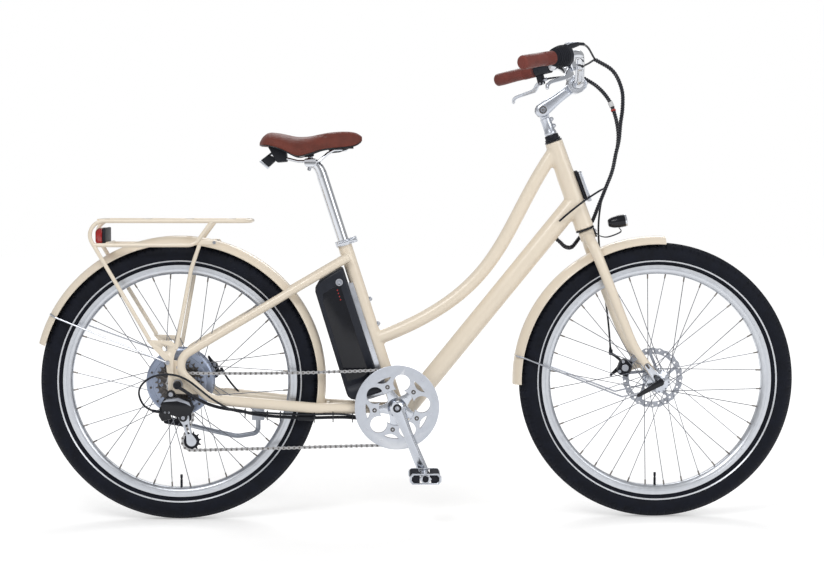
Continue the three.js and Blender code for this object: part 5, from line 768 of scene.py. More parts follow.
def make_fork():
    leg = tube("fork_leg", fork_line(), 13.2, 28, shares=lambda s: 1 - 0.28 * s * s)
    crown = turned("crown", [(-26, 0), (-26, 17.5), (-24, 19), (-3, 19), (-0.5, 17.5),
            (-0.5, 0)], HEAD_FOOT, HEAD_UP, 40)
    body = melted(joined("fork_blades", [crown, *both_sides(leg)]), 1.9, 5)
    top = Vector((553.5, 0, 380.7))
    lean = math.degrees(math.atan2(top.z - FRONT.z, top.x - FRONT.x))
    pocket = side_slab("tip_pocket", [*arc(FRONT.x, FRONT.z, 13, lean + 90, lean + 270),
            *arc(top.x, top.z, 7.6, lean - 90, lean + 90)], 61, 82, 0)
    body = cut(body, *both_sides(pocket))
    place(body, "steering", cream, "cream_paint", "fork")
    end = on_head(-367, 0.75 * FORK_OFFSET)
    plate = side_slab("fork_tip", [*arc(FRONT.x, FRONT.z, 12, 200, 380), (end.x + 8, end.z),
            (end.x - 8, end.z)], 50, 56, 1)
    ear = side_slab("fork_eye", [*arc(572, 322, 6, 150, 350), (586, 330), (574, 338)], 50.2, 55.8, 0.8)
    cut(plate, pin("axle_slot", FRONT + ACROSS * 40, FRONT + ACROSS * 60, 4.9, 0))
    forging = side_slab("tip_forging", [*arc(FRONT.x, FRONT.z, 11.5, lean + 100, lean + 260),
            *arc(top.x, top.z, 6.6, lean - 90, lean + 90)], 56.2, 64.6, 1.6, 3)
    cut(forging, pin("cam_space", FRONT + ACROSS * 50, FRONT + ACROSS * 70, 9.4, 0, 32))
    place(joined("fork_tips", both_sides(joined("tip", [plate, ear, forging]))), "steering", polished, "silver_alloy")
    # Painted shade: a thin dark plate laid on each tip's forging stands for the shade inside its slot.
    slot_shade = side_slab("tip_slot_shade", [*arc(557.5, 375.7, 2.6, lean + 90, lean + 270),
            *arc(552.4, 382, 2.6, lean - 90, lean + 90)], 63.9, 64.9, 0.3)
    place(joined("fork_tip_slot_shades", both_sides(slot_shade)), "steering", dark_steel, "steel")
    shares = [(1.55, -0.5), (1.78, -0.5), (1.78, 0.5), (1.53, 0.5), (1.3, 0), (0.88, -0.3),
            (0.75, -0.55), (1.4, -0.92)]
    tab = side_slab("fork_caliper_tab",
            spin_flat([(a * 40, b * 40) for a, b in shares], 160, FRONT.x, FRONT.z), 55.3, 60.5, 0.8)
    place(tab, "steering", cream, "cream_paint")
    steerer = pin("steerer", on_head(-2), on_head(249), 14, 0.5, 32)
    place(cut(steerer, pin("steerer_bore", on_head(170), on_head(260), 11.4, 0)), "steering", steel, "cream_paint")
    lower = turned("lower_headset", [(0, HEADSET_BORE), (0, 22.6), (0.8, 23.6), (3.2, 23.6), (4, 22.8),
            (4, HEADSET_BORE)], HEAD_FOOT, HEAD_UP, 56)
    place(lower, "bike", gloss_black, "black_plastic", "headset_lower")
    seal = turned("upper_headset_ring", [(231, HEADSET_BORE), (231, 21.4), (231.7, 22), (233.4, 22), (234.8, 20.5),
            (234.8, HEADSET_BORE)], HEAD_FOOT, HEAD_UP, 56)
    place(seal, "steering", gloss_black, "black_plastic", "headset_upper")
    collar = turned("upper_headset_collar", [(235, HEADSET_BORE), (235, 18.6), (236, 19.4), (238.5, 19.4),
            (240, 17.4), (248, 16.8), (249, 16), (249, HEADSET_BORE)], HEAD_FOOT, HEAD_UP, 56)
    place(collar, "steering", black_plastic, "black_plastic")


make_fork()

# Stem and handlebar

PIVOT = on_head(313)
STEM_WAY = heading(37.3)
BAR_CENTRE = PIVOT + STEM_WAY * 103
BAR_BORE = 11.5


def make_stem():
    post = turned("riser_post", [(249.4, 0), (249.4, 14.2), (251, 15), (256, 15), (259, 13.2), (282, 12.6),
            (290.5, 13.4), (291.3, 12.6), (291.3, 0)], HEAD_FOOT, HEAD_UP, 40)
    neck = slab("riser_neck", [on_head(up, ahead, -7.8) for up, ahead in ((288, -11), (288, 11), (316, 11), (324, 0),
            (316, -11))], ACROSS * 15.6, 2.5, 3)
    quill = pin("riser_quill", on_head(178), on_head(251), 10.9, 0.5)
    bolts = []
    for height in (268, 285):
        bolts.append(turned("screw_boss", [(11, 0), (11, 6.4), (15.5, 5.4), (16.4, 4.4), (16.4, 0)],
                on_head(height), HEAD_AHEAD, 24))
        bolts.append(hexagon_head("riser_screw", on_head(height, 15.6), HEAD_AHEAD, 7.4, 3.4))
    place(joined("stem_riser_shown", [post, neck, quill]), "steering", silver, "silver_alloy", "stem_riser")
    place(joined("riser_screws", bolts), "steering", steel, "silver_alloy")
    side = STEM_WAY.cross(ACROSS).normalized()
    squareness = 0.55
    rings = []
    for along, deep, wide in [(-17.6, 5, 9), (-16, 9, 12.4), (-11, 14.4, 14.4), (-4, 17.6, 15), (6, 17.8, 15),
            (22, 15.8, 15), (45, 13, 14.6), (70, 12.2, 14.6), (86, 12.6, 16), (94, 13.4, 18)]:
        centre = PIVOT + STEM_WAY * along
        ring = []
        for k in range(32):
            angle = 2 * math.pi * k / 32
            c, s = math.cos(angle), math.sin(angle)
            ring.append(centre + side * deep * math.copysign(abs(c) ** squareness, c)
                    + ACROSS * wide * math.copysign(abs(s) ** squareness, s))
        rings.append(ring)
    arm = skin("stem_beam", rings)
    clamp = turned("bar_clamp", [(-23, BAR_BORE), (-23, 20), (-21, 22), (21, 22), (23, 20),
            (23, BAR_BORE)], BAR_CENTRE, ACROSS, 48)
    arm = cut(arm, pin("clamp_space", BAR_CENTRE - ACROSS * 30, BAR_CENTRE + ACROSS * 30, 20, 0),
            turned("knuckle_space", [(-8.3, 0), (-8.3, 20.5), (8.3, 20.5), (8.3, 0)], PIVOT, ACROSS, 40))
    caps = []
    for way in (-1, 1):
        caps.append(turned("pivot_cap", [(14.2, 0), (14.2, 9.6), (16, 9.6), (16.6, 9), (16.6, 6.6), (15.6, 5.8),
                (15.6, 3), (14.4, 2.6), (14.4, 0)], PIVOT, ACROSS * way, 32))
    faceplate = slab("clamp_faceplate", [BAR_CENTRE + STEM_WAY * a + side * b - ACROSS * 22.6
            for a, b in ((2, -21.6), (14, -21), (23.6, -12), (23.6, 12), (14, 21), (2, 21.6))], ACROSS * 45.2, 2, 3)
    faceplate = cut(faceplate, pin("faceplate_space", BAR_CENTRE - ACROSS * 30, BAR_CENTRE + ACROSS * 30, 20.5, 0))
    screws = [hexagon_head("faceplate_screw", BAR_CENTRE + STEM_WAY * 20.4 + side * b + ACROSS * y, STEM_WAY, 6.4, 4)
            for b in (-13, 13) for y in (-14, 14)]
    dark_rings = []
    for way in (-1, 1):
        dark_rings.append(turned("pivot_ring", [(15.2, 6.9), (15.2, 9.6), (16.9, 9.4), (17.1, 8.9), (17.1, 7.3),
                (16.8, 6.9)], PIVOT, ACROSS * way, 40))
        # Painted shade: a dark hexagon fills each cap's socket and stands for the shade inside it.
        dark_rings.append(turned("pivot_socket_shade",
                [(14.6, 0), (14.6, 2.7), (15.7, 2.7), (15.7, 0)], PIVOT, ACROSS * way, 6))
    place(joined("stem_pivot_rings", dark_rings), "bars", dark_steel, "silver_alloy")
    place(joined("stem_arm_shown", [arm, clamp, faceplate]), "bars", silver, "silver_alloy", "stem_arm")
    place(joined("stem_screws", [*caps, *screws]), "bars", steel, "silver_alloy")


make_stem()

GRIP_DROOP, GRIP_SWEEP = rad(9), rad(48)


def grip_way(side):
    """The way inwards along a grip."""
    return Vector((math.cos(GRIP_DROOP) * math.sin(GRIP_SWEEP),
            -side * math.cos(GRIP_DROOP) * math.cos(GRIP_SWEEP), math.sin(GRIP_DROOP)))


def on_grip(side, along):
    """A place on the bar's middle line, measured inwards from its outer end."""
    return Vector((218, side * 320, 1097)) + grip_way(side) * along


def bar_axes(side, along):
    """Axes of a control on the bar: X out along the grip, Z towards the lever."""
    out = -grip_way(side)
    drop = Vector((math.sin(rad(20)), 0, -math.cos(rad(20))))
    across = out.cross(drop).normalized()
    towards = across.cross(out).normalized()
    turn = Matrix((out, -across, towards)).transposed().to_4x4()
    return Matrix.Translation(on_grip(side, along) * MM) @ turn


def set_on_bar(piece, side, along):
    axes = bar_axes(side, along)
    piece.data.transform(axes)
    if axes.determinant() < 0:
        piece.data.flip_normals()
    return piece


def bar_half(side):
    return [BAR_CENTRE + ACROSS * side * 66, BAR_CENTRE + Vector((-4, side * 104, 40)),
            on_grip(side, 200), on_grip(side, 0)]


bar_corners = [*reversed(bar_half(SIDE_RIGHT)), *bar_half(SIDE_LEFT)]
bar = tube("handlebar_shown", bent(bar_corners, [52, 36, 36, 36, 36, 52]), 11.1, 32)
place(bar, "bars", chrome, "silver_alloy", "handlebar")


def make_grip(side, length, name):
    way = grip_way(side)
    ribs, rib_count = [], 9
    for k in range(rib_count):
        at = length * (0.7 + 0.27 * k / rib_count)
        ribs += [(at, 15.6), (at + 0.4, 16.3), (at + 1.9, 16.3), (at + 2.3, 15.6)]
    profile = [(-3, 0), (-3, 11), (-2.4, 13.4), (0, 15.4), (1.6, 16.1), (6, 16.2), (length * 0.15, 16.5),
            (length * 0.5, 15.2), (length * 0.66, 15.4), *ribs, (length - 0.4, 16.6), (length, 16.2),
            (length, BAR_BORE), (-0.3, BAR_BORE), (-0.3, 0)]
    grip = turned(name, profile, on_grip(side, 0), way, 56)
    place(grip, "bars", grip_leather, "brown_leather", name.replace("_wrap", ""))
    seam_side = Vector((0.2, 0, -1)).cross(way).normalized().cross(way).normalized()
    seams = []
    for k in range(int(length // 7)):
        start = on_grip(side, 4 + 7 * k) + seam_side * 16.1
        seams.append(pin("stitch", start, start + way * 4, 0.5, 0.1, 6))
    place(joined(name.replace("wrap", "seam"), seams), "bars", stitch, "brown_leather")
    low, high = length - 2, length - 0.4
    edge = turned(name.replace("wrap", "ring"), [(low, 15.4), (low, 16.8), (high, 16.8), (high, 15.4)],
            on_grip(side, 0), way, 48)
    place(edge, "bars", rubber, "brown_leather")


make_grip(SIDE_RIGHT, 105, "right_grip_wrap")
make_grip(SIDE_LEFT, 125, "left_grip_wrap")

SHIFTER_SEAT, SHIFTER_TURN = 146.1, Matrix.Rotation(rad(150), 4, "X")


def make_shifter():
    way = grip_way(SIDE_RIGHT)
    start = on_grip(SIDE_RIGHT, 0)
    low, high = 105.3, 139.3
    ridge = [(low, BAR_BORE), (low, 16.5), (low + 1.2, 18.6)]
    for k in range(6):
        at = low + 2.4 + k * 4.9
        size = 19.6 + 6.2 * (k / 5) ** 0.7
        ridge += [(at, size - 1.2), (at + 0.7, size), (at + 3.4, size + 0.2), (at + 4.2, size - 0.9)]
    ridge += [(high - 0.6, 25.4), (high, 24.8), (high, BAR_BORE)]
    ring = turned("shifter_grip", ridge, start, way, 56)
    place(ring, "shifter", rubber, "black_rubber", "twist_shifter")
    housing = turned("shifter_case", [(139.6, BAR_BORE), (139.6, 25), (140.8, 26), (150.4, 26), (152.6, 23.6),
            (152.6, BAR_BORE)], start, way, 56)
    nose = side_slab("shifter_nose", [(-6, 4), (6, 12), (5, 25.5), (-12, 29.2), (-44, 29.4), (-44, 20),
            (-18, 15.5)], -6.2, 6.2, 2.4, 3)
    nose.data.transform(SHIFTER_TURN)
    set_on_bar(nose, SIDE_RIGHT, SHIFTER_SEAT)
    cut(nose, pin("case_bore", on_grip(SIDE_RIGHT, 135), on_grip(SIDE_RIGHT, 160), 11.6, 0))
    place(joined("shifter_housing_shown", [housing, nose]), "bars", black_plastic, "black_plastic", "shifter_housing")
    cap = side_slab("shifter_window", [(0, 26.4), (-12, 29.6), (-40, 29.9), (-40, 31.2),
            (-12, 31.4), (1, 27.6)], -5, 5, 0.5)
    cap.data.transform(SHIFTER_TURN)
    place(set_on_bar(cap, SIDE_RIGHT, SHIFTER_SEAT), "bars", silver, "black_plastic")


make_shifter()

BARREL_HEIGHT, BARREL_END = 27.4, 21
# Radius of a cable in its housing
HOUSING = 2.5


def make_perch(side, along, metal, slot_name, name):
    """The lever's clamp on the bar; gives back the place of its middle along the grip."""
    middle, end = along + 8, along + 16
    clamp = turned("perch_band", [(along, BAR_BORE), (along, 14.2), (along + 0.8, 15), (end - 0.8, 15), (end, 14.2),
            (end, BAR_BORE)], on_grip(side, 0), grip_way(side), 40)
    ears = []
    ear_shape = [(-7.6, 13), (7.6, 13), (7.9, 30), (5.5, 38), (0, 39.6), (-5.5, 38), (-7.9, 30)]
    for way in (-1, 1):
        ears.append(set_on_bar(side_slab("perch_ear", ear_shape, way * 3.9, way * 7.4, 1), side, middle))
    web = side_slab("perch_web", [(-7.6, 13), (7.6, 13), (5, 24), (-7.9, 26)], -3.9, 3.9, 0.8)
    barrel = turned("barrel_adjuster", [(7, 0), (7, 3.4), (9, 4.6), (18, 4.6), (19, 3.4), (BARREL_END, 3),
            (BARREL_END, 0)], Vector((0, 0, BARREL_HEIGHT)), Vector((-1, 0, 0)), 16)
    bolt = hexagon_head("band_screw", Vector((0, 15.5, -4)), Vector((0, 0.3, -1)), 6, 4)
    for part in (web, barrel, bolt):
        set_on_bar(part, side, middle)
    place(joined(name + "_shown", [clamp, *ears, web]), "bars", metal, slot_name, name)
    place(joined(name + "_fittings", [barrel, bolt]), "bars", steel, slot_name)
    return middle


def make_lever(side, middle, name, body):
    edge = [*arc(0, 34, 5.4, 90, 270, 8), (5.5, 28.6), (14, 30.4), (21, 35), (27, 41), (34, 45.2), (60, 47.6),
            (84, 50), (92, 51.4), (99, 54.6), (103.6, 59.6), (105, 66), (103.6, 69.6), (100.4, 70), (98.6, 66),
            (94.6, 62), (88, 59.4), (78, 58.2), (50, 56.6), (27, 54.9), (19.6, 49.4), (13, 42.4), (5.5, 39.4)]
    blade = side_slab("lever_blade", edge, -3.3, 3.3, 2.4, 3)
    tip = turned("lever_tip", [(-3.5, 0), (-3.2, 2.6), (-1.6, 4.2), (1.6, 4.2), (3.2, 2.6), (3.5, 0)],
            Vector((102, 0, 66.5)), ACROSS, 20)
    lever = set_on_bar(joined(name + "_shown", [blade, tip]), side, middle)
    place(lever, body, polished, "polished_alloy", name)
    head = hexagon_head("pivot_screw", Vector((0, -7.4, 34)), Vector((0, -1, 0)), 6, 1.8)
    place(set_on_bar(head, side, middle), "bars", steel, "steel").name = name + "_pivot"


def make_bar_leads(perches):
    """The short cable ends that leave the levers and the shifter."""
    leads = []
    for side, middle in perches:
        axes = bar_axes(side, middle)
        start = axes @ (Vector((-BARREL_END, 0, BARREL_HEIGHT)) * MM) / MM
        ahead = (axes.to_3x3() @ Vector((-1, 0, 0))).normalized()
        line = line_through([start - ahead * 3, start + ahead * 8, (372, side * 190, 1098)], 12)
        leads.append(tube("brake_lead", line, HOUSING, 12))
    nose_end = bar_axes(SIDE_RIGHT, SHIFTER_SEAT) @ SHIFTER_TURN @ (Vector((-40, 0, 24.6)) * MM) / MM
    leads.append(pin("shift_adjuster", nose_end, Vector((374, -190, 1150)), 3.8, 0.8, 20))
    place(joined("bar_leads", leads), "bars", black_plastic, "black_plastic")


right_middle = make_perch(SIDE_RIGHT, 152.9, polished, "silver_alloy", "right_brake_perch")
left_middle = make_perch(SIDE_LEFT, 125.3, black_plastic, "black_plastic", "left_brake_perch")
make_bar_leads(((SIDE_RIGHT, right_middle), (SIDE_LEFT, left_middle)))
make_lever(SIDE_RIGHT, right_middle, "right_brake_lever", "right_lever")
make_lever(SIDE_LEFT, left_middle, "left_brake_lever", "left_lever")


def make_pad():
    seat = 156.3
    case = side_slab("pad_case", [(-15, -12), (-13, -25.6), (13, -25.6), (15, -12), (12, -9),
            (-12, -9)], -16.5, 16.5, 3, 3)
    band = turned("pad_band", [(141.6, BAR_BORE), (141.6, 14.6), (170.8, 14.6), (170.8, BAR_BORE)],
            on_grip(SIDE_LEFT, 0), grip_way(SIDE_LEFT), 40)
    set_on_bar(case, SIDE_LEFT, seat)
    place(joined("control_pad", [case, band]), "bars", black_plastic, "black_plastic")
    keys = []
    for k, y in enumerate((-10, 0, 10)):
        key = turned("pad_key", [(25.4, 0), (25.4, 3.6), (26.6, 3.2), (26.8, 0)],
                Vector((-4 if k == 1 else 2, y, 0)), Vector((0, 0, -1)), 20)
        keys.append(set_on_bar(key, SIDE_LEFT, seat))
    place(joined("control_keys", keys), "bars", rubber, "black_plastic")


make_pad()

# Seatpost and saddle

SADDLE_REAR, SADDLE_LONG, SADDLE_TOP, SADDLE_DEEP, SADDLE_WIDE = -390, 249, 951, 64, 172
SADDLE_UNDER = SADDLE_TOP - 0.578 * SADDLE_DEEP
RAIL_SEAT = on_seat(634, -16.6)
# Each station: share of the length, share of the width, crown's and skirt's share of the depth
saddle_stations = [(0, 0.47, 0.42, 0.57), (0.035, 0.77, 0.2, 0.57), (0.1, 0.93, 0.05, 0.59), (0.22, 1, 0.09, 0.73),
        (0.36, 0.95, 0.2, 0.98), (0.48, 0.79, 0.19, 0.89), (0.6, 0.535, 0.09, 0.73), (0.72, 0.36, 0.02, 0.66),
        (0.85, 0.28, 0, 0.61), (0.94, 0.22, 0.05, 0.53), (1, 0.1, 0.2, 0.36)]


def saddle_ring(along, wide, crown, skirt):
    half = wide * SADDLE_WIDE / 2
    top = SADDLE_TOP - crown * SADDLE_DEEP
    edge = SADDLE_TOP - skirt * SADDLE_DEEP
    under = max(SADDLE_UNDER, edge)
    fall = top - edge
    shape = [(0, 0), (0.22, 0.01), (0.45, 0.05), (0.64, 0.14), (0.8, 0.28), (0.91, 0.44), (0.98, 0.62), (1.0, 0.78),
            (0.995, 0.9), (0.97, 1.0)]
    half_ring = [(half * a, top - fall * b) for a, b in shape] + [(0.86 * half, edge + 0.5), (0.7 * half, under),
            (0.35 * half, under), (0, under)]
    x = SADDLE_REAR + along * SADDLE_LONG
    left = [Vector((x, y, z)) for y, z in half_ring]
    return left + [flip(v) for v in reversed(left[1:-1])]


def make_saddle():
    stations = []
    for k in range(len(saddle_stations) - 1):
        neighbours = [saddle_stations[max(0, min(len(saddle_stations) - 1, k + j))] for j in (-1, 0, 1, 2)]
        for step in range(6):
            stations.append(tuple(between(*values, step / 6) for values in zip(*neighbours)))
    stations.append(saddle_stations[-1])
    cover = skin("saddle_cover", [saddle_ring(*station) for station in stations], angle=60)
    only(cover)
    shape = cover.modifiers.new("stuffing", "SMOOTH")
    shape.factor, shape.iterations = 0.5, 3
    bpy.ops.object.modifier_apply(modifier=shape.name)
    fine = cover.modifiers.new("fine", "SUBSURF")
    fine.levels = fine.render_levels = 1
    bpy.ops.object.modifier_apply(modifier=fine.name)
    for vertex in cover.data.vertices:
        x, y, z = vertex.co / MM
        share = (x - SADDLE_REAR) / SADDLE_LONG
        crease = 26 + 48 * max(0, 0.62 - share) ** 1.2
        near = abs(abs(y) - crease)
        if z > SADDLE_TOP - 0.56 * SADDLE_DEEP and 0.2 < share < 0.86 and near < 5:
            vertex.co.z -= 1.5 * MM * math.cos(near / 5 * math.pi / 2) ** 2
        channel = abs(y) / 9
        if z > SADDLE_TOP - 0.4 * SADDLE_DEEP and 0.15 < share < 0.55 and channel < 1:
            vertex.co.z -= 2.2 * MM * math.cos(channel * math.pi / 2) ** 2 * math.sin((share - 0.15) / 0.4 * math.pi)
        rise = max(0, share - 0.484) / 0.15
        fold = (SADDLE_TOP - z - 40 + 28 * rise ** 1.5) / 6
        if 0.34 < share < 0.66 and abs(y) > 20 and abs(fold) < 1:
            vertex.co.y -= math.copysign(2.4 * MM * math.cos(fold * math.pi / 2) ** 2, y)
    smooth(cover, 60)
    place(cover, "seat", leather, "brown_leather", "saddle")
    hem = []
    for side in (SIDE_RIGHT, SIDE_LEFT):
        line = []
        for along, wide, crown, skirt in stations[2:-2]:
            line.append(Vector((SADDLE_REAR + along * SADDLE_LONG, side * (wide * SADDLE_WIDE / 2 * 0.95),
                    SADDLE_TOP - skirt * SADDLE_DEEP + 0.6)))
        hem.append(tube("hem", line, 1.3, 8))
    place(joined("saddle_hem", hem), "seat", gloss_black, "gloss_plastic")
    shell_rings = []
    for along, wide, crown, skirt in stations[12:-8]:
        x = SADDLE_REAR + along * SADDLE_LONG
        half = 0.36 * wide * SADDLE_WIDE
        top = SADDLE_UNDER - 0.3
        shell_rings.append([Vector((x, y, z)) for y, z in ((half, top), (half, top - 3), (half * 0.8, top - 5),
                (-half * 0.8, top - 5), (-half, top - 3), (-half, top))])
    pan = skin("saddle_pan", shell_rings)
    nose = skin("nose_block", [[Vector((x, y, z)) for y, z in ((14, 913), (12, low), (-12, low), (-14, 913))]
            for x, low in ((-226, 907), (-214, 898), (-196, 900), (-172, 909))])
    back = side_slab("rail_block", [(-370, 913), (-326, 913), (-324, RAIL_SEAT.z - 1),
            (-348, RAIL_SEAT.z - 3)], -40, 40, 2)
    holder = side_slab("light_block", [(-352, 908), (-334, 896), (-368, 864), (-388, 880)], -16, 16, 2)
    rim = side_slab("light_rim", [(-367.4, 863), (-372, 858.6), (-391.6, 876), (-388.6, 881.4)], -17, 17, 1)
    space = tube("rail_space", rail_line(), 3.9, 12, angle=60)
    place(joined("saddle_base_shown", [pan, nose]), "seat", gloss_black, "gloss_plastic", "saddle_base")
    place(cut(back, space), "seat", black_plastic, "gloss_plastic").name = "saddle_rail_block"
    place(holder, "seat", black_plastic, "gloss_plastic").name = "saddle_back_plate"
    place(rim, "seat", silver, "silver_alloy").name = "saddle_back_rim"
    rails = tube("saddle_rails_shown", rail_line(), 3.5, 16)
    place(rails, "seat", chrome, "steel", "saddle_rails")


def rail_line():
    """The rails' one wire, from the back along the left to the nose and back along the right."""
    shares = [(0.11, 0.5, 1.5), (0.24, 0.25, 1.3), (0.37, 0, 1), (0.575, 0, 1), (0.66, 0.6, 0.75),
            (0.72, 0.86, 0.6), (0.84, 0.88, 0.36)]
    side = [Vector((SADDLE_REAR + a * SADDLE_LONG, c * 22, RAIL_SEAT.z + u * 32)) for a, u, c in shares]
    return bent([*side, *[flip(v) for v in reversed(side)]], [10] * 12, 10)


def make_seatpost():
    post = pin("post", on_seat(305), on_seat(590), 13.6, 0.6, 48)
    neck = tube("post_neck", line_through([on_seat(586), on_seat(600), on_seat(616, -3), on_seat(628, -10)], 16),
            13.6, 32, shares=lambda s: 1 - 0.1 * s)
    cradle = side_slab("clamp_cradle", moved([(-15, -1), (15, -1), (16, -7), (8, -13), (-8, -14), (-14, -9)],
            RAIL_SEAT), -26, 26, 2, 3)
    lid = side_slab("clamp_lid", moved([(-15, 0.6), (15, 0.6), (14, 6), (6, 8), (-6, 8), (-14, 6)],
            RAIL_SEAT), -26, 26, 2, 3)
    for part in (cradle, lid):
        cut(part, *[pin("rail_seat", RAIL_SEAT + Vector((-40, y, 0)), RAIL_SEAT + Vector((40, y, 0)),
                3.7, 0) for y in (-22, 22)])
    place(joined("seatpost_shown", [post, neck, cradle, lid]), "seat", chrome, "silver_alloy", "seatpost")
    bolt = hexagon_head("clamp_screw", RAIL_SEAT + Vector((-2, 0, -14)), Vector((-0.2, 0, -1)), 9, 9)
    nut = pin("clamp_nut", RAIL_SEAT + Vector((0, 0, 7.6)), RAIL_SEAT + Vector((0, 0, 12)), 6, 0.8)
    block = side_slab("clamp_top_block", moved([(-14, 10), (9, 13), (7, 26), (-16, 23)], RAIL_SEAT), -15, 15, 2)
    place(joined("seatpost_screw", [bolt, nut]), "seat", steel, "silver_alloy")
    place(block, "seat", black_plastic, "black_plastic")
    clamp = refined("seat_clamp", 0.8)
    place(clamp, "bike", silver, "silver_alloy", "seat_clamp")
    top_ring = turned("collar_ring", [(413.4, 18), (413.4, 20.4), (414.2, 20.9), (426, 20.9), (427, 20), (427, 14.4),
            (425.6, 14.4), (425.6, 18)], BRACKET, SEAT_UP, 48)
    place(top_ring, "bike", silver, "silver_alloy")
    lever = refined("seat_clamp_lever", 0.8)
    place(lever, "seat_lever", polished, "polished_alloy", "seat_clamp_lever")


make_saddle()
make_seatpost()

# Battery and kickstand


def make_battery():
    shares = [(0, 0), (0.78, 0), (0.92, 0.02), (0.985, 0.045), (1, 0.07), (0.95, 0.885),
            (0.91, 0.915), (0.74, 0.955), (0, 1)]
    corners = [on_seat(45 + up * 321, -(21 + away * 86), -42) for away, up in shares]
    body = slab("battery_case", corners, Vector((0, 84, 0)), 7, 4)
    rail = slab("rail_space", [on_seat(up, ahead, -30) for up, ahead in ((20, 4), (20, -35), (322.3, -35),
            (322.3, 4))], Vector((0, 60, 0)))
    front_cut = slab("front_space", [on_seat(up, ahead, -60)
            for up, ahead in ((20, 0), (20, -20.4), (380, -20.4), (380, 0))], Vector((0, 120, 0)))
    body = cut(body, rail, front_cut)
    groove = [slab("groove", [on_seat(up, ahead, side * 42.6)
            for up, ahead in ((84, -18), (84, -112), (85.6, -112), (85.6, -18))], Vector((0, -side * 1.6, 0)))
            for side in (SIDE_RIGHT, SIDE_LEFT)]
    body = cut(body, *groove)
    place(body, "bike", battery_shell, "black_plastic", "battery")
    details = []
    for side in (SIDE_RIGHT, SIDE_LEFT):
        details.append(slab("side_panel", [on_seat(up, ahead, side * 41.9)
                for up, ahead in ((96, -40), (96, -96), (300, -92), (318, -86), (330, -40))],
                Vector((0, side * 0.9, 0)), 0.5))
    details.append(slab("handle", [on_seat(up, ahead, -14)
            for up, ahead in ((352, -34), (362, -40), (356, -78), (346, -84), (342, -80), (350, -42))],
            Vector((0, 28, 0)), 2.5, 3))
    place(joined("battery_trim", details), "bike", gloss_black, "black_plastic")
    lock = turned("key_lock", [(0, 0), (0, 9), (1.4, 8.6), (1.4, 6), (0.7, 5.6), (0.7, 0)],
            on_seat(333, -40, -42), -ACROSS, 32)
    slot_bar = slab("key_slot", [on_seat(333 + a, -40 + b, -42.6)
            for a, b in ((-3.4, -0.7), (3.4, -0.7), (3.4, 0.7), (-3.4, 0.7))], Vector((0, -0.8, 0)))
    place(joined("battery_lock", [lock, slot_bar]), "bike", steel, "silver_alloy")
    lights = [turned("charge_light", [(0, 0), (0, 1.8), (0.8, 1.4), (1, 0)], on_seat(316 - 8 * k, -50, -42.8),
            -ACROSS, 16) for k in range(4)]
    place(joined("charge_lights", lights), "bike", red_lens, "red_lens")
    cradle = refined("battery_cradle", 1.2)
    place(cradle, "bike", silver, "silver_alloy", "battery_cradle")


def make_kickstand():
    bracket = refined("kickstand_bracket", 1.2)
    place(bracket, "bike", cast_metal, "silver_alloy", "kickstand_bracket")
    pivot = Vector((-400.6, 65, 243.6))
    axis = Vector((math.sin(rad(12)), -math.cos(rad(12)), 0))
    shares = [(0, 0, 0), (0, 0.84, 0), (0.22, 1.03, 0.4), (0.44, 0.82, 0.8), (0.75, 0.46, 1)]
    line = [Vector((pivot.x - back * 236, pivot.y + out * 15, pivot.z - down * 50)) for back, down, out in shares]
    leg = tube("stand_tube", bent(line, [16, 60, 60]), 6, 24)
    knuckle = turned("stand_knuckle", [(-6, 3.9), (-6, 8.2), (-5.2, 9), (5.2, 9), (6, 8.2),
            (6, 3.9)], pivot, axis, 32)
    place(joined("kickstand_leg_shown", [knuckle, leg]), "kickstand", cast_metal, "silver_alloy", "kickstand_leg")
    foot_end = Vector((pivot.x - 236, pivot.y + 15, pivot.z - 10))
    foot = turned("kickstand_foot", [(0, 6), (0, 7.6), (4, 8.4), (8, 7.6), (12, 8.8), (16, 8), (20, 9.2), (24, 8.6),
            (52, 9.8), (58, 9), (60.4, 6), (60.4, 0), (2, 0), (2, 6)], line[-1], foot_end - line[-1], 32)
    place(foot, "kickstand", rubber, "silver_alloy")
    cap = pin("stand_pin", pivot - axis * 14.6, pivot - axis * 11, 4.6, 1)
    place(cap, "bike", steel, "steel").name = "kickstand_pin"


make_battery()
make_kickstand()

# Rack, tail light and mudguards


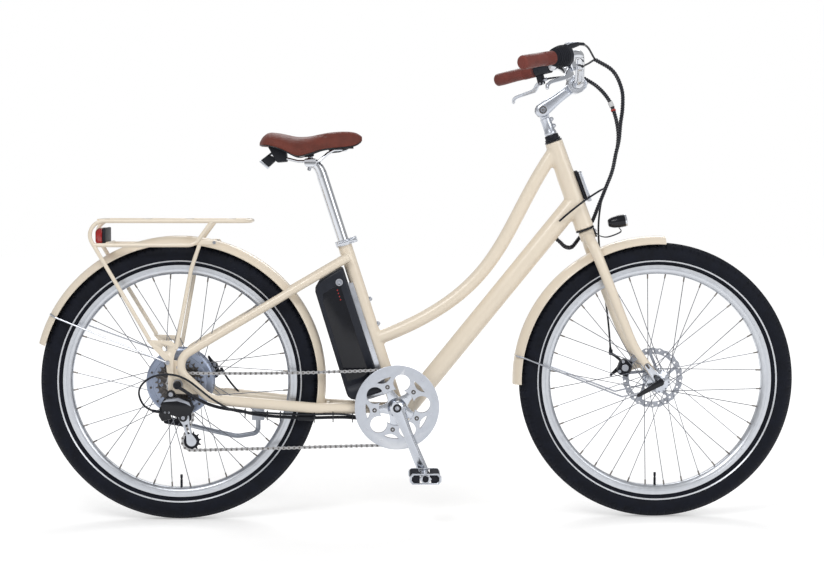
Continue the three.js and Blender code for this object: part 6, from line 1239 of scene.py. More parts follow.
def make_rack():
    foot_y = 76.3
    foot = Vector((-653, foot_y, 447))
    rear, front = Vector((-821, 60, 733)), Vector((-411, 60, 733))
    half = [foot, rear, front]
    loop = tube("rack_loop", bent([*half, *[flip(v) for v in reversed(half)]], [34] * 4), 5, 20)
    low = 675
    strut = rear.lerp(foot, 58 / 286)
    lower = tube("rack_lower", bent([strut, Vector((-545, 60, low)), Vector((-503, 60, 733))], [34]), 5, 20)
    leg = tube("rack_leg", bent([Vector((-534, 60, low)), Vector((-554, 60, 617)),
            Vector((-590, foot_y, 425))], [68]), 5, 20)
    outline_shares = [(-0.12, 1), (0.2, 1), (0.75, 0.98), (0.98, 0.82), (0.86, 0.6), (0.82, 0.45), (0.82, 0.02),
            (0.7, 0), (0.58, 0.12), (0.56, 0.4), (0.18, 0.72)]
    foot_plate = side_slab("rack_foot", [(-653 + a * 70, 360 + b * 87) for a, b in outline_shares], 73.9, 78.7, 1)
    foot_plate = cut(foot_plate, pin("foot_hole", Vector((-615.9, 60, 427)), Vector((-615.9, 90, 427)), 7, 0))
    tab = side_slab("rack_tab", [(-539, 676.5), (-494, 676.5), (-490, 681), (-494, 686.5),
            (-539, 686.5)], 58.5, 61.5, 0.8)
    side = joined("rack_side", [lower, leg, foot_plate, tab])
    slats = []
    for k in range(4):
        middle = rear.x + 50 + k * (front.x - rear.x - 100) / 3
        slats.append(slab("slat", [Vector((middle - 8, -58, 735)), Vector((middle + 8, -58, 735)),
                Vector((middle + 8, -58, 738)), Vector((middle - 8, -58, 738))], Vector((0, 116, 0)), 0.8))
    bar = pin("light_bar", Vector((-754.7, -58, 678)), Vector((-754.7, 58, 678)), 5)
    rack = joined("rear_rack_shown", [loop, *both_sides(side), *slats, bar])
    place(rack, "bike", cream, "cream_paint", "rear_rack")
    screws = []
    for way in (-1, 1):
        screws.append(hexagon_head("rack_screw", Vector((-586 + 1.5, way * 78.7, 382)), ACROSS * way, 9, 5))
        screws.append(hexagon_head("tab_screw", Vector((-498, way * 61.5, 681.5)), ACROSS * way, 8, 4))
        screws.append(pin("tab_nut", Vector((-498, way * 58.4, 681.5)), Vector((-498, way * 54, 681.5)), 4.5, 0.8, 6))
    place(joined("rack_screws", screws), "bike", steel, "silver_alloy")
    z = 673
    case = side_slab("light_case", [(-760.2, z), (-760.2, z + 43), (-768, z + 43), (-768, z)], -50, 50, 2)
    place(case, "bike", black_plastic, "black_plastic")
    lens = side_slab("tail_light_lens", [(-768.2, z + 2), (-768.2, z + 41), (-777, z + 43), (-785, z + 35),
            (-785, z + 9), (-777, z + 0.6)], -49, 49, 3, 3)
    place(lens, "bike", red_lens, "red_lens", "tail_light")
    ribs = [side_slab("lens_rib", [(-785.6, z + 12), (-784, z + 12), (-784, z + 32), (-785.6, z + 32)], y, y + 2, 0.4)
            for y in range(-30, 31, 10)]
    place(joined("tail_light_ribs", ribs), "bike", red_lens, "red_lens")


make_rack()


def fender_shell(name, start, end, centre):
    """A mudguard with rolled lips, between two angles about its axle."""
    section = []
    for k in range(17):
        across = -1 + k / 8
        fall = 18 * abs(across) ** 2.6
        section.append((across * 34, FENDER_RADIUS - fall))
    inner = [(y * 0.955, radius - 2.2) for y, radius in reversed(section)]
    parts = round((end - start) / 1.6)
    angles = [rad(start + (end - start) * k / parts) for k in range(parts + 1)]
    shell = skin(name, [[around(centre, radius, angle, y) for y, radius in section + inner]
            for angle in angles], angle=50)
    lips = []
    for side in (-1, 1):
        lips.append(tube("fender_lip", [around(centre, 338.6, angle, side * 33.2) for angle in angles], 1.3, 8))
    return joined(name, [shell, *lips])


def fender_stay(name, eye, knees, angle, centre, radii):
    """The wire that holds a mudguard from both ends of an axle."""
    half = [eye, *knees, around(centre, 338.5, rad(angle), 36), around(centre, 353.2, rad(angle), 27.2)]
    wire = tube(name, bent([*half, *[flip(v) for v in reversed(half)]], [*radii, *reversed(radii)], 12), 2.2, 12)
    eyes = [turned("stay_eye", [(-2.2, 2.6), (-2.2, 5.4), (2.2, 5.4), (2.2, 2.6)],
            Vector((eye.x, way * eye.y, eye.z)), ACROSS, 24) for way in (-1, 1)]
    return joined(name, [wire, *eyes])


def make_fenders():
    rear = fender_shell("rear_fender_shown", -10.5, 164.6, REAR)
    place(rear, "bike", cream, "cream_paint", "rear_fender")
    eye = REAR + Vector((-24, 81.6, 53))
    place(fender_stay("rear_fender_stay", eye, [], 152, REAR, [3, 3]), "bike", steel, "cream_paint")
    front = fender_shell("front_fender_shown", 87, 181.5, FRONT)
    place(front, "steering", cream, "cream_paint", "front_fender")
    eye = FRONT + Vector((-14, 58.5, -18))
    knee = FRONT + Vector((-92, 56, -36))
    place(fender_stay("front_fender_stay", eye, [knee], 170, FRONT, [10, 3, 3]), "steering", steel, "cream_paint")
    tab_foot = FRONT - HEAD_AHEAD * FORK_OFFSET
    tab = slab("fender_tab", [tab_foot + HEAD_UP * up + HEAD_AHEAD * a - ACROSS * 7
            for up, a in ((349, -1.2), (382.6, -1.2), (382.6, 1.2), (349, 1.2))], ACROSS * 14, 0.6)
    for name, body, (x, y, z), others in (("front_stay_screws", "steering", (572, 60.8, 322), [tab]),
            ("rear_stay_screws", "bike", (-610, 84, 393), [])):
        screws = [hexagon_head("stay_screw", Vector((x, way * y, z)), ACROSS * way, 7, 3.4) for way in (-1, 1)]
        place(joined(name, [*screws, *others]), body, steel, "steel")


make_fenders()

# Lamp and carrier plate


def make_lamp():
    lean = rad(10)
    ahead = Vector((math.cos(lean), 0, math.sin(lean)))
    up = Vector((-math.sin(lean), 0, math.cos(lean)))
    face = Vector((509, 0, 735))
    back = face - ahead * 45
    shell = turned("lamp_shell", [(0, 0), (0, 7), (2, 9.6), (9, 12.6), (14, 14), (27, 15.2), (38, 15.5), (44, 15.5),
            (45, 14.8), (45, 13.4), (42.2, 12.8), (42.2, 0)], back, ahead, 48)
    bands = [turned("lamp_band", [(at, 14.6), (at, 15.9), (at + 1.4, 15.9), (at + 1.4, 14.6)], back, ahead,
            48) for at in (24, 28, 32)]
    place(joined("headlight_shell", [shell, *bands]), "steering", gloss_black, "chrome", "headlight")
    ring = turned("headlight_rim", [(41.4, 13.2), (41.4, 15.7), (45.4, 15.7), (46, 15), (46, 13),
            (44, 12.6)], back, ahead, 48)
    place(ring, "steering", chrome, "chrome")
    glass = turned("headlight_glass", [(42.3, 0), (42.3, 12.5), (44.2, 12.3), (45.6, 8.5), (46, 0)], back, ahead, 40)
    place(glass, "steering", clear_lens, "chrome")
    start = on_head(-13, 19.4)
    line = line_through([start + Vector((2, 0, 0)), start + Vector((14, 0, -9)), start + Vector((34, 0, -11)),
            face - ahead * 18 - up * 26, face - ahead * 21 - up * 15], 26)
    section = [Vector(corner) for corner in ((0, -5, 1.4), (0, 5, 1.4), (0.6, 5, -1.4), (0.6, -5, -1.4))]
    strip = skin("lamp_wire", [[here + corner for corner in section] for here in line])
    foot = slab("lamp_foot", [on_head(-13 + a, 19.4, b)
            for a, b in ((-12, -7), (12, -7), (12, 7), (-12, 7))], HEAD_AHEAD * 2.6, 0.6)
    place(joined("headlight_bracket", [strip, foot]), "steering", black_plastic, "chrome")
    screw = hexagon_head("lamp_screw", on_head(-9, 22), HEAD_AHEAD, 8, 4)
    place(screw, "steering", steel, "steel")
    plate = slab("carrier_plate_shown", [on_head(height, 29, side)
            for height, side in ((64, -22), (64, 22), (66, 25), (138, 25), (142, 20), (142, -20), (138, -25),
            (66, -25))], HEAD_AHEAD * 8, 1.2)
    holes = [pin("plate_hole", on_head(height, 25, side), on_head(height, 40, side), 3.2, 0, 20)
            for height in (76, 100) for side in (-14, 14)]
    place(flat_sided(cut(plate, *holes)), "bike", silver, "silver_alloy", "carrier_plate")
    spacer = slab("carrier_spacer", [on_head(72 + a, 23, b)
            for a, b in ((0, -15), (0, 15), (74, 15), (74, -15))], HEAD_AHEAD * 5.7, 0.8)
    place(spacer, "bike", black_plastic, "black_plastic")
    bolt = hexagon_head("carrier_screw", on_head(126, 37), HEAD_AHEAD, 10, 3)
    place(bolt, "bike", black_plastic, "steel")


make_lamp()

# Wheels

# Half the tyre's section from crown to bead: radius, place across, and whether a groove runs there
TYRE_SECTION = [(340, 0, 0), (339.9, 3, 0), (339.5, 6, 0), (339.3, 6.6, 1), (339.1, 8, 1), (338.9, 8.6, 0),
        (338, 11.4, 0), (336.5, 14.2, 0), (336.2, 14.8, 1), (335.5, 16, 1), (335.2, 16.6, 0), (332.7, 20, 0),
        (329.8, 22.9, 0), (326.4, 25.4, 0), (322.6, 27.5, 0), (318, 29.2, 0), (312, 30, 0), (306, 29.4, 0),
        (300.5, 27.3, 0), (297.2, 25.2, 0), (294, 22.4, 0), (291, 19.5, 0), (289, 17.3, 0), (287.3, 15, 0),
        (286.1, 13.2, 0), (285.9, 12.7, 0), (278, 12.7, 0)]
TYRE_MIDDLE = 312
TREAD_DEPTH = 1.6
SPOKES, NIPPLE_SEAT = 36, 263.4


def make_tyre(centre, body, node):
    section = [(radius, -side, groove) for radius, side, groove in reversed(TYRE_SECTION[1:])] + TYRE_SECTION
    pitches = 100
    starts = [(0, 0), (0.07, SIDE_RIGHT), (0.2, SIDE_RIGHT), (0.27, 0), (0.5, 0), (0.57, SIDE_LEFT),
            (0.7, SIDE_LEFT), (0.77, 0)]
    rings = []
    for pitch in range(pitches):
        for share, sipe in starts:
            angle = rad(360 * (pitch + share) / pitches)
            ring = []
            for radius, side, groove in section:
                sunk = groove
                if sipe and 9.5 < side * sipe < 26 and radius > 320:
                    sunk = 1
                if sunk:
                    way = Vector((radius - TYRE_MIDDLE, side)).normalized() * TREAD_DEPTH
                    radius, side = radius - way.x, side - way.y
                ring.append(around(centre, radius, angle, side))
            rings.append(ring)
    tyre = skin(node + "_tread", rings, looped=True, angle=40)
    place(tyre, body, tyre_rubber, "tyre", node)
    bands = []
    for way in (-1, 1):
        bands.append(turned("band", [(way * 22.5, 293.9), (way * 23.8, 295.4), (way * 25.1, 297), (way * 25.6, 296.9),
                (way * 24.3, 295.2), (way * 22.95, 293.7)], centre, ACROSS, 120))
    place(joined(node + "_band", bands), body, reflex, "tyre")


def make_rim(centre, body, node):
    half = [(13, 276), (13, 284.9), (13.5, 285.5), (14.5, 285.5), (15, 285), (15, 276.4), (14.7, 276), (15, 275.6),
            (15, 270.5), (14.6, 269.4), (9.5, 264.2), (8.3, 263.2), (4.6, 262.5)]
    profile = half + [(-side, radius) for side, radius in reversed(half)]
    rim = turned(node + "_shown", profile, centre, ACROSS, 144, 25)
    place(rim, body, rim_metal, "silver_alloy", node)
    foot = centre - Vector((0, 0, 263))
    valve = turned("valve", [(-2, 0), (-2, 3.4), (1.2, 3.4), (1.6, 3), (18, 3), (19, 2.5), (23, 2.5), (23, 3.1),
            (30.6, 3.1), (31.4, 2.2), (31.6, 0)], foot, Vector((0, 0, 1)), 20)
    place(valve, body, rubber, "black_rubber").name = node + "_valve"


def make_spokes(centre, body, flange_radius, flanges, crossings, name):
    """Four spokes of one repeat, copied round the wheel."""
    wires, nipples = [], []
    for k in range(4):
        side = 1 if k % 2 == 0 else -1
        lead = 1 if k // 2 % 2 == 0 else -1
        rim_turn = (k + 0.5) * 2 * math.pi / SPOKES
        hub_turn = rim_turn + lead * crossings * 4 * math.pi / SPOKES
        flange = flanges[1 if side > 0 else 0]
        hole = centre + Vector((math.cos(hub_turn), 0, math.sin(hub_turn))) * (flange_radius - 1.9)
        rim_end = centre + Vector((math.cos(rim_turn), 0, math.sin(rim_turn))) * NIPPLE_SEAT + ACROSS * side * 3
        inside = hole + ACROSS * (flange - lead * 2.6)
        outside = hole + ACROSS * (flange + lead * 2.5)
        wires.append(tube("wire", bent([inside, outside, rim_end], [1.6], 30), 1.0, 8, angle=60))
        wires.append(pin("spoke_head", inside - ACROSS * lead * 0.8, inside + ACROSS * lead * 0.2, 1.9, 0.4, 10))
        way = (outside - rim_end).normalized()
        nipples.append(pin("nipple", rim_end - way, rim_end + way * 12, 1.9, 0.6, 8))
    for bare, title, metal in ((joined("wires", wires), name, spoke_steel),
            (joined("nipples", nipples), name + "_nipples", dark_steel)):
        ring = [bare] + [copied(bare, "turn", about_y(centre.x, centre.z, 360 * k * 4 / SPOKES))
                for k in range(1, SPOKES // 4)]
        place(joined(title, ring), body, metal, "steel")


def make_rotor(centre, side, body, node):
    lobes, count = 24, 192
    outline_places = []
    for k in range(count):
        angle = 2 * math.pi * k / count
        radius = 74.9 + 1.1 * math.cos(lobes * angle)
        outline_places.append((centre.x + radius * math.cos(angle), centre.z + radius * math.sin(angle)))
    disc = side_slab(node + "_shown", outline_places, side - 0.9, side + 0.9, 0.25, 1)
    windows = []
    for k in range(5):
        start = 72 * k
        inner = arc(centre.x, centre.z, 27, start + 9, start + 63, 8)
        outer = arc(centre.x, centre.z, 60, start + 24 + 68, start + 24 + 4, 14)
        windows.append(side_slab("window", inner + outer, side - 2, side + 2, 0))
    holes = []
    for k in range(26):
        angle = 2 * math.pi * (k + 0.5) / 26
        radius = 68 + (2 if k % 2 else -2)
        here = Vector((centre.x + radius * math.cos(angle), side, centre.z + radius * math.sin(angle)))
        holes.append(pin("hole", here - ACROSS * 2, here + ACROSS * 2, 2.7, 0, 14))
    bore = pin("bore", centre + ACROSS * (side - 2), centre + ACROSS * (side + 2), 11.4, 0, 32)
    disc = cut(disc, joined("windows", windows), joined("holes", holes), bore)
    place(flat_sided(disc), body, steel, "steel", node)
    screws = []
    for k in range(6):
        angle = 2 * math.pi * k / 6
        screws.append(hexagon_head("rotor_screw", around(centre, 17.5, angle, side + 0.9), ACROSS, 6.4, 2))
    place(joined(node + "_screws", screws), body, dark_steel, "steel")


def make_front_hub():
    profile = [(-49.6, 5.2), (-49.6, 9.4), (-49, 10), (-44.5, 10.4), (-43.5, 13.5), (-40, 15), (-37.4, 20),
            (-36.8, 28), (-36.2, 29), (-33.8, 29), (-33.2, 28), (-32.6, 20), (-29, 15.6), (-20, 14.2), (10, 14.2),
            (19, 15.6), (22.6, 20), (23.2, 28), (23.8, 29), (26.2, 29), (26.8, 28), (27.4, 22), (30, 19.6),
            (39.2, 19.6), (39.8, 19), (39.8, 11), (49, 10.6), (49.6, 10), (49.6, 5.2)]
    hub = turned("front_hub_shell", profile, FRONT, ACROSS, 64, 30)
    place(hub, "front_wheel", polished, "polished_alloy", "front_hub")
    seals = [turned("hub_seal", [(way * 49.7, 5.1), (way * 49.7, 9), (way * 50, 8.6), (way * 50, 5.1)], FRONT,
            ACROSS, 32) for way in (-1, 1)]
    place(joined("front_hub_seals", seals), "front_wheel", rubber, "black_rubber")
    make_spokes(FRONT, "front_wheel", 29, (-35, 25), 3, "front_spokes")


def make_motor():
    profile = [(-33.1, 7), (-33.1, 21), (-32.4, 22), (-29.6, 58), (-28.6, 64.5), (-27.6, 65.6), (-26.6, 65.8),
            (-26.6, 77.6), (-25.8, 79), (-24.6, 81.4), (-23.8, 82), (-20.4, 82), (-19.6, 81.2), (-19.4, 79.6),
            (19.4, 79.6), (19.6, 81.2), (20.4, 82), (23.8, 82), (24.6, 81.4), (25.8, 79), (26.6, 77.6), (26.6, 65.8),
            (27.6, 65.6), (28.6, 64.5), (30, 50), (33.6, 23), (34.6, 20.2), (47.2, 19.8), (47.8, 19), (47.8, 11),
            (66.6, 10.6), (67.2, 10), (67.2, 7)]
    motor = turned("motor_shell", profile, REAR, ACROSS, 96, 25)
    place(motor, "rear_wheel", motor_metal, "silver_alloy", "hub_motor")
    screws = []
    for way in (-1, 1):
        for k in range(12):
            angle = rad(30 * k + 11)
            screws.append(hexagon_head("motor_screw", around(REAR, 71.6, angle, way * 26.4), ACROSS * way, 5.6, 2.4))
    place(joined("motor_screws", screws), "rear_wheel", dark_steel, "steel")
    make_spokes(REAR, "rear_wheel", 82, (-22, 22), 1, "rear_spokes")


for axle, which in ((FRONT, "front"), (REAR, "rear")):
    make_tyre(axle, which + "_wheel", which + "_tyre")
    make_rim(axle, which + "_wheel", which + "_rim")
make_front_hub()
make_motor()
FRONT_DISC, REAR_DISC = 41, 49
make_rotor(FRONT, FRONT_DISC, "front_wheel", "front_rotor")
make_rotor(REAR, REAR_DISC, "rear_wheel", "rear_rotor")

# Axles and brakes


def make_axles():
    ends = FRONT + ACROSS * 56.4
    nut = turned("axle_nut", [(0, 4.8), (0, 8.6), (1, 9), (2.4, 9), (3, 8), (8, 7.6), (9, 6.6), (9, 0), (8, 0),
            (8, 4.8)], ends, ACROSS, 32)
    rod = pin("skewer", FRONT - ACROSS * 65, FRONT + ACROSS * 60, 4.4, 0.6, 24)
    cam = turned("axle_cam", [(0, 4.8), (0, 8.8), (1.4, 9), (7.6, 9), (8.9, 8), (8.9, 4.8)],
            FRONT - ACROSS * 56.4, -ACROSS, 32)
    place(joined("front_axle_shown", [nut, rod, cam]), "steering", polished, "steel", "front_axle")
    lever = refined("front_axle_lever", 1.1, 3)
    place(lever, "front_lever", gloss_black, "black_plastic", "front_axle_lever")
    parts = [pin("axle_bar", REAR - ACROSS * 91, REAR + ACROSS * 91, 5.9, 0.8, 24)]
    for way in (-1, 1):
        face = REAR + ACROSS * (way * 73.9)
        parts.append(turned("washer", [(0, 6.2), (0, 11.4), (1.6, 11.4), (1.6, 6.2)], face, ACROSS * way, 32))
        parts.append(hexagon_head("axle_nut", face + ACROSS * (way * 1.7), ACROSS * way, 18, 9, socket=False))
    place(joined("rear_axle_shown", parts), "bike", steel, "steel", "rear_axle")


def make_caliper(node, arm_node, body, arm_body, centre, side, turn):
    angle = rad(turn)

    def at(out, along, y):
        """A place by the caliper: out from the axle, along the disc's edge and across."""
        return centre + Vector((out * math.cos(angle) - along * math.sin(angle), y,
                out * math.sin(angle) + along * math.cos(angle)))

    place(refined(node, 1.4, 3), body, black_plastic, "black_plastic", node)
    place(refined(arm_node, 0.7), arm_body, gloss_black, "black_plastic", arm_node)
    bright = [hexagon_head("caliper_screw", at(86, along, side - 13), -ACROSS, 8, 2.4) for along in (-13, 13)]
    bright.append(hexagon_head("arm_screw", at(81, 0, side + 20), ACROSS, 9, 4))
    bright.append(turned("pad_knob", [(0, 0), (0, 8), (0.8, 8.8), (2.2, 8.8), (2.8, 8), (2.8, 0)],
            at(76, 0, side - 13), -ACROSS, 24))
    place(joined(node + "_screws", bright), body, steel, "steel")
    pads = side_slab("pads", [tuple(at(out, along, 0)[i] for i in (0, 2))
            for out, along in ((58, -10), (62.4, -13), (62.4, 13), (58, 10))], side - 5, side - 1.4, 0.4)
    place(pads, body, dark_steel, "steel").name = node + "_pads"


make_axles()
make_caliper("front_caliper", "front_caliper_arm", "steering", "front_brake_arm", FRONT, FRONT_DISC, 160)
make_caliper("rear_caliper", "rear_caliper_arm", "bike", "rear_brake_arm", REAR, REAR_DISC, 16)

# Drive

PITCH = 12.7
RING_TEETH, PULLEY_TEETH = 46, 11
SPROCKETS = [28, 24, 21, 19, 17, 15, 13]
CHAIN_FRONT, CHAIN_REAR = -48, -62.0
GUIDE, TENSION = Vector((REAR.x + 13, CHAIN_REAR, REAR.z - 80)), Vector((REAR.x + 31, CHAIN_REAR, REAR.z - 140))
CRANK_TURN, CRANK_LONG = rad(-67.5), 170
FIRST_LEG = 43
RIGHT_PEDAL = around(BRACKET, CRANK_LONG, CRANK_TURN)
LEFT_PEDAL = BRACKET * 2 - RIGHT_PEDAL


def pitch_radius(teeth):
    return PITCH / 2 / math.sin(math.pi / teeth)


def toothed(centre, teeth, root, tip, phase=0.0):
    """The outline of a toothed wheel."""
    places = []
    for k in range(teeth):
        for share, radius in ((-0.22, root), (-0.06, tip), (0.06, tip), (0.22, root), (0.5, root - 0.5)):
            angle = 2 * math.pi * (k + share) / teeth + phase
            places.append((centre.x + radius * math.cos(angle), centre.z + radius * math.sin(angle)))
    return places


def chain_line():
    """The chain's closed line over the ring, both pulleys and the smallest sprocket."""
    wheels = [(BRACKET + ACROSS * CHAIN_FRONT, pitch_radius(RING_TEETH), 1), (TENSION, pitch_radius(PULLEY_TEETH), 1),
            (GUIDE, pitch_radius(PULLEY_TEETH), -1), (Vector((REAR.x, CHAIN_REAR, REAR.z)),
            pitch_radius(SPROCKETS[-1]), 1)]
    ways = []
    for k, (centre, radius, turn) in enumerate(wheels):
        after, radius_after, turn_after = wheels[(k + 1) % 4]
        gap = after - centre
        span = math.hypot(gap.x, gap.z)
        ways.append(math.atan2(gap.z, gap.x) + math.asin((turn_after * radius_after - turn * radius) / span))
    line = []

    def on_wheel(k, way):
        centre, radius, turn = wheels[k]
        return around(centre, radius, way + turn * math.pi / 2)

    for k, (centre, radius, turn) in enumerate(wheels):
        arriving = ways[(k + 3) % 4]
        wrap = math.fmod(ways[k] - arriving, 2 * math.pi)
        if turn > 0 and wrap > 0:
            wrap -= 2 * math.pi
        if turn < 0 and wrap < 0:
            wrap += 2 * math.pi
        parts = math.ceil(abs(wrap) / rad(3))
        line += [on_wheel(k, arriving + wrap * part / parts) for part in range(parts)]
        leave, reach = on_wheel(k, ways[k]), on_wheel((k + 1) % 4, ways[k])
        sag = 20 if k == 3 else 0
        steps = math.ceil((reach - leave).length / 4)
        for step in range(steps):
            share = step / steps
            ease = share * share * (3 - 2 * share)
            here = leave.lerp(reach, share)
            here.y = leave.y + (reach.y - leave.y) * ease
            here.z -= sag * share * (1 - share)
            line.append(here)
    return line


def link_plate(low, high, waist, end):
    shape = [(math.cos(rad(a)) * end, math.sin(rad(a)) * end) for a in range(60, 301, 40)]
    shape += [(PITCH / 2, -waist)]
    shape += [(PITCH + math.cos(rad(a)) * end, math.sin(rad(a)) * end) for a in range(-120, 121, 40)]
    shape += [(PITCH / 2, waist)]
    return side_slab("link_plate", shape, low, high, 0)


def make_chain():
    line = chain_line()
    reach = sum((b - a).length for a, b in zip(line, [*line[1:], line[0]]))
    links = 2 * round(reach / PITCH / 2)
    spots = evenly(line, links, True)
    outer = [link_plate(2.2, 3.2, 2.4, 4.1), link_plate(-3.2, -2.2, 2.4, 4.1)]
    inner = [link_plate(1.15, 2.1, 2.6, 4.0), link_plate(-2.1, -1.15, 2.6, 4.0)]
    pins = [pin("chain_pin", Vector((0, -3.7, 0)), Vector((0, 3.7, 0)), 2.4, 0.3, 10),
            pin("chain_roller", Vector((0, -1.1, 0)), Vector((0, 1.1, 0)), 3.8, 0.2, 12)]
    patterns = [joined("outer_link", outer), joined("inner_link", inner), joined("link_pin", pins)]
    copies = [[], [], []]
    for k in range(links):
        here, there = spots[k], spots[(k + 1) % links]
        along = there - here
        size = along.length / PITCH
        along.normalize()
        up = ACROSS.cross(along) * -1
        side = up.cross(along)
        turn = Matrix((along, side, up)).transposed().to_4x4()
        matrix = Matrix.Translation(here * MM) @ turn @ Matrix.Scale(size, 4, Vector((1, 0, 0)))
        copies[k % 2].append(copied(patterns[k % 2], "link", matrix))
        copies[2].append(copied(patterns[2], "joint", matrix))
    for pattern in patterns:
        bpy.data.objects.remove(pattern)
    place(joined("chain_outer_links", copies[0]), "bike", chain_plate, "chain_steel", "chain")
    place(joined("chain_inner_links", copies[1]), "bike", chain_plate, "chain_steel")
    place(joined("chain_pins", copies[2]), "bike", dark_steel, "chain_steel")
    return spots


def make_chainring(spots):
    near = min((here for here in spots if here.x > BRACKET.x), key=lambda here: abs(here.z - BRACKET.z))
    phase = math.atan2(near.z - BRACKET.z, near.x - BRACKET.x) + math.pi / RING_TEETH
    radius = pitch_radius(RING_TEETH)
    ring = side_slab("tooth_ring", toothed(BRACKET, RING_TEETH, radius - 3.4, radius + 3, phase), -49, -46.9, 0.3, 1)
    guard = side_slab("chain_guard", arc(BRACKET.x, BRACKET.z, 103, 0, 358, 179), -56.5, -54.1, 0.7)
    tools = {ring.name: [], guard.name: []}
    for piece, low, high in ((ring, -52, -44), (guard, -59, -51)):
        middle = BRACKET + ACROSS * low
        tools[piece.name].append(pin("middle_hole", middle, middle + ACROSS * (high - low), 44, 0, 64))
        for k in range(5):
            hole = around(middle, 61, rad(FIRST_LEG + 72 * k + 36))
            tools[piece.name].append(pin("window", hole, hole + ACROSS * (high - low), 20.5, 0, 40))
    eyes, deep_eyes = [], []
    for k in range(5):
        turn = FIRST_LEG + 72 * k
        outer = arc(BRACKET.x, BRACKET.z, 76.5, turn - 14, turn + 14, 10)
        inner = [(BRACKET.x + r * math.cos(rad(turn + a)), BRACKET.z + r * math.sin(rad(turn + a)))
                for a, r in ((12, 73.5), (8, 69.5), (4, 67.2), (0, 66.4), (-4, 67.2), (-8, 69.5), (-12, 73.5))]
        eyes.append(side_slab("eye", outer + inner, -59, -51, 0))
        deep_eyes.append(side_slab("deep_eye", outer + inner, -50.5, -44, 0))
    tools[guard.name].append(joined("eyes", eyes))
    tools[ring.name].append(joined("deep_eyes", deep_eyes))
    ring, guard = cut(ring, *tools[ring.name]), cut(guard, *tools[guard.name])
    place(flat_sided(ring), "crankset", steel, "silver_alloy", "chainring")
    place(flat_sided(soften(guard, 0.35, 1)), "crankset", silver, "silver_alloy")
    bolts, marks = [], []
    for k in range(5):
        middle = around(BRACKET, 55, rad(FIRST_LEG + 72 * k))
        face = middle - ACROSS * 56.5
        bolts.append(turned("ring_bolt", [(0, 0), (0, 4.9), (0.8, 5.6), (1.6, 5.2), (1.9, 4.6), (1.9, 2.6),
                (0.9, 2.6), (0.9, 0)], face, -ACROSS, 24))
        bolts.append(pin("bolt_body", face, middle - ACROSS * 46.4, 3.9, 0.4, 16))
        marks.append(turned("bolt_socket", [(0.95, 0), (0.95, 2.55), (1.2, 2.5), (1.2, 0)], face, -ACROSS, 6))
    place(joined("ring_bolts", bolts), "crankset", dark_steel, "steel")
    place(joined("ring_bolt_sockets", marks), "crankset", steel, "steel")


def crank_arm():
    """One arm along +X from the origin, its inner face at y = 0 and its outer face towards -Y."""
    rings = []
    stations = [-16.9, -16, -13.5, -9, -4, 2, 12, 26, 44, 66, 90, 114, 136, 152, 162, 170, 176, 180.4, 182.6, 183]
    for s in stations:
        if s < 2:
            half = math.sqrt(max(0.4, 17 ** 2 - min(0, s) ** 2))
        elif s > CRANK_LONG:
            half = math.sqrt(max(0.4, 13.05 ** 2 - (s - CRANK_LONG) ** 2))
        else:
            half = 17 - 5.6 * min(1, s / 62) + 1.6 * max(0, (s - 62) / 108)
        depth = 13 if s < 150 else 13 - 1.5 * (s - 150) / 33
        shape = [(-1, 0.16), (-0.9, 0), (0.9, 0), (1, 0.16), (1, 0.5), (0.9, 0.74), (0.62, 0.95), (0.42, 1),
                (0.2, 0.97), (-0.3, 0.84), (-0.75, 0.68), (-1, 0.46)]
        rings.append([Vector((s, -depth * v, half * u)) for u, v in shape])
    return skin("arm", rings, angle=28)


def make_cranks():
    right_arm = crank_arm()
    right_arm.data.transform(Matrix.Translation((BRACKET - ACROSS * 60) * MM) @ Matrix.Rotation(-CRANK_TURN, 4, "Y"))
    legs = []
    for k in range(5):
        shape = [(4, -17), (20, -15.5), (34, -10.5), (48, -8.6), (57, -8.2), (62.5, -4.6), (63.6, 0)]
        shape = shape + [(x, -z) for x, z in reversed(shape[:-1])]
        flat = spin_flat(shape, FIRST_LEG + 72 * k, BRACKET.x, BRACKET.z)
        legs.append(side_slab("spider_leg", flat, -53.8, -49.8, 1.2, 2))
    boss = turned("boss", [(49.8, 8.9), (49.8, 21), (53, 24), (56.5, 22), (60.5, 17.5), (62, 17),
            (62, 8.9)], BRACKET, -ACROSS, 48)
    axle_profile = [(60.5, 0), (60.5, 6.6), (81, 6.6), (81.6, 4.9), (123, 4.9), (124, 4), (124, 0)]
    axle = turned("pedal_axle", axle_profile, RIGHT_PEDAL, -ACROSS, 24)
    place(joined("right_crank_shown", [right_arm, boss, axle, *legs]), "crankset", polished,
            "polished_alloy", "right_crank")
    left_arm = crank_arm()
    left_arm.data.transform(MIRROR)
    left_arm.data.flip_normals()
    left_arm.data.transform(Matrix.Translation((BRACKET + ACROSS * 60) * MM)
            @ Matrix.Rotation(-CRANK_TURN - math.pi, 4, "Y"))
    spindle = pin("spindle", BRACKET - ACROSS * 66, BRACKET + ACROSS * 62, 8.4, 0.8, 32)
    left_axle = turned("pedal_axle", axle_profile, LEFT_PEDAL, ACROSS, 24)
    place(joined("left_crank_shown", [left_arm, spindle, left_axle]), "crankset", polished,
            "polished_alloy", "left_crank")
    caps, bolts = [], []
    for way in (-1, 1):
        face = BRACKET + ACROSS * (way * 71.6)
        caps.append(turned("crank_cap", [(0, 5.6), (0, 10.4), (1.6, 10.4), (2.2, 9.6), (2.2, 6),
                (1.2, 5.6)], face, ACROSS * way, 32))
        bolts.append(hexagon_head("crank_screw", face + ACROSS * (way * -0.4), ACROSS * way, 11, 2))
    place(joined("crank_caps", caps), "crankset", gloss_black, "black_plastic")
    place(joined("crank_screws", bolts), "crankset", steel, "steel")
    place(refined("bottom_bracket", 0.8), "bike", steel, "steel", "bottom_bracket")


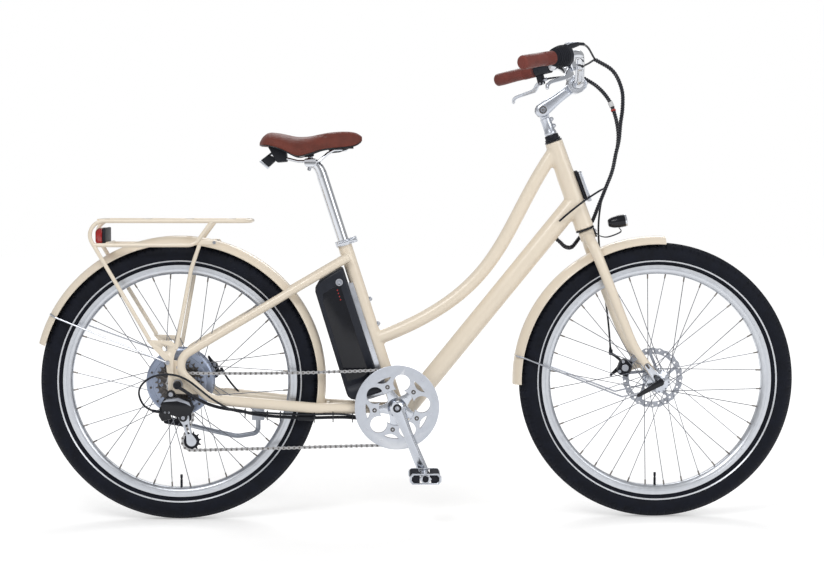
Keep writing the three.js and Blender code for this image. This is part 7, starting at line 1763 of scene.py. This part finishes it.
def make_pedal(centre, way, name):
    cage_shape = [(-38, -6), (-31.5, -13), (31.5, -13), (38, -6), (38, 6), (31.5, 13), (-31.5, 13), (-38, 6)]
    inner_shape = [(x * 0.86, z * 0.72) for x, z in cage_shape]
    plates = []
    near, far = 81, 169
    for low, high in ((near + 0.5, near + 3.6), (far - 3.6, far - 0.5)):
        flat = moved(cage_shape, centre)
        inner = moved(inner_shape, centre)
        ys = sorted((way * low, way * high))
        plate = side_slab("pedal_cage", flat, ys[0], ys[1], 0.7)
        hole = side_slab("pedal_hole", inner, ys[0] - 2, ys[1] + 2, 0)
        bridge = side_slab("pedal_bridge", moved([(-15, 0), (-9, -7), (-6, -11.5), (6, -11.5), (9, -7), (15, 0),
                (9, 7), (6, 11.5), (-6, 11.5), (-9, 7)], centre), ys[0] + 0.4, ys[1] - 0.4, 0.5)
        bore = pin("pedal_bore", centre + ACROSS * (way * 60), centre + ACROSS * (way * 200), 6.9, 0)
        plates += [cut(plate, hole), cut(bridge, bore)]
    barrel = turned("pedal_barrel", [(near + 1, 7.1), (near + 1, 9.6), (near + 6, 10), (near + 14, 8.4),
            (far - 30, 8), (far - 10, 9), (far - 1, 9.6), (far - 1, 7), (far - 4, 5.2), (near + 2, 5.2)],
            centre, ACROSS * way, 32)
    place(joined(name + "_cage", [*plates, barrel]), name, silver, "silver_alloy", name)
    cap = turned("pedal_cap", [(0, 0), (0, 6.9), (1.2, 6.9), (2, 6), (2, 0)],
            centre + ACROSS * (way * (far - 1)), ACROSS * way, 24)
    blocks = [cap]
    for end in (-1, 1):
        low_x, high_x = sorted((end * 13.5, end * 35))
        flat = moved([(low_x, -10.4), (high_x, -10.4), (high_x, 10.4), (low_x, 10.4)], centre)
        ys = sorted((way * (near + 3.9), way * (far - 3.9)))
        blocks.append(side_slab("pedal_rubber", flat, ys[0], ys[1], 1.6, 2))
        for k in range(9):
            y = ys[0] + 4.2 + k * (ys[1] - ys[0] - 8.4 - 5) / 8
            for face in (-1, 1):
                z0, z1 = sorted((face * 10, face * 12.4))
                rib = moved([(low_x + 1.5, z0), (high_x - 1.5, z0), (high_x - 1.5, z1), (low_x + 1.5, z1)], centre)
                blocks.append(side_slab("pedal_rib", rib, y, y + 5, 0.8, 1))
    place(joined(name + "_rubber", blocks), name, rubber, "black_rubber")


def make_cassette():
    sprockets = []
    for k, teeth in enumerate(SPROCKETS):
        radius = pitch_radius(teeth)
        near = -(33.5 + 4.6 * k)
        sprocket = side_slab("sprocket", toothed(REAR, teeth, radius - 3.2, radius + 2.8, 0.05 * k),
                near - 1.8, near, 0.2, 1)
        if teeth > 20:
            holes = []
            for j in range(6 if teeth > 21 else 5):
                angle = rad(60 * j + 12 * k)
                here = around(REAR, (radius + 18) / 2, angle, near - 5)
                holes.append(pin("hole", here, here + ACROSS * 8, (radius - 26) / 2, 0, 20))
            sprocket = cut(sprocket, joined("holes", holes))
        sprockets.append(flat_sided(sprocket))
    body = turned("freewheel", [(33.5, 6.8), (33.5, 15.8), (62, 15.8), (62.8, 15), (64.6, 14.4), (64.6, 9),
            (62.5, 6.8)], REAR, -ACROSS, 48)
    place(joined("cassette_shown", [body, *sprockets]), "cassette", dark_steel, "steel", "cassette")


def make_derailleur():
    hang = Vector((REAR.x - 16, 0, REAR.z - 23))
    outer = -73.8
    shares = [(-0.85, 0.55), (-0.5, 0.2), (0.6, 0.1), (1.6, 0.35), (1.9, 0.7), (1.6, 1.1), (0.9, 1.3), (-0.7, 1)]
    flat = [(hang.x + a * 30, hang.z - 45 * b) for a, b in shares]
    body = side_slab("link_body", flat, outer - 12.6, outer - 2, 3.4, 3)
    top = pin("hanger_knuckle", Vector((hang.x, outer - 12.8, hang.z)), Vector((hang.x, outer, hang.z)), 10, 1.6, 32)
    low = pin("guide_knuckle", Vector((GUIDE.x, outer - 12.8, GUIDE.z)),
            Vector((GUIDE.x, CHAIN_REAR - 7, GUIDE.z)), 10, 1.6, 32)
    block = side_slab("link_block", moved([(-27, -30), (-8, -34), (2, -60), (-22, -66), (-30, -52)], hang),
            outer - 11, outer - 1.5, 2, 2)
    place(joined("derailleur_body", [body, top, low, block]), "bike", gloss_black, "black_plastic", "derailleur_link")
    stripe = side_slab("link_plate_face", [(hang.x + a * 30, hang.z - 45 * b)
            for a, b in ((-0.66, 0.42), (-0.35, 0.27), (0.6, 0.2), (1.45, 0.42), (1.62, 0.66), (1.2, 0.5),
            (0.5, 0.36), (-0.4, 0.4))], outer - 13.5, outer - 12.4, 0.4)
    bolts = [hexagon_head("hanger_screw", Vector((hang.x, outer - 12.6, hang.z)), -ACROSS, 11, 3),
            hexagon_head("guide_screw", Vector((GUIDE.x, outer - 12.6, GUIDE.z)), -ACROSS, 9, 2.4)]
    bolts += [hexagon_head("limit_screw", Vector((hang.x - 14 + 9 * k, outer - 10.8, hang.z - 44)),
            -ACROSS, 5, 2) for k in range(2)]
    place(joined("derailleur_screws", [stripe, *bolts]), "bike", steel, "steel")
    way = TENSION - GUIDE
    reach = math.hypot(way.x, way.z)
    turn = math.degrees(math.atan2(way.z, way.x))
    shape = arc(0, 0, 13, 75, 285, 14) + [(18, -8.5), (reach - 18, -8)] + arc(reach, 0, 12, -105, 105,
            14) + [(reach - 18, 6), (18, 8.5)]
    plates = []
    for low_y, high_y in ((CHAIN_REAR - 6.4, CHAIN_REAR - 4.6), (CHAIN_REAR + 4.6, CHAIN_REAR + 6.4)):
        plate = side_slab("cage_plate", spin_flat(shape, turn, GUIDE.x, GUIDE.z), low_y, high_y, 0.5, 1)
        window = side_slab("cage_window", spin_flat([(20, -3.6), (reach - 19, -3.4), (reach - 19, 2.6), (20, 3.6)],
                turn, GUIDE.x, GUIDE.z), low_y - 2, high_y + 2, 0)
        plates.append(flat_sided(cut(plate, window)))
    for centre in (GUIDE, TENSION):
        plates.append(pin("cage_pin", centre - ACROSS * 7.6, centre + ACROSS * 7.2, 2.9, 0.5, 20))
        plates.append(hexagon_head("cage_screw", centre - ACROSS * 6.4, -ACROSS, 8, 1.6))
    place(joined("cage_shown", plates), "cage", silver, "silver_alloy", "derailleur_cage")
    for centre, node, pulley_body in ((GUIDE, "upper_pulley", "guide_pulley"),
            (TENSION, "lower_pulley", "tension_pulley")):
        radius = pitch_radius(PULLEY_TEETH)
        wheel = side_slab(node + "_shown", toothed(centre, PULLEY_TEETH, radius - 3.6, radius + 1.6, 0.2),
                CHAIN_REAR - 1.5, CHAIN_REAR + 1.5, 0.3, 1)
        holes = [pin("bore", centre - ACROSS * 4, centre + ACROSS * 4, 3.4, 0, 20)]
        for k in range(5):
            here = around(centre, 10, rad(72 * k))
            holes.append(pin("hole", here - ACROSS * 4, here + ACROSS * 4, 2.6, 0, 14))
        place(flat_sided(cut(wheel, *holes)), pulley_body, black_plastic, "black_plastic", node)


make_chainring(make_chain())
make_cranks()
make_pedal(RIGHT_PEDAL, -1, "right_pedal")
make_pedal(LEFT_PEDAL, 1, "left_pedal")
make_cassette()
make_derailleur()

# Cables

loom_route = [(424, -40, 1125), (467, -40, 1098), (489, -40, 1054), (493, -32, 1010), (490, -20, 970), (489, -4, 930),
        (483, 4, 898), (475, 10, 855), (461, 18, 815), (444, 28, 768), (430, 37, 730), (414, 45, 708),
        (396, 41, 686), (378, 28, 667), (360, 10, 669), (348, 2, 679.5), (338.3, 0, 687.6)]
left_loom_route = [(400, 60, 1092), (440, 40, 1065), (466, 14, 1030), (480, 0, 990), (487, -4, 950), (487, 0, 918)]
shifter_route = [(374, -190, 1150), (396, -120, 1146), (424, -40, 1125), (436, -40, 1119)]
right_brake_route = [(372, -190, 1098), (396, -120, 1110), (424, -40, 1125), (436, -40, 1119)]
left_brake_route = [(372, 190, 1098), (398, 120, 1094), (404, 60, 1090), (412, 54, 1084)]
front_brake_route = [(461, 18, 815), (452, 44, 770), (450, 62, 700), (462, 74, 600), (478, 74, 480), (484, 66, 400)]
port_route = [(461, 18, 815), (438, -20, 806), (401, -34, 783), (366, -36, 756), (340, -30, 733)]
gear_route = [(-150, -43, 255.5), (-196, -51, 263), (-292, -57, 263.4), (-389, -68, 270), (-448, -82, 276),
        (-500, -94, 305), (-560, -98, 352), (-600, -98, 366), (-640, -96, 362), (-668, -92, 344), (-678, -88, 320),
        (-668, -84, 292), (-648, -82, 278), (-630, -80, 274)]
motor_route = [(-150, -39, 251.5), (-196, -40, 254), (-292, -47, 254), (-389, -60, 263), (-437, -66, 274),
        (-480, -68, 281), (-515, -79, 293), (-545, -92, 311), (-568, -99, 327), (-582, -99.5, 336)]


def wrap_round(route, radius, pitch=6.2):
    """The ribbon that is wound round a bundle of cables."""
    rough = line_through(route, 60)
    reach = sum((b - a).length for a, b in zip(rough, rough[1:]))
    turns, steps = round(reach / pitch), 12
    line = evenly(rough, turns * steps)
    ribbon = []
    for k, here in enumerate(line):
        along = (line[min(k + 1, len(line) - 1)] - line[max(k - 1, 0)]).normalized()
        side = ACROSS.cross(along).normalized()
        angle = 2 * math.pi * k / steps
        ribbon.append(here + side * radius * math.cos(angle) + side.cross(along) * radius * math.sin(angle))
    return tube("ribbon", ribbon, 1.5, 6)


def make_cables():
    loom = tube("loom", line_through(loom_route, 80), 4.3, 16)
    left_loom = tube("left_loom", line_through(left_loom_route, 60), 4.2, 16)
    place(wrap_round(loom_route, 4.2), ("bike", "steering"), wrap_plastic, "black_plastic").name = "loom_wrap"
    place(wrap_round(left_loom_route, 4.1), "steering", wrap_plastic, "black_plastic").name = "left_loom_wrap"
    port = tube("port_cable", line_through(port_route, 40), HOUSING, 12)
    place(joined("cable_loom_shown", [loom, port]), ("bike", "steering"), black_plastic,
            "black_plastic", "cable_loom")
    thin = [tube("cable", line_through(route, 40), HOUSING, 12)
            for route in (shifter_route, right_brake_route, left_brake_route, front_brake_route)]
    place(joined("bar_cables", [left_loom, *thin]), "steering", black_plastic, "black_plastic")
    where = line_through(left_loom_route, 100)
    place(tube("sleeve", where[50:57], 6.4, 20), "steering", sleeve_white, "black_plastic").name = "white_sleeve"
    place(tube("sleeve", where[59:62], 6.2, 20), "steering", sleeve_red, "black_plastic").name = "red_sleeve"
    ferrules = []
    for route in (shifter_route, right_brake_route, left_brake_route, front_brake_route[::-1]):
        end, before = Vector(route[0]), Vector(route[1])
        ferrules.append(pin("ferrule", end, end + (before - end).normalized() * 14, 3.4, 0.6, 16))
    place(joined("loom_ferrules", ferrules), "steering", gloss_black, "black_plastic")
    stop = Vector(front_brake_route[-1])
    arm_tip = Vector((484, 60.6, 344))
    wires = [pin("brake_wire", stop, arm_tip, 0.9, 0, 8),
            pin("wire_clamp", arm_tip - ACROSS * 0.9, arm_tip + ACROSS * 2.6, 3.4, 0.5, 16)]
    place(joined("front_brake_wire", wires), "steering", steel, "steel")
    holder = [pin("cable_stop", stop - Vector((0, 0, 5)), stop + Vector((0, 0, 9)), 5, 1, 20),
            tube("stop_arm", line_through([stop - Vector((0, 0, 1)), (496, 62, 392), (509, 56, 380),
            (512, 54, 372)], 8), 3.6, 12)]
    place(joined("front_cable_stop", holder), "steering", black_plastic, "black_plastic")
    rear_route = [(-400, 59, 257), (-412, 60, 270), (-427, 61, 284), (-445.7, 62, 302), (-465, 63.5, 323),
            (-482, 65, 346), (-490, 66, 360)]
    rear_stop, rear_tip = Vector(rear_route[-1]), Vector((-520, 65, 391))
    rear = [tube("rear_brake_cable", line_through(rear_route, 30), HOUSING, 12),
            pin("rear_ferrule", rear_stop + Vector((5, 0, -10)), rear_stop + Vector((-3, 0, 5)), 3.6, 0.6, 16),
            tube("rear_stop_arm", line_through([rear_stop, (-498, 61, 356), (-506, 57, 352)], 6), 3.4, 12)]
    place(joined("rear_brake_cable_shown", rear), "bike", black_plastic, "black_plastic")
    place(pin("rear_brake_wire", rear_stop, rear_tip, 0.9, 0, 8), "bike", steel, "steel")
    boot = turned("motor_boot", [(-5.4, 6.3), (-5.4, 9.4), (0, 10.2), (8, 9.4), (13, 7.2), (14, 5), (14, 0), (1, 0),
            (1, 6.3)], REAR - ACROSS * 90.6, -ACROSS, 32)
    gear = tube("gear_cable", line_through(gear_route, 160), HOUSING, 12)
    motor = tube("motor_cable", line_through(motor_route, 60), 4, 14)
    plug = turned("motor_plug", [(0, 4.2), (0, 6.6), (3, 7.4), (34, 7.4), (38, 6), (44, 4.2)],
            Vector((-298, -47, 254)), Vector((1, 0.1, 0.0)), 24)
    end = Vector(gear_route[-1])
    ferrule = pin("gear_ferrule", end - Vector((1, 0, 0)), end - Vector((18, 1, -3)), 3.6, 0.6, 16)
    ties = []
    gear_line, motor_line = line_through(gear_route, 400), line_through(motor_route, 400)
    for x in (-165, -213, -258, -340, -372, -425):
        a = min(gear_line[:200], key=lambda p: abs(p.x - x))
        b = min(motor_line, key=lambda p: abs(p.x - x))
        middle = (a + b) / 2
        reach = (a - b).length / 2 + 4.6
        ring = bent([middle + Vector((0, y, z)) for y, z in ((-reach, 0), (-reach * 0.5, reach * 0.8),
                (reach * 0.5, reach * 0.8), (reach, 0), (reach * 0.5, -reach * 0.8), (-reach * 0.5, -reach * 0.8),
                (-reach, -0.01))], [4] * 5)
        ties.append(tube("tie", ring, 1.3, 8))
        ties.append(pin("tie_tail", middle + Vector((0, -reach * 0.4, -reach * 0.7)),
                middle + Vector((0, -reach * 0.6, -reach * 0.7 - 7)), 1.2, 0.2, 8))
    place(joined("chainstay_cables_shown", [gear, motor, plug, ferrule, boot, *ties]), "bike", black_plastic,
            "black_plastic", "chainstay_cables")


make_cables()
